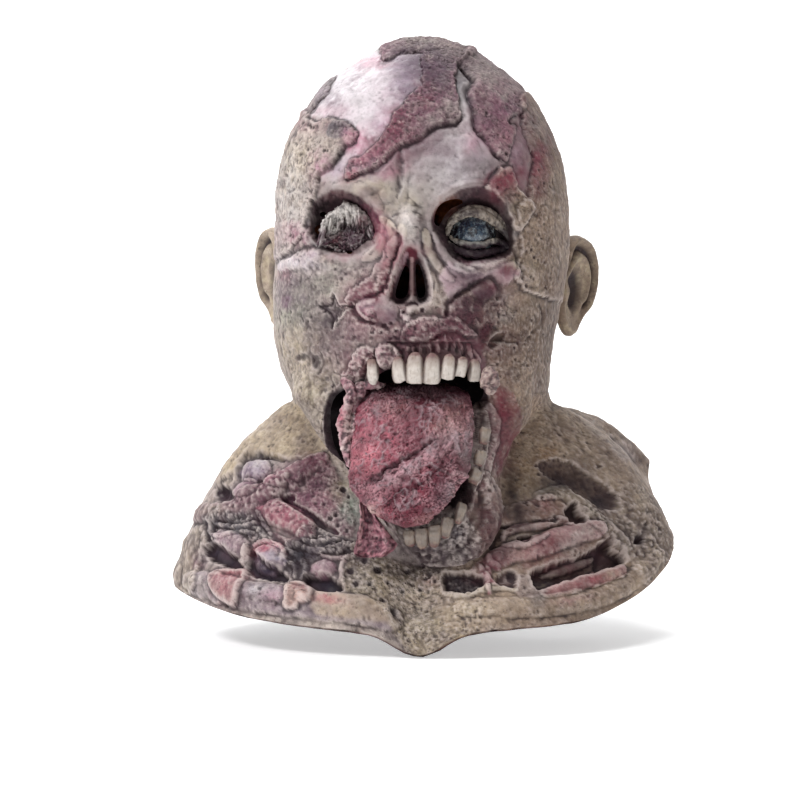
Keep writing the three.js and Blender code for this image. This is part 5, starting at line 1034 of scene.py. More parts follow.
# the long slot
patch([(531.1, 574.8), (536.1, 569.4), (546.1, 566), (572.6, 559.4), (595.8, 547.8), (605.8, 539.5), (609.9, 540.8), (611.1, 547.8), (625.7, 559.1), (617.4, 565.7), (595.8, 571), (575.9, 577.7), (552.7, 585.9), (539.4, 589.9), (533.6, 584)],
      3.0, -6.5, 0.0, 0.0, colour=srgb(26, 18, 32), amount=0.96, rough=0.8, pit=0.3, on=BIB)
tube([(544.4, 572.3), (566, 565.7), (585.9, 559.9), (600.8, 554.1)], 5.0, 3.0, colour=srgb(122, 110, 106), amount=0.8, taper=0.7, on=BIB)
fibres([(536.1, 585.6), (546.1, 570.7), (595.8, 555.8), (609.1, 562.4), (579.2, 575.7)], 17, 0.5, 2.6, 0.2, 0.12, on=BIB)
groove([(607.8, 540.8), (604.1, 552.4), (602.4, 562.4), (601.6, 569)], 3.4, 2.2, 0.85, colour=srgb(30, 28, 44), on=BIB)
groove([(536.1, 570.7), (559.3, 562.4), (584.2, 552.4), (602.4, 542.5)], 2.0, 0.8, 0.6, on=BIB)
tube([(546.1, 593.1), (572.6, 585.6), (595.8, 578.1), (620.7, 570.7)], 9, 3.0, colour=srgb(164, 104, 110), amount=0.85, taper=0.3, on=BIB, pit=0.8)
wash(589.2, 581.5, 18, 5, srgb(176, 76, 94), 0.7, 16, on=BIB)
wash(609.1, 575.7, 10, 6, CREAM, 0.4, on=BIB)
tube([(459.8, 608.8), (489.7, 607.2), (522.9, 607.2), (556, 605.5), (589.2, 598.9), (615.7, 590.6), (638.9, 575.7), (657.2, 555.8)], 11, 3.0, colour=srgb(168, 148, 126), amount=0.6, taper=0.3, on=BIB, power=0.7)
wash(572.6, 600.5, 22, 5, srgb(172, 128, 124), 0.6, 10, on=BIB)
wash(536.1, 598.9, 12, 10, srgb(110, 102, 98), 0.6, on=BIB)
patch([(443.3, 574.8), (453.2, 572.3), (473.1, 574), (483.1, 580.6), (481.4, 587.3), (463.2, 592.6), (448.2, 590.6), (443.3, 584)], 3.0, -5.5, 0.0, 0.0, colour=srgb(26, 26, 42), amount=0.95, on=BIB)
patch([(496.3, 575.7), (509.6, 570.7), (516.2, 575.7), (514.6, 587.3), (503, 585.6), (496.3, 582.3)], 4, -3.0, 0.0, 0.0, colour=srgb(96, 76, 80), amount=0.85, on=BIB)
lump(511.6, 575.7, 5, 6, 30, -1.8, colour=srgb(56, 56, 62), amount=0.85, on=BIB)
for pts in ([(484.7, 562.4), (488, 572.3), (487.2, 584), (489.7, 593.9)], [(479.7, 565.7), (484.7, 575.7), (491.4, 582.3), (496.3, 584)], [(486.4, 555.8), (491.4, 565.7), (499.6, 569)]):
    tube(pts, 3.2, 2.0, colour=srgb(168, 84, 102), amount=0.8, on=BIB, shade=0.4)
patch([(469.8, 570.7), (484.7, 555.8), (503, 555.8), (496.3, 567.4), (484.7, 570.7)], 4, 1.2, colour=CRIMSON, amount=0.55, mottle=0.5, on=BIB)
patch([(516.2, 575.7), (529.5, 577.3), (536.1, 585.6), (546.1, 593.9), (529.5, 598.9), (516.2, 593.9)], 4, 1.2, colour=srgb(140, 122, 120), amount=0.7, on=BIB)
tube([(444.9, 593.9), (459.8, 595.6), (479.7, 590.6), (499.6, 587.3), (516.2, 590.6)], 4, 1.6, colour=srgb(196, 184, 164), amount=0.6, wrinkle=0.4, on=BIB)
wash(463.2, 612.1, 26, 9, srgb(186, 170, 142), 0.6, on=BIB)


# ---------------------------------------------------------------- the surface, and paint that follows the relief
def grid(a):
    return a.reshape(NR, NC, *a.shape[1:])


def blur(a, n):
    for _ in range(n):
        a = (np.roll(a, 1, 1) + 2 * a + np.roll(a, -1, 1)) / 4
        up, down = np.vstack([a[:1], a[:-1]]), np.vstack([a[1:], a[-1:]])
        a = (up + 2 * a + down) / 4
    return a


def widest(a, n):
    for _ in range(n):
        a = np.maximum(np.maximum(a, np.roll(a, 1, 1)), np.roll(a, -1, 1))
        a = np.maximum(np.maximum(a, np.vstack([a[:1], a[:-1]])), np.vstack([a[1:], a[-1:]]))
    return a


H += 0.22 * PIT * noise(X3, 2.2, 141)
f1, f2, _ = cells(X3, 5.2, 142)
hole = step(0.34, 0.12, f1) * step(-0.05, 0.25, noise(X3, 16.0, 143)) * np.clip(PIT, 0, 1.4)
H -= 0.7 * hole
tint(np.arange(len(X3)), hole, UMBER, 0.5)
f1, f2, _ = cells(X3, 2.9, 144)
small = step(0.36, 0.1, f1) * step(0.0, 0.2, noise(X3, 11.0, 145)) * np.clip(PIT - 0.3, 0, 1)
H -= 0.3 * small
tint(np.arange(len(X3)), small, UMBER, 0.35)

# leathery folds, creases and lumps, least on the bare bone
forehead = step(196, 176, v0) * step(300, 330, u0) * seen0
quiet = np.clip(step(465, 530, u0) * 0.62 + on_bib * 0.55 + (1 - seen0) * 0.5 + forehead * 0.5, 0, 0.75)
rough_skin = np.clip(PIT - 0.25, 0, 1.1) * (1 - quiet)
lively = rough_skin
q = X3 + 3.2 * np.stack([noise(X3, 12.0, s) for s in (151, 152, 153)], -1)
H += rough_skin * (0.8 * fbm(q, 9.0, 4, 154) + 0.40 * fbm(q, 4.2, 3, 149))
for size, depth, cover, s in ((13.0, 0.95, 0.10, 155), (6.5, 0.50, 0.12, 156)):
    thin = step(0.16, 0.0, np.abs(noise(q, size, s))) * step(cover, cover + 0.3, noise(X3, size * 2.2, s + 10))
    H -= depth * thin * rough_skin
    tint(np.arange(len(X3)), thin * rough_skin, srgb(58, 38, 42), 0.5)
# sponged stains over everything
every = np.arange(len(X3))
face_part = np.exp(-(((u0 - 425) / 105) ** 2 + ((v0 - 270) / 130) ** 2) ** 2) * seen0 * head_or_jaw
a = fbm(q, 8.0, 4, 157)
tint(every, np.clip(a * 2.6, 0, 1) * (0.30 + 0.70 * np.clip(rough_skin, 0, 1)), srgb(66, 42, 48), 0.50)
a = fbm(q, 19.0, 4, 158)
tint(every, np.clip(a * 2.2 + 0.1, 0, 1) * face_part * (0.3 + 0.7 * np.clip(rough_skin, 0, 1)), srgb(100, 34, 58), 0.62)
a = fbm(q, 13.0, 4, 159)
tint(every, np.clip(a * 2.4, 0, 1) * (0.3 + 0.7 * np.clip(rough_skin, 0, 1)), srgb(132, 128, 122), 0.40)
a = fbm(q, 4.0, 4, 160)
tint(every, np.clip(a * 3.0, 0, 1) * rough_skin, srgb(210, 198, 188), 0.34)
tint(every, np.clip(-a * 3.0, 0, 1) * rough_skin, srgb(50, 34, 40), 0.42)
# painted shade: the right side of the chart, away from the key light, darkened towards brown
far_side_shade = step(460, 560, u0) * seen0
tint(every, far_side_shade * np.clip(0.8 + fbm(q, 15.0, 4, 161) * 1.6, 0, 1), srgb(84, 62, 50), 0.38)
# painted shade: head and jaw surfaces low on the face that face downwards are darkened
under = step(0.25, -0.5, N0.reshape(-1, 3)[:, 2]) * seen0 * step(0.3, 1.0, head_or_jaw)
tint(every, under * (v0 > 330), srgb(70, 50, 44), 0.45)

# thin dark glazes, by region
for u, v, ru, rv, colour, amount, tilt in (
        (480, 300, 24, 12, srgb(62, 16, 34), 0.80, 25), (478, 275, 24, 7, srgb(92, 56, 72), 0.50, 0), (482, 330, 26, 18, srgb(76, 26, 40), 0.65, 0), (500, 347, 18, 16, srgb(84, 40, 48), 0.45, 0),
        (425, 326, 30, 9, srgb(96, 44, 60), 0.50, 0), (462, 345, 34, 9, srgb(84, 24, 42), 0.55, 0), (500, 410, 10, 40, srgb(104, 24, 44), 0.60, 8), (480, 510, 14, 34, srgb(80, 34, 46), 0.55, 24),
        (425, 72, 28, 22, srgb(84, 60, 78), 0.60, 0), (440, 150, 32, 14, srgb(120, 102, 108), 0.42, 0), (478, 165, 26, 14, srgb(120, 112, 116), 0.30, 0), (505, 190, 18, 14, srgb(108, 32, 54), 0.60, 20),
        (520, 150, 12, 40, srgb(96, 48, 62), 0.45, -15), (562, 480, 32, 12, srgb(38, 20, 24), 0.65, 10), (600, 502, 14, 9, srgb(16, 10, 16), 0.80, 20), (258, 500, 36, 16, srgb(84, 42, 60), 0.55, 0),
        (312, 488, 26, 28, srgb(70, 34, 50), 0.65, 0), (312, 560, 22, 12, srgb(54, 38, 56), 0.55, 0), (212, 550, 16, 12, srgb(50, 38, 54), 0.45, 0), (430, 550, 34, 10, srgb(60, 46, 56), 0.40, 0),
        (300, 312, 22, 20, srgb(100, 98, 92), 0.50, 0), (330, 342, 22, 16, srgb(98, 86, 88), 0.40, 0), (545, 305, 20, 40, srgb(90, 68, 56), 0.42, 0), (345, 272, 34, 8, srgb(120, 104, 110), 0.35, 0),
        (372, 300, 14, 30, srgb(116, 48, 68), 0.45, 20), (425, 60, 30, 16, srgb(82, 62, 78), 0.5, 0), (400, 150, 26, 16, srgb(110, 44, 66), 0.45, 35), (350, 178, 10, 5, srgb(176, 84, 104), 0.55, 25),
        (455, 190, 18, 7, srgb(86, 62, 66), 0.45, -10), (435, 150, 20, 14, srgb(120, 92, 100), 0.35, 0), (490, 120, 20, 30, srgb(104, 66, 82), 0.45, -25), (470, 60, 30, 12, srgb(96, 84, 84), 0.5, -20), (548, 150, 12, 40, srgb(84, 60, 60), 0.4, -12),
        (335, 128, 12, 7, srgb(60, 56, 64), 0.6, 10), (330, 320, 16, 10, srgb(60, 56, 58), 0.55, 30), (300, 300, 20, 7, srgb(84, 70, 84), 0.5, 20), (320, 285, 16, 6, srgb(90, 84, 88), 0.5, 10), (310, 355, 8, 10, srgb(70, 62, 60), 0.5, 0),
        (352, 345, 18, 12, srgb(84, 50, 62), 0.5, 20), (385, 322, 14, 7, srgb(70, 30, 46), 0.5, -10), (410, 312, 16, 4, srgb(64, 24, 40), 0.6, 0), (440, 312, 12, 6, srgb(84, 34, 52), 0.5, 0), (452, 318, 16, 10, srgb(92, 44, 60), 0.5, 20),
        (470, 262, 24, 4, srgb(124, 68, 86), 0.45, -5), (430, 290, 5, 20, srgb(110, 88, 92), 0.4, -15), (300, 235, 10, 8, srgb(150, 76, 108), 0.5, 0), (285, 300, 8, 10, srgb(110, 70, 100), 0.5, 0), (360, 330, 22, 12, srgb(104, 56, 70), 0.40, 10), (395, 335, 24, 9, srgb(92, 44, 58), 0.40, 0), (350, 372, 12, 18, srgb(104, 40, 56), 0.45, 0),
        (395, 205, 10, 20, srgb(134, 124, 122), 0.40, 0), (437, 262, 14, 20, srgb(120, 104, 106), 0.40, -20), (455, 300, 14, 20, srgb(104, 66, 78), 0.45, 0), (574, 560, 30, 12, srgb(96, 44, 56), 0.40, 10),
        (400, 120, 27, 20, srgb(108, 34, 60), 0.48, 50), (422, 92, 15, 17, srgb(112, 40, 64), 0.42, 0), (385, 141, 28, 10, srgb(122, 36, 64), 0.40, 35), (362, 161, 16, 6, srgb(176, 84, 106), 0.30, 30),
        (500, 110, 24, 22, srgb(122, 66, 92), 0.42, -30), (521, 130, 10, 30, srgb(98, 40, 64), 0.42, 0), (537, 166, 10, 28, srgb(132, 38, 66), 0.46, -10), (505, 181, 22, 10, srgb(122, 24, 52), 0.55, 35),
        (355, 141, 10, 15, srgb(212, 124, 158), 0.45, 30), (322, 166, 9, 13, srgb(204, 138, 170), 0.42, 0), (470, 142, 10, 16, srgb(188, 116, 138), 0.22, 0), (392, 173, 18, 6, srgb(170, 100, 122), 0.24, 10),
        (370, 62, 15, 6, srgb(196, 140, 158), 0.55, 25), (402, 76, 12, 20, srgb(140, 118, 140), 0.45, 20), (328, 96, 12, 24, srgb(142, 126, 134), 0.62, 40), (354, 72, 24, 9, srgb(146, 130, 138), 0.55, 35),
        (231, 588, 15, 16, srgb(156, 82, 94), 0.45, 0), (286, 520, 20, 12, srgb(146, 58, 80), 0.45, -30), (300, 560, 13, 18, srgb(42, 40, 48), 0.70, 0), (234, 528, 26, 9, srgb(62, 60, 68), 0.55, 0),
        (312, 467, 11, 9, srgb(84, 16, 46), 0.65, 30), (306, 503, 18, 14, srgb(118, 56, 84), 0.42, 0), (275, 478, 18, 9, srgb(172, 96, 124), 0.40, 30), (353, 574, 9, 13, srgb(38, 26, 36), 0.65, 0),
        (225, 552, 12, 8, srgb(88, 58, 70), 0.35, 0), (262, 548, 16, 8, srgb(146, 66, 88), 0.45, 0), (262, 570, 16, 6, srgb(42, 32, 52), 0.55, 0), (322, 568, 12, 8, srgb(88, 58, 76), 0.42, 0),
        (340, 525, 16, 10, srgb(94, 68, 78), 0.35, 0), (590, 540, 50, 28, srgb(88, 40, 50), 0.24, 0), (540, 560, 28, 10, srgb(118, 30, 52), 0.42, 12), (520, 520, 14, 16, srgb(58, 32, 42), 0.42, 0),
        (612, 520, 24, 14, srgb(78, 64, 62), 0.32, 0), (482, 575, 20, 8, srgb(108, 38, 58), 0.42, 0), (430, 562, 30, 10, srgb(52, 40, 48), 0.36, 0), (250, 500, 34, 14, srgb(96, 52, 70), 0.34, 0),
        (321, 214, 11, 15, srgb(58, 38, 48), 0.55, 0), (372, 222, 6, 18, srgb(92, 34, 60), 0.50, 0), (334, 190, 20, 6, srgb(120, 96, 92), 0.45, 10), (480, 195, 24, 7, srgb(52, 24, 36), 0.45, -25),
        (425, 74, 30, 22, srgb(66, 40, 60), 0.55, 0), (478, 275, 26, 8, srgb(54, 32, 46), 0.50, 0), (480, 301, 24, 13, srgb(48, 10, 28), 0.60, 20), (425, 330, 38, 11, srgb(82, 26, 44), 0.60, 0),
        (545, 325, 26, 54, srgb(74, 52, 42), 0.34, 0), (502, 440, 12, 44, srgb(88, 18, 38), 0.50, 6), (482, 530, 18, 26, srgb(70, 24, 36), 0.42, 20), (562, 482, 30, 12, srgb(22, 12, 16), 0.55, 10),
        (436, 152, 32, 16, srgb(104, 88, 96), 0.34, 0), (362, 300, 34, 26, srgb(112, 34, 62), 0.32, 20), (383, 240, 10, 30, srgb(150, 48, 78), 0.38, 10), (318, 320, 26, 30, srgb(66, 52, 62), 0.38, 0),
        (400, 338, 20, 10, srgb(70, 22, 40), 0.50, 0), (455, 330, 26, 14, srgb(78, 22, 40), 0.50, 15), (300, 258, 16, 7, srgb(130, 60, 92), 0.40, 20), (344, 196, 26, 7, srgb(96, 56, 62), 0.45, 5),
        (640, 535, 22, 16, srgb(66, 56, 54), 0.45, 0), (600, 455, 40, 16, srgb(100, 80, 66), 0.40, 10), (402, 575, 24, 8, srgb(62, 50, 52), 0.40, 0), (330, 215, 8, 26, srgb(60, 30, 42), 0.35, 0)):
    wash(u, v, ru, rv, colour, amount, tilt, mottle=1.6, seed=int(u + v))
# painted shade inside the mouth: its rim darkened again, and the gap at the wearer's right corner, behind the sinew,
# made near-black
i = box(mouth_line, 26, head_or_jaw)
sd = inside(u0[i] + 1.2 * wu[i], v0[i] + 1.2 * wv[i], mouth_line)
left_edge = step(362, 346, u0[i]) * step(384, 394, v0[i])
gum = np.maximum(step(464, 475, u0[i]) * step(396, 412, v0[i]), step(503, 514, v0[i]) * step(384, 398, u0[i]))
tint(i, head_or_jaw[i] * step(-3.0, 0.0, sd) * (1 - left_edge) * (1 - 0.8 * gum), srgb(44, 14, 26), 0.85)
tint(i, head_or_jaw[i] * step(-9.0, -4.0, sd) * left_edge * step(482, 474, v0[i]), srgb(34, 16, 28), 0.94)
# painted shade on the bib: the gap behind the jaw on the wearer's left, and painted shadow under the jaw and the chin
wash(514, 500, 9, 34, srgb(26, 12, 18), 0.85, 10, on=BIB, mottle=0.5)
wash(500, 556, 16, 9, srgb(40, 16, 24), 0.75, 30, on=BIB, mottle=0.6)
wash(425, 572, 34, 6, srgb(30, 20, 24), 0.75, 0, on=BIB, mottle=0.8)
wash(368, 560, 14, 12, srgb(40, 24, 32), 0.6, 0, on=BIB, mottle=0.8)
tube([(380.5, 522.9), (389.6, 535.2), (398.8, 545.9), (407.2, 557.3), (418, 566.2), (431.7, 572.3), (447, 573), (462.3, 568.1)], 2.4, 0.8, colour=srgb(206, 172, 170), amount=0.75, taper=0.3, on=JAWS)
for u, v, ru, rv, colour, amount, tilt in (
        (292, 200, 18, 40, srgb(212, 206, 202), 0.45, 0), (300, 262, 22, 6, srgb(226, 220, 224), 0.55, -10), (420, 600, 34, 12, srgb(190, 172, 156), 0.45, 0), (408, 222, 10, 14, srgb(214, 206, 202), 0.45, 0),
        (250, 425, 26, 12, srgb(204, 192, 178), 0.35, 0), (372, 250, 12, 14, srgb(202, 186, 184), 0.35, 30)):
    wash(u, v, ru, rv, colour, amount, tilt, mottle=1.6, seed=int(u + v))

fade = step(0, 10, row_of)  # the crown's first rings stay even
H *= fade
Hg, Dg = grid(H), grid(DEEP)
relief = Hg - Dg
ridge = Hg - 0.25 * Dg - blur(Hg - 0.25 * Dg, 6)
fine = relief - blur(relief, 2)
low_spot, high_spot = np.clip(-ridge * 1.2 - fine * 2.4, 0, 1).ravel(), np.clip(ridge * 0.5 + fine * 2.0, 0, 1).ravel()
every = np.arange(len(X3))
tint(every, low_spot * np.clip(0.75 + 1.2 * fbm(X3, 15.0, 3, 146), 0.35, 1), srgb(30, 16, 22), 0.80)
tint(every, high_spot * np.clip(PIT, 0.25, 1) * step(0.02, 0.16, COL.mean(1)) * (1 - 0.55 * forehead), srgb(226, 212, 206), 0.50)
OUTER = G + N0 * Hg[..., None] - BACK * Dg[..., None]
CAVITY = low_spot
ROUGH += (0.9 - ROUGH) * step(0.05, 0.012, COL.mean(1))  # dark recesses don't shine

inset = 3.0 + widest(np.clip(-Hg, 0, None), 4)
INNER = G - blur(N0, 3) * inset[..., None] - BACK * widest(Dg, 5)[..., None]
INNER[-1] = OUTER[-1] - blur(N0, 3)[-1] * 3.0


def casting(name, top, bottom, apex):
    """A closed mesh of the grid's rows from top to bottom, with its lining."""
    used = {}
    verts = []

    def vert(side, r, c):
        key = (side, r, c % NC)
        if key not in used:
            used[key] = len(verts)
            verts.append((OUTER if side == 0 else INNER)[r, c % NC])
        return used[key]

    faces = []
    front_end, side_end = N_FRONT - 1, N_FRONT - 1 + N_SIDE
    steps = np.ones(NC, int)
    for c in range(NC):
        steps[c] = 1 if c < front_end else 2 if c < side_end else 4 if c < NC - 1 - N_SIDE else 2
    for c in range(NC):
        s, t = steps[c], steps[(c + 1) % NC]
        left, right = steps[(c - 1) % NC], t
        for r in range(top, bottom, s):
            west = list(range(r, r + s + 1, min(s, left)))
            east = list(range(r, r + s + 1, min(s, right)))
            faces.append([vert(0, q, c) for q in west] + [vert(0, q, c + 1) for q in reversed(east)])
    inner_cols = list(range(0, front_end, 4)) + list(range(front_end, NC, 2))
    inner_rows = list(range(top, bottom + 1, 4))
    for k, c in enumerate(inner_cols):
        c2 = inner_cols[(k + 1) % len(inner_cols)]
        for r, r2 in zip(inner_rows, inner_rows[1:]):
            faces.append([vert(1, r, c), vert(1, r, c2), vert(1, r2, c2), vert(1, r2, c)])
    for row, flip in ((top, False), (bottom, True)):
        if row == top and apex:
            continue
        for k, c in enumerate(inner_cols):
            c2 = inner_cols[(k + 1) % len(inner_cols)]
            stop = c2 if c2 > c else c2 + NC
            face = [vert(0, row, q) for q in range(c, stop + 1)] + [vert(1, row, c2), vert(1, row, c)]
            faces.append(face[::-1] if flip else face)
    if apex:
        for side, cols in ((0, list(range(NC))), (1, inner_cols)):
            tip = len(verts)
            verts.append(np.array([-1.5, 8.0, 234.0 if side == 0 else 231.0]))
            for k, c in enumerate(cols):
                c2 = cols[(k + 1) % len(cols)]
                face = [vert(side, top, c), vert(side, top, c2), tip]
                faces.append(face if side == 0 else face[::-1])
    index = np.array([(k[0], k[1], k[2]) for k in used], int)
    place_in = np.array(list(used.values()), int)
    src = np.zeros((len(verts), 3), int)
    src[place_in] = index
    if apex:
        src[-2], src[-1] = (0, top, 0), (1, top, 0)
    return np.array(verts), faces, src


def make(name, verts, faces, smooth=True):
    mesh = bpy.data.meshes.new(name)
    mesh.from_pydata([tuple(p) for p in world(verts)], [], faces)
    mesh.validate()
    mesh.update()
    obj = bpy.data.objects.new(name, mesh)
    bpy.context.scene.collection.objects.link(obj)
    if smooth:
        mesh.shade_smooth()
    return obj


def turned_out(verts, faces):
    """Whether the faces of a closed mesh look outwards."""
    total = 0.0
    for f in faces[::1]:
        p = verts[f]
        total += np.sum(p[0] * np.cross(p[1:-1], p[2:]).sum(0)) if len(f) > 3 else np.dot(p[0], np.cross(p[1], p[2]))
    return total > 0


def prism(outline, near, far):
    """A solid along the lines of sight through an outline of the chart, from y = near to y = far."""
    pts = curve(outline, 2, True)
    a = [place(u, v, near) for u, v in pts]
    b = [place(u, v, far) for u, v in pts]
    n = len(pts)
    verts = np.array(a + b)
    faces = [[k, (k + 1) % n, n + (k + 1) % n, n + k] for k in range(n)] + [list(range(n))[::-1], list(range(n, 2 * n))]
    if not turned_out(verts, faces):
        faces = [f[::-1] for f in faces]
    return verts, faces


def ring(u, v, ru, rv, tilt=0.0, n=14):
    a = math.radians(tilt)
    t = np.linspace(0, 2 * np.pi, n + 1)[:-1]
    x, y = ru * np.cos(t), rv * np.sin(t)
    return [(u + p * math.cos(a) + q * math.sin(a), v - p * math.sin(a) + q * math.cos(a)) for p, q in zip(x, y)]


CUTS = {
    "mouth": ([(344, 390), (352, 383), (366, 382), (380, 374), (392, 369), (420, 371), (450, 369), (470, 369), (480, 376), (484, 388), (481, 399), (470, 408), (464, 440), (458, 470), (446, 492), (430, 499), (405, 499), (388, 496), (371, 488), (359, 480), (350, 472), (344, 462), (335, 447), (331, 428), (331, 408), (336, 396)], -150, -45),
    "sight_left": ([(434, 222), (436, 211), (441, 204), (449, 200), (459, 199), (463, 203), (452, 208), (445, 215), (439, 226)], -130, -45),
    "sight_right": (ring(319.5, 230, 4.6, 5.0), -130, -35),
    "sight_right_2": (ring(323, 214.5, 3.0, 2.6), -130, -35),
    "sight_right_3": (ring(349.5, 252, 3.0, 2.0), -130, -35),
    "nostril_right": ([(405, 266), (399.5, 279), (396, 291), (396, 297.5), (403, 298.5), (407.5, 293), (409, 281), (409, 269)], -140, -55),
    "nostril_left": ([(416, 265), (420, 266), (424, 280), (425.5, 291), (423.5, 297), (419, 297.5), (417, 292), (416, 281)], -140, -55),
}


def cut(obj, names):
    for n in names:
        outline, near, far = CUTS[n]
        v, f = prism(outline, near, far)
        tool = make("tool_" + n, v, f, smooth=False)
        mod = obj.modifiers.new("cut_" + n, "BOOLEAN")
        mod.operation, mod.solver, mod.object = "DIFFERENCE", "MANIFOLD", tool
    deps = bpy.context.evaluated_depsgraph_get()
    result = bpy.data.meshes.new_from_object(obj.evaluated_get(deps))
    obj.modifiers.clear()
    obj.data = result
    for n in names:
        bpy.data.objects.remove(bpy.data.objects["tool_" + n])


def paint(obj, source, colours, mixes):
    """Carries colour and finish from a chart of places to the mesh's own points, by the nearest place."""
    mesh = obj.data
    n = len(mesh.vertices)
    co = np.zeros(n * 3, np.float32)
    mesh.vertices.foreach_get("co", co)
    co = co.reshape(-1, 3)
    tree = kdtree.KDTree(len(source))
    for k, p in enumerate(world(source)):
        tree.insert(p, k)
    tree.balance()
    near = np.array([tree.find(p)[1] for p in co])
    for name, data in (("Col", colours[near]), ("Mix", mixes[near])):
        layer = mesh.color_attributes.new(name, "FLOAT_COLOR", "POINT")
        rgba = np.ones((n, 4), np.float32)
        rgba[:, :3] = data
        layer.data.foreach_set("color", rgba.ravel())
    return near


# ---------------------------------------------------------------- materials
class Nodes:
    """A short way of writing a shader's nodes."""

    def __init__(self, name):
        self.material = bpy.data.materials.new(name)
        self.material.use_nodes = True
        self.tree = self.material.node_tree
        self.tree.nodes.clear()
        self.out = self.add("ShaderNodeOutputMaterial")
        self.shader = self.add("ShaderNodeBsdfPrincipled")
        self.link(self.shader.outputs[0], self.out.inputs[0])
        self.where = self.add("ShaderNodeTexCoord").outputs["Object"]

    def add(self, kind, **sets):
        node = self.tree.nodes.new(kind)
        for k, v in sets.items():
            setattr(node, k, v)
        return node

    def link(self, a, b):
        self.tree.links.new(a, b)

    def put(self, socket, value):
        if isinstance(value, bpy.types.NodeSocket):
            self.link(value, socket)
        else:
            socket.default_value = value

    def noise(self, scale, detail=4.0, rough=0.6, distortion=0.0, stretch=None):
        n = self.add("ShaderNodeTexNoise")
        n.inputs["Scale"].default_value, n.inputs["Detail"].default_value = scale, detail
        n.inputs["Roughness"].default_value, n.inputs["Distortion"].default_value = rough, distortion
        self.link(self.stretch(stretch) if stretch else self.where, n.inputs["Vector"])
        return n.outputs["Fac"]

    def stretch(self, by):
        m = self.add("ShaderNodeMapping")
        m.inputs["Scale"].default_value = by[:3]
        if len(by) > 3:
            m.inputs["Rotation"].default_value = by[3:]
        self.link(self.where, m.inputs["Vector"])
        return m.outputs[0]

    def voronoi(self, scale, feature="F1", randomness=1.0, smooth=None, warp=0.0):
        n = self.add("ShaderNodeTexVoronoi", feature=feature)
        n.inputs["Scale"].default_value, n.inputs["Randomness"].default_value = scale, randomness
        if smooth is not None:
            n.inputs["Smoothness"].default_value = smooth
        vector = self.where
        if warp:
            w = self.add("ShaderNodeTexNoise")
            w.inputs["Scale"].default_value = scale * 0.6
            self.link(self.where, w.inputs["Vector"])
            mix = self.add("ShaderNodeVectorMath", operation="MULTIPLY_ADD")
            self.link(w.outputs["Color"], mix.inputs[0])
            mix.inputs[1].default_value = (warp / scale,) * 3
            self.link(self.where, mix.inputs[2])
            vector = mix.outputs[0]
        self.link(vector, n.inputs["Vector"])
        return n.outputs["Distance"]

    def math(self, op, a, b=0.0, c=0.0, clamp=False):
        n = self.add("ShaderNodeMath", operation=op, use_clamp=clamp)
        for k, value in enumerate((a, b, c)):
            if k < len(n.inputs):
                self.put(n.inputs[k], value)
        return n.outputs[0]

    def fit(self, value, a, b, c=0.0, d=1.0, smooth=True):
        n = self.add("ShaderNodeMapRange", interpolation_type="SMOOTHSTEP" if smooth else "LINEAR")
        self.put(n.inputs["Value"], value)
        for key, x in (("From Min", a), ("From Max", b), ("To Min", c), ("To Max", d)):
            n.inputs[key].default_value = x
        return n.outputs[0]

    def mix(self, factor, a, b, blend="MIX"):
        n = self.add("ShaderNodeMix", data_type="RGBA", blend_type=blend)
        self.put(n.inputs[0], factor)
        for socket, value in ((n.inputs[6], a), (n.inputs[7], b)):
            if isinstance(value, bpy.types.NodeSocket):
                self.link(value, socket)
            else:
                socket.default_value = (*value, 1.0)
        return n.outputs[2]

    def attribute(self, name, part="Color"):
        n = self.add("ShaderNodeAttribute", attribute_name=name)
        return n.outputs[part]

    def parts(self, colour):
        n = self.add("ShaderNodeSeparateColor")
        self.link(colour, n.inputs[0])
        return n.outputs[0], n.outputs[1], n.outputs[2]

    def bump(self, height, distance, strength=1.0, before=None):
        n = self.add("ShaderNodeBump")
        n.inputs["Distance"].default_value, n.inputs["Strength"].default_value = distance, strength
        self.link(height, n.inputs["Height"])
        if before is not None:
            self.link(before, n.inputs["Normal"])
        return n.outputs[0]

    def finish(self, colour=None, rough=None, normal=None, **constants):
        if colour is not None:
            self.put(self.shader.inputs["Base Color"], colour if isinstance(colour, bpy.types.NodeSocket) else (*colour, 1.0))
        if rough is not None:
            self.put(self.shader.inputs["Roughness"], rough)
        if normal is not None:
            self.link(normal, self.shader.inputs["Normal"])
        for key, value in constants.items():
            self.shader.inputs[key.replace("_", " ")].default_value = value
        return self.material


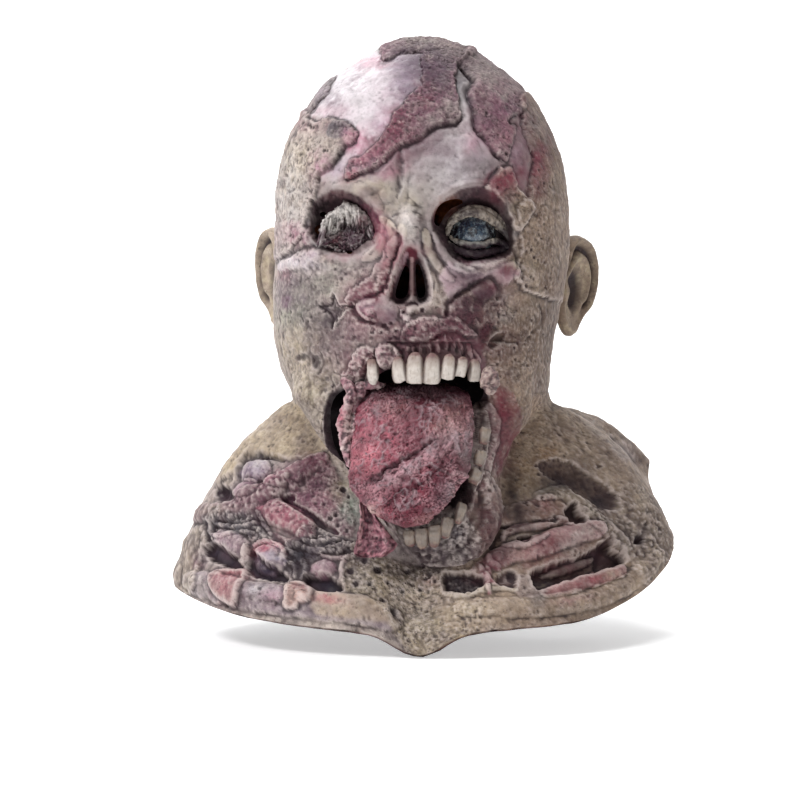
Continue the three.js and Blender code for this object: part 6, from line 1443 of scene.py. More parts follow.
def latex(name, grain=1.0, gloss=0.0, specular=0.4):
    """Painted latex: the chart's colour, sponged and dry-brushed over pores and grain."""
    s = Nodes(name)
    colour, (rough, pit, _) = s.attribute("Col"), s.parts(s.attribute("Mix"))
    cloud, mid, tiny = s.noise(60, 5), s.noise(330, 5, 0.65), s.noise(1300, 4, 0.7)
    pore = s.fit(s.voronoi(520, warp=0.5), 0.08, 0.42)
    where_pores = s.fit(s.noise(140, 3), 0.40, 0.62)
    pore = s.math("SUBTRACT", 1.0, s.math("MULTIPLY", s.math("SUBTRACT", 1.0, pore), where_pores))
    speck = s.fit(s.voronoi(900, warp=0.6), 0.10, 0.36)
    height = s.math("ADD", s.math("MULTIPLY", pore, 0.55), s.math("MULTIPLY", mid, 0.9))
    height = s.math("ADD", height, s.math("MULTIPLY", tiny, 0.28))
    height = s.math("MULTIPLY", height, pit)
    # paint caught in the pores and rubbed off the high grain, less of it where the paint is dark
    lit = s.fit(s.math("ADD", s.math("ADD", *s.parts(colour)[:2]), s.parts(colour)[2]), 0.06, 0.7)
    shade = s.math("MULTIPLY", s.math("SUBTRACT", 1.0, pore), s.math("MULTIPLY", pit, 0.42), clamp=True)
    c = s.mix(shade, colour, tuple(srgb(52, 36, 38)))
    c = s.mix(s.math("MULTIPLY", s.fit(mid, 0.50, 0.36), s.math("MULTIPLY", pit, 0.26), clamp=True), c, tuple(srgb(46, 32, 36)))
    c = s.mix(s.math("MULTIPLY", s.fit(mid, 0.55, 0.72), s.math("MULTIPLY", s.math("MULTIPLY", pit, lit), 0.24), clamp=True), c, tuple(srgb(230, 218, 208)))
    c = s.mix(s.math("MULTIPLY", s.fit(speck, 0.6, 0.0), s.math("MULTIPLY", pit, 0.14), clamp=True), c, tuple(srgb(40, 28, 34)))
    c = s.mix(s.fit(tiny, 0.42, 0.30, 0.0, 0.20), c, tuple(srgb(44, 32, 36)))
    c = s.mix(s.math("MULTIPLY", s.fit(tiny, 0.58, 0.72, 0.0, 0.14), lit), c, tuple(srgb(240, 232, 224)))
    c = s.mix(s.fit(cloud, 0.62, 0.40, 0.0, 0.16), c, tuple(srgb(70, 52, 56)))
    r = s.math("ADD", rough, s.fit(mid, 0.3, 0.7, -0.10, 0.08), clamp=True)
    r = s.math("SUBTRACT", r, gloss, clamp=True)
    return s.finish(c, r, s.bump(height, 0.00085 * grain, 1.0), Specular_IOR_Level=specular)


# ---------------------------------------------------------------- the two castings
mixes = np.stack([np.clip(ROUGH, 0, 1), np.clip(PIT, 0, 2) / 2.0, CAVITY], -1)
mixes[:, 1] *= 2.0
skin_material = latex("skin_latex_paint")
# near-black lining: painted shade for the dark inside of the head; amber: the latex's own colour, for where light comes
# through
lining_shade_dark, lining_amber = srgb(15, 9, 10), srgb(150, 84, 48)


# lining material: its colour streaked with near-black, more painted shade
s = Nodes("lining_paint_and_shade")
streak = s.noise(45, 4)
lining_material = s.finish(s.mix(s.fit(streak, 0.35, 0.65), s.attribute("Col"), tuple(srgb(12, 6, 8))), 0.95, s.bump(s.noise(260, 4), 0.0005), Specular_IOR_Level=0.08)


def skin_piece(name, top, bottom, apex, cuts):
    verts, faces, src = casting(name, top, bottom, apex)
    if not turned_out(verts, faces):
        faces = [f[::-1] for f in faces]
    obj = make(name, verts, faces)
    cut(obj, cuts)
    flat = src[:, 1] * NC + src[:, 2]
    colours = COL[flat].copy()
    m = mixes[flat].copy()
    lining = src[:, 0] == 1
    # the back wall at eye height, seen through the sight holes, in bright amber: the latex's own colour with painted
    # light coming through it; elsewhere near-black painted shade, in dark red towards the face
    amber = step(70, 100, verts[lining][:, 2]) * step(20, 60, verts[lining][:, 1])
    red = step(-20, -70, verts[lining][:, 1])[:, None]
    colours[lining] = (lining_shade_dark * (1 - red) + srgb(58, 10, 26) * red) * (1 - amber[:, None]) + lining_amber * amber[:, None]
    m[lining] = (0.8, 0.2, 0)
    near = paint(obj, verts, colours, m)
    obj.data.shade_smooth()
    obj.data.set_sharp_from_angle(angle=math.radians(62))
    obj.data.materials.clear()
    obj.data.materials.append(skin_material)
    obj.data.materials.append(lining_material)
    inside_points = lining[near] if len(near) else lining
    loops = np.zeros(len(obj.data.loops), np.int64)
    obj.data.loops.foreach_get("vertex_index", loops)
    starts = np.zeros(len(obj.data.polygons), np.int64)
    obj.data.polygons.foreach_get("loop_start", starts)
    touched = np.logical_or.reduceat(inside_points[loops], starts)
    obj.data.polygons.foreach_set("material_index", touched.astype(np.int32))
    return obj


skull = skin_piece("skull_and_face", 0, SEAM, True, ["mouth", "sight_left", "sight_right", "sight_right_2", "sight_right_3", "nostril_right", "nostril_left"])
bib = skin_piece("jaw_and_bib", SEAM, NR - 1, False, ["mouth"])
for piece in (skull, bib):
    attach(piece, "root")
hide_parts("latex_skin")

# ---------------------------------------------------------------- smaller pieces
def loft(rings, first, last):
    """A closed mesh through rings of points, with a tip at each end."""
    n, m = len(rings), len(rings[0])
    verts = np.vstack([np.reshape(rings, (-1, 3)), [first], [last]])
    faces = [[r * m + k, r * m + (k + 1) % m, (r + 1) * m + (k + 1) % m, (r + 1) * m + k] for r in range(n - 1) for k in range(m)]
    faces += [[(k + 1) % m, k, n * m] for k in range(m)] + [[(n - 1) * m + k, (n - 1) * m + (k + 1) % m, n * m + 1] for k in range(m)]
    if not turned_out(verts, faces):
        faces = [f[::-1] for f in faces]
    return verts, faces


def vertex_normals(verts, faces):
    n = np.zeros_like(verts)
    for size in (3, 4):
        f = np.array([x for x in faces if len(x) == size], int)
        if len(f):
            c = np.cross(verts[f[:, 1]] - verts[f[:, 0]], verts[f[:, -1]] - verts[f[:, 0]])
            for k in range(size):
                np.add.at(n, f[:, k], c)
    return n / np.maximum(np.linalg.norm(n, axis=1, keepdims=True), 1e-9)


def join(parts):
    verts, faces, at = [], [], 0
    for v, f in parts:
        verts.append(v)
        faces += [[k + at for k in face] for face in f]
        at += len(v)
    return np.vstack(verts), faces


def smooth_path(points, n):
    p = np.array(points, float)
    t = np.linspace(0, len(p) - 1, n)
    i = np.clip(t.astype(int), 0, len(p) - 2)
    f = (t - i)[:, None]
    a, b, c, d = p[np.maximum(i - 1, 0)], p[i], p[i + 1], p[np.minimum(i + 2, len(p) - 1)]
    return 0.5 * (2 * b + (c - a) * f + (2 * a - 5 * b + 4 * c - d) * f**2 + (3 * b - a - 3 * c + d) * f**3)


def strand(points, radii, around=18, along_=60, flat=1.0, out=None, lumps=0.0, size=4.0, seed=1):
    """A tapering strand of flesh through points in space; flat squeezes it towards the viewer."""
    line, r = smooth_path(points, along_), smooth_path([[q, 0, 0] for q in radii], along_)[:, 0]
    tangent = np.gradient(line, axis=0)
    tangent /= np.linalg.norm(tangent, axis=1, keepdims=True)
    face = np.array(out if out is not None else BACK, float)
    side = np.cross(tangent, face)
    side /= np.maximum(np.linalg.norm(side, axis=1, keepdims=True), 1e-6)
    front = np.cross(side, tangent)
    a = np.linspace(0, 2 * np.pi, around + 1)[:-1]
    rings = line[:, None] + side[:, None] * (np.cos(a) * 1.0)[None, :, None] * r[:, None, None] + front[:, None] * (np.sin(a) * flat)[None, :, None] * r[:, None, None]
    v, f = loft(rings, line[0] - tangent[0] * r[0] * 0.5, line[-1] + tangent[-1] * r[-1] * 0.5)
    if lumps:
        v = v + vertex_normals(v, f) * (lumps * fbm(v, size, 3, seed))[:, None]
    return v, f


def chart_of(verts, normals, flat=1.0):
    """Sets the painter to work on these points instead of the skin's."""
    global X3, u0, v0, seen0, wu, wv, ragged_u, ragged_v, H, DEEP, COL, ROUGH, PIT
    X3 = verts
    u0, v0 = project(X3)
    seen0 = step(-0.05, 0.25, normals @ BACK)
    wu, wv = (1.1 * noise(X3, 7.0, s) + 0.9 * noise(X3, 3.0, s + 1) for s in (3, 5))
    ragged_u, ragged_v = u0 + 2.0 * wu, v0 + 2.0 * wv
    H, DEEP, COL = np.zeros(len(X3)), np.zeros(len(X3)), np.zeros((len(X3), 3))
    ROUGH, PIT = np.full(len(X3), 0.5), np.full(len(X3), flat)


def dirty(points, colour, amount, scale=6.0, seed=5, cover=0.0):
    every_ = np.arange(len(X3))
    tint(every_, np.clip(fbm(points, scale, 4, seed) * 2.0 + cover, 0, 1), colour, amount)


def craggy(v, f, n, deep=0.6, size=3.0, seed=1, dark=(40, 20, 30), pale=(214, 196, 190), amount=0.8):
    """Pits and grain worked into a piece, with dark paint in the low places and pale paint on the high ones."""
    q_ = v + 1.2 * np.stack([noise(v, size * 1.6, seed + k) for k in (1, 2, 3)], -1)
    r_ = 0.6 * fbm(q_, size, 4, seed) * 2 + 0.5 * (np.clip(1 - np.abs(noise(q_, size * 0.8, seed + 4)) * 2.4, 0, 1) - 0.5)
    every_ = np.arange(len(v))
    tint(every_, step(0.05, -0.45, r_), srgb(*dark), amount)
    tint(every_, step(0.15, 0.6, r_), srgb(*pale), amount * 0.55)
    return v + n * (deep * r_)[:, None]


def finished(name, verts, faces, material, node, angle=60):
    obj = make(name, verts, faces)
    n = len(verts)
    co_same = len(obj.data.vertices) == n
    for key, data in (("Col", COL), ("Mix", np.stack([np.clip(ROUGH, 0, 1), PIT, PIT * 0], -1))):
        layer = obj.data.color_attributes.new(key, "FLOAT_COLOR", "POINT")
        rgba = np.ones((len(obj.data.vertices), 4), np.float32)
        rgba[:n, :3] = data if co_same else data[: len(obj.data.vertices)]
        layer.data.foreach_set("color", rgba.ravel())
    obj.data.set_sharp_from_angle(angle=math.radians(angle))
    obj.data.materials.append(material)
    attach(obj, "root")
    if node:
        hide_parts(*([node] if isinstance(node, str) else node))
    return obj


# ---- tongue
TONGUE = [  # y, z, right, left, thick, bow
    (-56, -1, 22, 24, 9, 2), (-74, 4.5, 29, 31, 13, 3), (-91, 0, 34, 35, 17, 5), (-103.5, -15, 35.5, 36.5, 18.5, 6), (-111, -32, 37, 35.5, 19, 7),
    (-115.5, -44, 36.5, 31.5, 18, 7), (-119, -54, 31, 25, 16.5, 6), (-121, -62, 23.5, 17.5, 13.5, 4), (-121, -68, 14, 8, 9, 2),
]
rows_t = smooth_path(TONGUE, 250)
run = np.gradient(rows_t[:, :2], axis=0)
a = np.linspace(0, 2 * np.pi, 241)[:-1]
a = a - 0.5 * np.sin(a)  # closer together on top
rings = []
for (ty, tz, right, left, thick, bow), (dy, dz) in zip(rows_t, run):
    across = np.array([0, dz, -dy]) / math.hypot(dy, dz)
    u_, v_ = np.sin(a), np.cos(a)
    x = (left - right) / 2 + (left + right) / 2 * np.sign(u_) * np.abs(u_) ** 0.85
    up = v_ * thick / 2 + bow * (1 - u_ * u_) * 0.5
    rings.append(np.stack([x, np.full_like(x, ty), np.full_like(x, tz)], -1) + up[:, None] * across)
v, f = loft(rings, [2, -54, -1], [-3, -120.8, -71])
nrm = vertex_normals(v, f)
chart_of(v, nrm, 1.0)
COL[:] = srgb(104, 30, 50)
ROUGH[:] = 0.5
H += 1.0 * fbm(X3, 16.0, 3, 201)
wash(381.2, 438, 26, 26, srgb(190, 92, 110), 0.85, 30, mottle=0.9)
wash(365.9, 459.4, 18, 22, srgb(196, 112, 124), 0.75, 30, mottle=0.9)
wash(393.5, 407.3, 20, 12, srgb(150, 96, 96), 0.7, mottle=0.4)
# painted shade: the tongue's top darkened where the upper teeth and lip shade it
wash(442.4, 404.3, 34, 10, srgb(78, 16, 34), 0.9, mottle=0.4)
wash(418, 392, 40, 8, srgb(52, 18, 30), 0.8, mottle=0.2)
wash(430.2, 419.6, 12, 14, srgb(116, 22, 46), 0.8)
wash(454.7, 425.7, 22, 20, srgb(148, 110, 104), 0.85, mottle=0.5)
wash(439.4, 444.1, 26, 10, srgb(150, 118, 124), 0.7, 35)
wash(465.4, 456.3, 12, 26, srgb(118, 96, 98), 0.75)
wash(405.7, 474.7, 36, 8, srgb(186, 150, 156), 0.75, 30)
wash(427.1, 468.6, 16, 10, srgb(126, 30, 52), 0.7, 30)
wash(384.3, 474.7, 22, 7, srgb(84, 34, 50), 0.75, 30)
wash(418, 494.6, 24, 9, srgb(122, 26, 50), 0.85, 30)
wash(393.5, 516, 20, 7, srgb(136, 30, 56), 0.9, -10)
wash(375.1, 496.1, 12, 12, srgb(196, 128, 140), 0.7, -40)
wash(370.5, 511.4, 8, 8, srgb(214, 184, 176), 0.7)
wash(445.5, 494.6, 12, 14, srgb(92, 70, 82), 0.85, 40)
wash(427.1, 519.1, 20, 6, srgb(150, 108, 100), 0.8, 20)
wash(456.2, 493.1, 10, 14, srgb(116, 92, 90), 0.8)
tube([(358.3, 490), (378.2, 476.2), (399.6, 462.4), (418, 453.3), (436.3, 438)], 4.0, -1.6, colour=srgb(62, 18, 34), amount=0.55, taper=0.8, power=1.4, wobble=2.4)
tube([(370.5, 482.3), (387.3, 470.1), (405.7, 457.9), (427.1, 447.1)], 2.4, -1.0, colour=srgb(54, 14, 30), amount=0.5, taper=0.8, power=1.4, wobble=3.0)
tube([(365.9, 494.6), (384.3, 482.3), (405.7, 471.6), (430.2, 459.4), (454.7, 438)], 5.5, 1.7, colour=srgb(176, 132, 140), amount=0.35, taper=0.8, power=1.4, wobble=2.4)
tube([(381.2, 508.4), (399.6, 494.6), (424.1, 482.3), (442.4, 467), (457.8, 462.4)], 4.4, -1.6, colour=srgb(78, 14, 34), amount=0.6, taper=0.8, power=1.4, wobble=2.4)
tube([(390.4, 514.5), (411.8, 505.3), (433.3, 493.1), (448.6, 477.8)], 5.0, 1.2, taper=0.6, power=1.0)
tube([(365.9, 438), (384.3, 425.7), (399.6, 407.3)], 5, 1.0, power=1.0)
tube([(405.7, 404.3), (411.8, 425.7), (405.7, 447.1)], 6, -1.0, power=1.0)
for a_, b_, r_ in ((395.8, 433.4, 3.2), (387.5, 440.5, 2.4), (406.5, 471.0, 2.6), (384.3, 411.0, 2.4), (408.0, 445.0, 1.8), (371.0, 436.0, 1.8), (430.0, 468.0, 2.0), (419.0, 484.0, 2.0), (443.0, 462.0, 2.0)):
    lump(a_, b_, r_, r_ * 0.85, 20, -1.3, colour=srgb(70, 26, 38), amount=0.75)
lump(460.1, 486.2, 6.0, 8.5, -10, -3.2, colour=srgb(48, 36, 40), amount=0.9)
tube([(448.6, 477.8), (454.7, 473.2), (465.4, 476.2), (466.9, 486.9), (462.3, 494.6), (450.1, 496.1)], 3.0, 1.5, colour=srgb(134, 112, 112), amount=0.6)
# papillae: worm-like bumps with dark gaps
q = X3 + 1.5 * np.stack([noise(X3, 3.2, s) for s in (211, 212, 213)], -1)
f1, f2, _ = cells(q * [1.0, 1.0, 0.8], 1.75, 214)
worm = np.clip(1 - np.abs(noise(q, 1.9, 219)) * 2.6, 0, 1)
bumpy = np.clip(0.55 * (f2 - f1) * 2.4 + 0.6 * worm, 0, 1)
H += 0.95 * bumpy + 0.45 * noise(X3, 1.5, 215) + 1.3 * fbm(q, 8.0, 3, 218)
gap = step(0.42, 0.05, bumpy)
every_t = np.arange(len(X3))
tint(every_t, gap, srgb(46, 8, 22), 0.88)
tint(every_t, step(0.1, 0.45, fbm(X3, 6.0, 3, 220)), srgb(74, 18, 36), 0.6)
tint(every_t, step(0.45, 0.9, bumpy) * step(-0.25, 0.3, noise(X3, 9.0, 216)), srgb(222, 170, 178), 0.50)
tint(every_t, step(0.0, 0.5, fbm(X3, 12.0, 3, 217)), srgb(84, 14, 34), 0.5)
web = np.clip(1 - np.abs(noise(q, 5.5, 221)) * 5.0, 0, 1) * step(-0.2, 0.3, noise(X3, 14.0, 222))
H += 0.5 * web
tint(every_t, web, srgb(176, 158, 164), 0.55)
low_band = step(505, 530, v0) * step(360, 400, u0)
tint(every_t, low_band, srgb(92, 20, 40), 0.5)
# painted shadow of the upper teeth and lip across the tongue's top
tint(every_t, step(405, 388, v0), srgb(34, 8, 18), 0.88)
v = v + nrm * H[:, None]
tongue_material = latex("tongue_paint", 1.3, 0.12, 0.5)
finished("tongue_piece", v, f, tongue_material, "tongue")

# ---- teeth
UPPER_TEETH = [  # x, y, z, wide, tall, deep, lean, turn
    (-23.8, -101, 20.5, 7.4, 15, 6, 8, -24), (-7.6, -107.6, 22, 8, 15.5, 6, 5, -8), (2, -108.8, 23, 10, 19, 6.4, 2, -3), (12.3, -108.8, 22.6, 10, 18.5, 6.4, -5, 3),
    (22, -107, 23.6, 8, 15.5, 6, -6, 8), (29.8, -104.8, 23.8, 6.8, 12, 5.6, -10, 16), (37.4, -101.2, 21.5, 7, 13.4, 5.6, -6, 26),
]
LOWER_TEETH = [
    ("lower_tooth_1", -0.4, -115.6, -79, 6, 10, 5, 8, -14), ("lower_tooth_2", 6.8, -117, -79, 6.6, 12.5, 5, 4, -6), ("lower_tooth_3", 14.4, -117.2, -77.4, 6.4, 13.5, 5, -4, 2),
    ("lower_tooth_4", 21.4, -116, -72.6, 6, 13, 5, -12, 12), ("lower_tooth_5", 29.6, -113.6, -64, 5, 13, 4.6, -16, 26),
    ("lower_molar_1", 38.2, -108.6, -42, 6.5, 9, 5, -22, 32), ("lower_molar_2", 41, -106, -31, 6.5, 9.5, 5, -20, 32), ("lower_molar_3", 43.6, -102.6, -18, 6, 10, 5, -12, 32),
]
enamel = Nodes("enamel")
ec = enamel.attribute("Col")
ep = enamel.parts(enamel.attribute("Mix"))
crazing = enamel.noise(900, 4, 0.6, stretch=(1, 1, 0.22))
mottling = enamel.noise(260, 4)
cc = enamel.mix(enamel.fit(crazing, 0.44, 0.30, 0.0, 0.42), ec, tuple(srgb(96, 78, 66)))
cc = enamel.mix(enamel.fit(mottling, 0.60, 0.36, 0.0, 0.20), cc, tuple(srgb(150, 134, 116)))
er = enamel.math("ADD", ep[0], enamel.fit(mottling, 0.3, 0.7, -0.08, 0.10), clamp=True)
enamel_material = enamel.finish(cc, er, enamel.bump(enamel.math("ADD", crazing, mottling), 0.0004), Specular_IOR_Level=0.45)


def tooth(name, x, y, z, wide, tall, deep, lean, turn_, upper, kind, seed):
    levels = [(-0.5, 0.30, 0.45), (-0.44, 0.60, 0.7), (-0.30, 0.88, 0.92), (0.08, 1.12, 1.0), (0.34, 1.14, 0.74), (0.45, 1.0, 0.5), (0.5, 0.66, 0.3)]
    if kind == "fang":
        levels = [(-0.5, 0.7, 0.7), (-0.2, 0.9, 1.0), (0.1, 1.0, 0.95), (0.34, 0.86, 0.7), (0.5, 0.42, 0.3)]
    if kind == "molar":
        levels = [(-0.5, 0.7, 0.8), (-0.2, 0.9, 1.0), (0.15, 1.0, 1.0), (0.4, 0.92, 0.9), (0.5, 0.66, 0.6)]
    lv = smooth_path(levels, 34)
    t = np.linspace(0, 2 * np.pi, 41)[:-1]
    s, c = np.sin(t), np.cos(t)
    dirn = -1 if upper else 1
    rings = []
    for at, w_, d_ in lv:
        rings.append(np.stack([np.sign(s) * np.abs(s) ** 0.74 * w_ * wide / 2, np.sign(c) * np.abs(c) ** 0.72 * d_ * deep / 2, np.full_like(s, at * tall * dirn)], -1))
    rings = np.array(rings)
    if kind == "fang":
        rings[..., 0] -= 0.9 * np.clip((lv[:, 0] + 0.1), 0, 1)[:, None] * 2.2
    v, f = loft(rings, [rings[0, :, 0].mean(), 0, -0.52 * tall * dirn], [rings[-1, :, 0].mean(), 0, 0.515 * tall * dirn])
    n = vertex_normals(v, f)
    edge_ = step(0.3, 0.5, v[:, 2] / tall * dirn)
    v = v + n * (0.55 * fbm(v + seed * 31.0, 3.2, 3, seed) + 0.16 * np.cos(v[:, 0] / wide * 15) * step(-0.1, 0.5, v[:, 2] / tall * dirn) * (v[:, 1] < 0))[:, None]
    v[:, 2] += 1.1 * edge_ * dirn * noise(v * [1, 0, 0] + seed * 7.0, 3.2, seed + 3)
    share = v[:, 2] / tall * dirn + 0.5      # 0 at the root, 1 at the biting edge
    sides = np.abs(v[:, 0]) / (wide / 2)
    front_ = v[:, 1] < 0
    la, ta = math.radians(-lean), math.radians(turn_)
    v = v @ np.array([[math.cos(la), 0, math.sin(la)], [0, 1, 0], [-math.sin(la), 0, math.cos(la)]]).T
    v = v @ np.array([[math.cos(ta), -math.sin(ta), 0], [math.sin(ta), math.cos(ta), 0], [0, 0, 1]]).T
    v = v + np.array([x, y, z])
    chart_of(v, n)
    pale = srgb(204, 196, 188) if upper else srgb(140, 130, 122)
    COL[:] = pale
    every_ = np.arange(len(v))
    tint(every_, step(0.55, 0.12, share), srgb(134, 112, 106) if upper else srgb(100, 86, 80), 0.7)
    tint(every_, step(0.20 + 0.08 * math.sin(seed * 2.3), 0.04, share + 0.08 * noise(v, 3.0, seed + 9)), srgb(96, 52, 56), 0.8)
    tint(every_, step(0.66, 0.98, sides), srgb(74, 54, 52), 0.8)
    tint(every_, np.clip(fbm(v, 2.6, 4, seed) * 1.8, 0, 1), srgb(150, 132, 116), 0.4 if upper else 0.6)
    tint(every_, step(0.5, 0.4, np.abs(np.mod(v[:, 0] * 0.9 + noise(v, 4.0, seed), 1.6) - 0.8) * 6) * step(0.6, 0.2, share), srgb(110, 84, 74), 0.4)
    tint(every_, ~front_ * 1.0, srgb(120, 96, 88), 0.5)
    ROUGH[:] = 0.34 + 0.25 * step(0.5, 0.1, share)
    return finished(name + "_piece", v, f, enamel_material, name, 75)


for k, row in enumerate(UPPER_TEETH, 1):
    row = (row[0], row[1] + 0.5 * math.sin(k * 2.1), row[2], row[3], row[4], row[5], row[6] + 3 * math.sin(k * 3.7), row[7] + 6 * math.sin(k * 1.9))
    tooth(f"upper_tooth_{k}", *row, True, "fang" if k == 1 else "incisor", 300 + k)
for k, row in enumerate(LOWER_TEETH, 1):
    row = (*row[:4], row[4] * 1.14, *row[5:])
    tooth(row[0], *row[1:], False, "molar" if "molar" in row[0] else "incisor", 320 + k)

# ---- eye in the wearer's left socket
cx, cy, cz, er_ = 33.5, -67.0, 104.0, 15.5
nt, na = 46, 96
th = np.linspace(0.02, np.pi / 2, nt)
ph = np.linspace(0, 2 * np.pi, na + 1)[:-1]
iris_centre = np.array([36.0, -1.0, 105.2])
rings = []
for t in th:
    rr = er_ * np.sin(t)
    yy = cy - er_ * np.cos(t)
    rings.append(np.stack([cx + rr * np.cos(ph), np.full(na, yy), cz + rr * np.sin(ph)], -1))
v, f = loft(rings, [cx, cy - er_, cz], [cx, cy, cz])
n = vertex_normals(v, f)
off = np.hypot(v[:, 0] - 35.2, v[:, 2] - 105.4)
v[:, 1] -= 0.9 * step(8.4, 3.0, off) * (v[:, 1] < cy - 4)
chart_of(v, n)
COL[:] = srgb(44, 52, 66)
every_ = np.arange(len(v))
tint(every_, np.clip(fbm(v, 5.0, 4, 401) * 2.2, 0, 1), srgb(104, 114, 120), 0.5)
tint(every_, step(9.2, 7.6, off), srgb(30, 40, 56), 0.9)
tint(every_, step(7.4, 5.4, off) * np.clip(0.6 + fbm(v, 3.0, 3, 402) * 2, 0, 1), srgb(58, 80, 100), 0.8)
spokes = noise(np.stack([np.arctan2(v[:, 2] - 105.4, v[:, 0] - 35.2) * 5.0, off * 0.25, off * 0], -1), 1.0, 403)
tint(every_, step(7.6, 6.0, off) * step(2.0, 3.4, off) * np.clip(spokes * 2.5, 0, 1), srgb(20, 28, 48), 0.85)
tint(every_, step(3.8, 2.4, off), srgb(14, 18, 34), 0.85)
tint(every_, step(8.4, 9.6, off), srgb(16, 12, 18), 0.95)
tint(every_, np.clip(fbm(v, 2.4, 3, 404) * 2.0 - 0.2, 0, 1), srgb(186, 192, 190), 0.30)
ROUGH[:] = 0.16
eye_nodes = Nodes("clouded_eye")
film = eye_nodes.noise(420, 5, 0.65)
ecol = eye_nodes.mix(eye_nodes.fit(film, 0.50, 0.66, 0.0, 0.45), eye_nodes.attribute("Col"), tuple(srgb(150, 168, 176)))
ecol = eye_nodes.mix(eye_nodes.fit(film, 0.46, 0.34, 0.0, 0.5), ecol, tuple(srgb(20, 26, 38)))
eye_material = eye_nodes.finish(ecol, eye_nodes.fit(film, 0.3, 0.7, 0.12, 0.3), eye_nodes.bump(film, 0.0003), Specular_IOR_Level=0.6, Coat_Weight=0.6, Coat_Roughness=0.06)
finished("eyeball_piece", v, f, eye_material, "eyeball")


def on_ball(points, r=17.6):
    """Chart points put on a ball round the eye."""
    out = []
    for u, v_ in points:
        p = place(u, v_, -84.0)
        d = math.hypot(p[0] - cx, p[2] - cz)
        out.append([p[0], cy - math.sqrt(max(r * r - d * d, 4.0)), p[2]])
    return out


lid_parts = [
    strand(on_ball([(447.1, 235.2), (449.6, 224), (457.8, 215.8), (469, 211.7), (482.2, 213.8), (494.5, 221.9), (504.7, 232.1), (513.9, 244.4)], 17.4), [1.0, 2.2, 2.9, 3.2, 3.3, 3.0, 2.2, 1.0], 20, 80, 0.8, lumps=0.35, size=4.0, seed=411),
    strand(on_ball([(445.5, 229.1), (454.7, 216.8), (468, 209.7), (484.3, 210.7), (500.6, 220.9), (512.9, 235.2)], 18.4), [0.8, 2.0, 2.8, 2.9, 2.4, 1.0], 18, 70, 0.7, lumps=0.5, size=4.0, seed=412),
    strand(on_ball([(449.6, 236.2), (457.8, 241.7), (470, 245), (482.2, 244.4), (491.4, 241.3), (500.6, 244.4)], 17.0), [0.9, 1.8, 2.2, 2.2, 1.7, 0.7], 18, 60, 0.8, lumps=0.35, size=3.4, seed=413),
    strand(on_ball([(446.5, 241.3), (457.8, 249.5), (472, 253.6), (486.3, 252.6), (498.6, 249.5), (510.8, 251.5)], 18.0), [0.8, 2.2, 2.8, 2.6, 2.2, 0.8], 18, 60, 0.7, lumps=0.8, size=3.4, seed=414),
    strand(on_ball([(491.4, 239.3), (498.6, 241.3), (506.7, 246.4), (513.9, 252.6)], 17.6), [0.8, 2.0, 2.2, 0.8], 16, 40, 0.8, lumps=0.4, size=3.4, seed=415),
]
v, f = join(lid_parts)
n = vertex_normals(v, f)
chart_of(v, n)
COL[:] = srgb(146, 136, 126)
tint(np.arange(len(v)), step(239, 245, v0), srgb(72, 48, 60), 0.9)
dirty(v, srgb(72, 58, 62), 0.7, 6.0, 421)
dirty(v, srgb(198, 188, 170), 0.7, 4.0, 422)
wash(472, 243, 20, 2.6, srgb(196, 198, 190), 0.9)
wash(474.1, 255.6, 26, 6, srgb(64, 34, 52), 0.95)
wash(471, 213.8, 22, 2.2, srgb(40, 26, 32), 0.85)
wash(496.5, 226, 14, 2.4, srgb(40, 26, 32), 0.85, -40)
wash(504.7, 245.4, 14, 9, srgb(30, 22, 34), 0.9)
wash(461.8, 211.7, 18, 5, srgb(84, 74, 70), 0.7)
wash(490.4, 218.9, 18, 6, srgb(176, 162, 146), 0.6, -40)
lid_material = latex("lid_paint", 0.8, 0.05)
v = craggy(v, f, n, 0.35, 2.6, 610, (34, 22, 30), (206, 198, 186), 0.75)
tint(np.arange(len(v)), step(241.5, 246, v0), srgb(44, 28, 40), 0.85)
tint(np.arange(len(v)), step(494, 502, u0) * step(222, 232, v0), srgb(30, 20, 30), 0.8)
finished("eyelids_piece", v, f, lid_material, "eyelids")

# ---- torn eye in the wearer's right socket
rng = np.random.default_rng(7)
tx, ty, tz = -39.5, -74.0, 106.0
lat = np.linspace(0.05, np.pi - 0.05, 60)
lon = np.linspace(0, 2 * np.pi, 111)[:-1]
rings = [np.stack([tx + 13.5 * math.sin(t) * np.sin(lon), ty - 6.5 * math.cos(t) + 0 * lon, tz - 3.0 + 10.0 * math.sin(t) * np.cos(lon)], -1) for t in lat]
v, f = loft(rings, [tx, ty - 6.5, tz - 3.0], [tx, ty + 6.5, tz - 3.0])
n = vertex_normals(v, f)
v = v + n * (2.6 * fbm(v, 7.0, 4, 431) + 0.8 * noise(v, 2.2, 432))[:, None]
parts = [(v, f)]
for k in range(46):  # a fringe of pale fibres across the socket
    s = k / 45
    base_u = 322 + 50 * s
    crown_v = 226 - 20 * math.sin(math.pi * min(1, s * 1.05)) + 3 * rng.standard_normal()
    length = 15 + 8 * rng.random()
    lean_ = (s - 0.45) * 12 + 2.5 * rng.standard_normal()
    y_ = -80.5 + 2.0 * rng.standard_normal()
    p0, p1, p2 = place(base_u, crown_v, y_ + 2), place(base_u + lean_ * 0.3, crown_v + length * 0.45, y_ - 1.5), place(base_u + lean_, crown_v + length, y_ + 2.5)
    r0 = 0.75 + 0.55 * rng.random()
    parts.append(strand([p0, p1, p2], [r0 * 0.4, r0, r0 * 0.5], 8, 16, 1.0, lumps=0.35, size=2.0, seed=440 + k))
arc = [place(u, v_, -80.0) for u, v_ in [(321, 231.1), (329.2, 220.9), (341.4, 211.7), (351.6, 209.7), (360.8, 215.8), (369, 226), (372, 235.2)]]
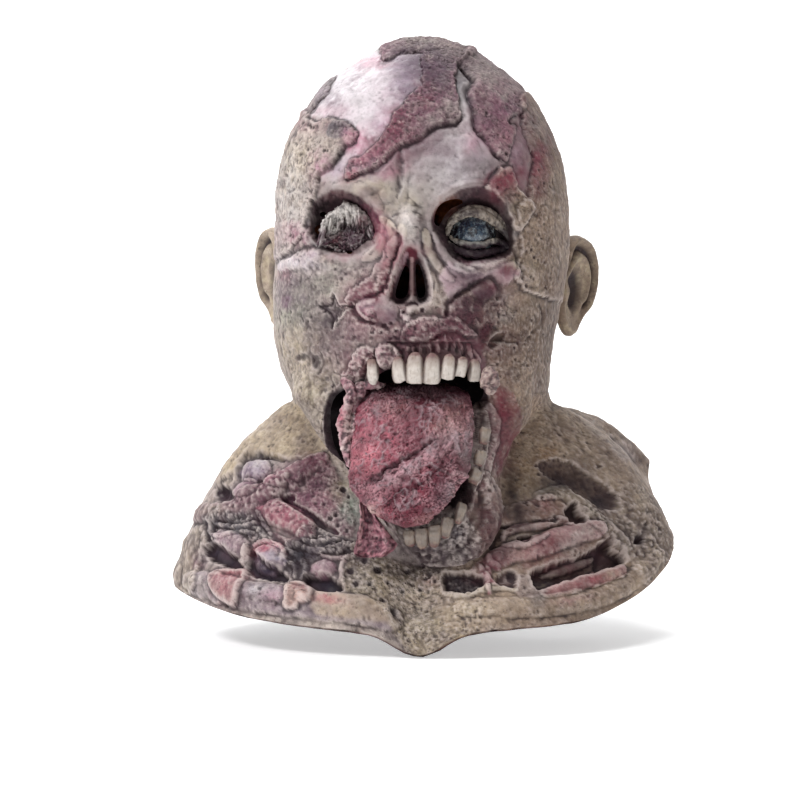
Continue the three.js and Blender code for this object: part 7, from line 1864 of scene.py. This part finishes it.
parts.append(strand(arc, [1.6, 3.0, 3.8, 3.8, 3.2, 2.4, 1.2], 22, 90, 0.8, lumps=1.6, size=3.2, seed=433))
arc = [place(u, v_, -79.0) for u, v_ in [(318, 244.4), (327.1, 241.3), (337.3, 235.2), (347.6, 229.1), (357.8, 227), (368, 231.1)]]
parts.append(strand(arc, [1.2, 1.8, 1.8, 1.6, 1.6, 0.8], 16, 70, 0.8, lumps=0.9, size=3.0, seed=434))
for k in range(90):  # small curled shreds all over the lump
    su, sv = 326 + 44 * rng.random(), 220 + 30 * rng.random()
    heading = rng.random() * 6.28
    y_ = -80.0 + 3.0 * abs(su - 347) / 22 + rng.standard_normal() * 0.8
    pts = [(su, sv)]
    for _ in range(3):
        heading += rng.standard_normal() * 0.9
        pts.append((pts[-1][0] + 2.6 * math.cos(heading), pts[-1][1] + 2.6 * math.sin(heading)))
    parts.append(strand([place(p_[0], p_[1], y_ + 1.2 * math.sin(n_ * 2.0)) for n_, p_ in enumerate(pts)], [0.4, 0.8 + 0.5 * rng.random(), 0.8, 0.4], 8, 12, 1.0, lumps=0.3, size=2.0, seed=500 + k))
v, f = join(parts)
n = vertex_normals(v, f)
chart_of(v, n)
COL[:] = srgb(84, 54, 66)
top_ = step(218, 232, v0)
tint(np.arange(len(v)), 1 - top_, srgb(206, 200, 194), 0.85)
tint(np.arange(len(v)), np.clip(fbm(v, 3.4, 4, 451) * 2.6, 0, 1), srgb(214, 208, 204), 0.45)
wash(337.3, 239.3, 6, 8, srgb(120, 48, 40), 0.7)
tint(np.arange(len(v)), np.clip(fbm(v, 2.6, 4, 452) * 2.6, 0, 1), srgb(36, 24, 34), 0.8)
wash(349.6, 229.1, 14, 4, srgb(40, 20, 24), 0.9)
wash(361.8, 220.9, 8, 10, srgb(112, 44, 62), 0.7)
wash(347.6, 241.3, 12, 8, srgb(110, 84, 92), 0.6)
torn_material = latex("torn_eye_paint", 1.0, 0.12)
v = craggy(v, f, n, 0.4, 2.2, 620, (24, 12, 22), (232, 228, 224), 0.7)
wash(349, 229.5, 15, 3.2, srgb(30, 14, 22), 0.95, 12)
wash(352, 241, 13, 9, srgb(70, 46, 62), 0.6)
wash(330, 226, 7, 8, srgb(214, 212, 204), 0.5, 40)
wash(350, 212, 16, 6, srgb(220, 216, 210), 0.5)
finished("torn_eye_piece", v, f, torn_material, "torn_eye")

# ---- ears
EAR_ROWS = [  # name, node, side, x, y, z, flare, tilt
    ("ear_left_piece", "ear_wearers_left", 1, 90, 20, 74, 34, -4), ("ear_right_piece", "ear_wearers_right", -1, -95, 20, 80, 30, -6),
]
ear_material = latex("ear_paint", 0.9)


def bezier(p0, p1, p2, p3, n):
    t = np.linspace(0, 1, n + 1)[:-1, None]
    return (1 - t) ** 3 * np.array(p0) + 3 * (1 - t) ** 2 * t * np.array(p1) + 3 * (1 - t) * t * t * np.array(p2) + t**3 * np.array(p3)


def ear(name, node, side, x, y, z, flare, tilt):
    w_, h_ = 40.0, 67.0
    rim = np.vstack([
        bezier((-w_ * .38, -h_ * .3), (-w_ * .5, 0), (-w_ * .45, h_ * .36), (-w_ * .1, h_ * .48), 40),
        bezier((-w_ * .1, h_ * .48), (w_ * .35, h_ * .56), (w_ * .6, h_ * .3), (w_ * .5, 0), 44),
        bezier((w_ * .5, 0), (w_ * .44, -h_ * .2), (w_ * .2, -h_ * .28), (w_ * .05, -h_ * .46), 36),
        bezier((w_ * .05, -h_ * .46), (-w_ * .1, -h_ * .56), (-w_ * .34, -h_ * .46), (-w_ * .38, -h_ * .3), 24)])
    m = len(rim)
    angle = np.arctan2(rim[:, 1], rim[:, 0])
    back_side = step(-0.6, 0.3, np.cos(angle)) + step(0.2, 0.9, np.sin(angle)) * step(0.3, -0.3, np.cos(angle))
    back_side = np.clip(back_side, 0, 1) * step(-1.0, -0.75, np.sin(angle))
    shares = np.concatenate([np.linspace(0.02, 1, 44)])
    front_r, back_r, tone = [], [], []
    wob = 1 + 0.05 * noise(np.stack([np.cos(angle) * 2, np.sin(angle) * 2, angle * 0], -1), 1.0, 461 + side)
    for s in shares:
        p = rim * (s * wob)[:, None]
        r_ = s + 0 * angle
        helix = 4.0 * np.exp(-(((r_ - 0.90) / 0.085) ** 2)) * (0.35 + 0.65 * back_side)
        groove_ = -2.4 * np.exp(-(((r_ - 0.735) / 0.06) ** 2)) * back_side
        anti = 2.6 * np.exp(-(((r_ - 0.56) / 0.10) ** 2)) * back_side
        qx, qy = (p[:, 0] + 3.0) / 8.5, (p[:, 1] + 3.0) / 16.0
        concha = -6.0 * step(1.15, 0.35, np.hypot(qx, qy))
        tragus = 3.0 * np.exp(-(((p[:, 0] + 12.5) / 3.6) ** 2 + ((p[:, 1] + 5.0) / 6.0) ** 2))
        edge_ = -2.2 * step(0.94, 1.0, r_)
        hgt = helix + groove_ + anti + concha + tragus + edge_
        pts = np.stack([p[:, 0], p[:, 1], 1.2 + hgt], -1)
        pts[:, 2] += 0.5 * fbm(np.stack([p[:, 0], p[:, 1], 0 * p[:, 0] + side * 9], -1), 7.0, 3, 462)
        front_r.append(pts)
        tone.append(np.clip(-(groove_ * 0.42 + concha * 0.17), 0, 1))
        thick = 2.8 + 1.2 * (1 - s)
        back_r.append(np.stack([p[:, 0] * 0.995, p[:, 1] * 0.995, -thick + np.minimum(hgt, 0) * 0.9 + 0.5 * np.maximum(hgt, 0) + 1.0], -1))
    rings = front_r + [rim * 1.0 * np.array([1, 1]) * wob[:, None] @ np.array([[1, 0, 0], [0, 1, 0]]) + [0, 0, -0.6]] + back_r[::-1]
    dark = np.concatenate([np.array(tone).ravel(), np.zeros(m), np.zeros(len(back_r) * m), [0.9, 0.0]])
    v, f = loft(rings, rings[0].mean(0), rings[-1].mean(0))
    local = v.copy()
    fl, ti = math.radians(-flare), math.radians(tilt)
    q = np.stack([v[:, 2], v[:, 0], v[:, 1]], -1)     # local x goes back, y up, z outwards
    q = q @ np.array([[1, 0, 0], [0, math.cos(ti), -math.sin(ti)], [0, math.sin(ti), math.cos(ti)]]).T
    q = q @ np.array([[math.cos(fl), -math.sin(fl), 0], [math.sin(fl), math.cos(fl), 0], [0, 0, 1]]).T
    q[:, 0] *= side
    q += np.array([x + side * 7, y + 14, z])
    if not turned_out(q, f):
        f = [k[::-1] for k in f]
    n = vertex_normals(q, f)
    chart_of(q, n, 0.9)
    COL[:] = srgb(176, 160, 142) if side < 0 else srgb(146, 128, 110)
    ROUGH[:] = 0.62
    dirty(q, srgb(112, 96, 84), 0.55, 12.0, 463)
    dirty(q, CREAM, 0.4, 8.0, 464)
    tint(np.arange(len(q)), np.clip(dark * 1.6, 0, 1), srgb(40, 28, 32), 0.96)
    dirty(q, srgb(80, 62, 54), 0.35, 4.0, 465)
    return finished(name, q, f, ear_material, node)


for row in EAR_ROWS:
    ear(*row)

# ---- loose flesh: the sinew beside the mouth, the flap under the tongue, the tag at the mouth's corner
def along_chart(points, ys):
    return [place(u, v_, y_) for (u, v_), y_ in zip(points, ys)]


flesh_material = latex("flesh_paint", 1.1, 0.12, 0.5)
parts = [
    strand(along_chart([(343, 379), (351.4, 390.5), (349.1, 401.2), (346, 411.9), (344.5, 422.7), (345.3, 434.9), (346.8, 447.1), (349.1, 459.4), (352.9, 470.1)], [-96, -98, -100, -102, -103, -104, -105, -106, -107]), [2.2, 3.6, 3.0, 3.4, 4.4, 4.0, 3.6, 2.8, 1.2], 26, 120, 0.8, lumps=1.3, size=5.0, seed=471),
    strand(along_chart([(356, 385.9), (361.3, 390.5), (357.5, 401.2), (354.4, 411.9), (352.9, 422.7), (351.4, 434.9), (351.4, 445.6)], [-94, -97, -97, -99, -101, -103, -105]), [2.0, 3.2, 2.2, 2.4, 3.0, 3.2, 1.6], 22, 90, 0.8, lumps=1.2, size=4.5, seed=472),
    strand(along_chart([(356.7, 385.9), (369, 385.2), (378.2, 385.9), (385.8, 384.4)], [-92, -96, -94, -88]), [1.8, 2.6, 2.2, 1.2], 18, 50, 0.8, lumps=0.9, size=4.0, seed=473),
    strand(along_chart([(339.9, 425.7), (343, 438), (345.3, 450.2), (347.6, 462.4)], [-103, -104, -105, -106]), [1.2, 2.4, 2.0, 0.8], 18, 60, 0.8, lumps=0.9, size=4.0, seed=474),
]
v, f = join(parts)
n = vertex_normals(v, f)
chart_of(v, n, 1.1)
COL[:] = srgb(168, 118, 128)
dirty(v, srgb(220, 200, 196), 0.8, 5.0, 481, 0.1)
dirty(v, srgb(92, 40, 56), 0.8, 5.0, 482)
wash(346, 425.7, 6, 18, srgb(224, 208, 200), 0.8)
wash(341.4, 416.5, 5, 14, srgb(190, 92, 112), 0.7)
wash(362.9, 398.2, 12, 12, srgb(66, 28, 40), 0.8)
v = craggy(v, f, n, 0.8, 3.4, 630, (40, 14, 26), (220, 200, 196), 0.85)
finished("cheek_sinew_piece", v, f, flesh_material, "cheek_sinew")

ns, nc = 80, 44
rows_f = smooth_path([(358.3, 486.9, 362.1, 487.7), (359, 502.2, 370.5, 506.8), (360.1, 520.6, 381.2, 523.7), (356.7, 539, 391.9, 537.4), (354, 552.8, 396.5, 545.9), (359.8, 557.3, 384.3, 557.3)], ns)
front_g, back_g = [], []
for k, (ul, vl, ur, vr) in enumerate(rows_f):
    s = k / (ns - 1)
    e = np.linspace(0, 1, nc)
    fold = 2.6 * np.sin(e * 7.5 + 1.0 + 1.2 * s) * step(0, 0.3, s) + 1.2 * np.sin(e * 15 + 3 * s)
    y_ = -112.5 + 4.5 * s * 0 - fold - 3.0 * np.sin(np.pi * e) * s
    pts = np.array([place(ul + (ur - ul) * q_, vl + (vr - vl) * q_, yy) for q_, yy in zip(e, y_)])
    front_g.append(pts)
    back_g.append(pts + np.array([0, 2.2, 0]))
rings = [np.vstack([a_, b_[::-1]]) for a_, b_ in zip(front_g, back_g)]
v, f = loft(rings, rings[0].mean(0) + [0, 0, 0.6], rings[-1].mean(0) - [0, 0, 0.6])
n = vertex_normals(v, f)
v = v + n * (0.8 * fbm(v, 5.0, 4, 491))[:, None]
chart_of(v, n, 1.2)
COL[:] = srgb(142, 84, 98)
dirty(v, srgb(206, 168, 170), 0.6, 5.0, 492)
dirty(v, srgb(64, 20, 36), 0.85, 7.0, 493, 0.15)
tube([(360.6, 493.1), (362.1, 516), (360.1, 537.4), (357.5, 552.8)], 2.4, 0.1, colour=srgb(206, 156, 160), amount=0.7)
tube([(378.2, 523.7), (385.8, 532.9), (393.5, 542)], 2.4, 0.1, colour=srgb(200, 140, 150), amount=0.6)
tube([(356.7, 553.5), (369, 554.3), (384.3, 555.1)], 2.0, 0.1, colour=srgb(190, 120, 132), amount=0.6)
v = craggy(v, f, n, 0.5, 3.4, 640, (34, 10, 22), (206, 160, 166), 0.75)
finished("torn_lip_flap_piece", v, f, flesh_material, "torn_lip_flap")

v, f = strand(along_chart([(488.4, 368.3), (489.3, 375.2), (489.6, 382.9), (489, 389.7), (488.1, 393.3)], [-100, -102.5, -103.5, -104, -103.6]), [3.4, 5.4, 5.8, 4.6, 2.4], 32, 70, 0.55, lumps=0.7, size=5.0, seed=495)
n = vertex_normals(v, f)
chart_of(v, n, 1.2)
COL[:] = srgb(158, 134, 128)
dirty(v, srgb(126, 84, 90), 0.6, 6.0, 496)
dirty(v, srgb(196, 178, 166), 0.5, 4.0, 497)
v = craggy(v, f, n, 0.8, 3.2, 650, (56, 30, 36), (196, 178, 166), 0.8)
finished("lip_tag_piece", v, f, flesh_material, "lip_tag")


# ---------------------------------------------------------------- floor and light
def stage_plane():
    n = 60
    x = np.linspace(-6, 6, 25)
    verts, faces = [], []
    prof = [(-5.0, 0.0)] + [(1.0 + 1.0 * math.sin(a), 1.0 - 1.0 * math.cos(a)) for a in np.linspace(0, math.pi / 2, 16)] + [(2.0, 6.0)]
    floor_z = world([0, 0, -149.5])[2]
    for px in (-7.0, 7.0):
        for py, pz in prof:
            verts.append((px, py, floor_z + pz))
    k = len(prof)
    faces = [[i, i + 1, k + i + 1, k + i] for i in range(k - 1)]
    mesh = bpy.data.meshes.new("floor")
    mesh.from_pydata(verts, [], faces)
    mesh.update()
    obj = bpy.data.objects.new("floor", mesh)
    bpy.context.scene.collection.objects.link(obj)
    mesh.shade_smooth()
    s = Nodes("floor_paper")
    grain = s.noise(3.0, 3)
    tone = s.mix(grain, tuple(srgb(238, 238, 238)), tuple(srgb(244, 244, 244)))
    s.put(s.shader.inputs["Emission Color"], (1.0, 1.0, 1.0, 1.0))
    s.shader.inputs["Emission Strength"].default_value = 0.42
    mesh.materials.append(s.finish(tone, 0.85, None, Specular_IOR_Level=0.2))
    return obj


floor = stage_plane()


def light(name, at, aim, size, power, colour=(1, 1, 1)):
    data = bpy.data.lights.new(name, "AREA")
    data.shape, data.size, data.energy, data.color = "DISK", size, power, colour
    obj = bpy.data.objects.new(name, data)
    bpy.context.scene.collection.objects.link(obj)
    obj.location = at
    obj.rotation_euler = (Vector(aim) - Vector(at)).to_track_quat("-Z", "Y").to_euler()
    return obj


middle_of = world([0, -40, 60])
light("key", (-1.4, -0.95, 1.3), middle_of, 0.7, 34, (1.0, 0.985, 1.0))
light("fill", (0.5, -2.0, 0.55), middle_of, 1.4, 4.5, (1.0, 0.93, 0.87))
light("backdrop_wash", (0.0, -0.2, 2.6), (0.0, 1.9, 0.6), 1.6, 60, (1.0, 1.0, 1.0))
light("rim", (-0.9, 1.2, 1.4), middle_of, 1.0, 8, (0.96, 0.98, 1.0))
w = bpy.data.worlds.new("studio")
bpy.context.scene.world = w
w.use_nodes = True
tree = w.node_tree
background = next(n for n in tree.nodes if n.type == "BACKGROUND")
background.inputs[0].default_value = (0.95, 0.96, 1.0, 1.0)
background.inputs[1].default_value = 0.15
bpy.context.scene.view_settings.view_transform = "Standard"
bpy.context.scene.view_settings.look = "None"
bpy.context.scene.view_settings.exposure = 0.0

for o in frame["nodes"].values():
    if not o.hide_render:
        pass
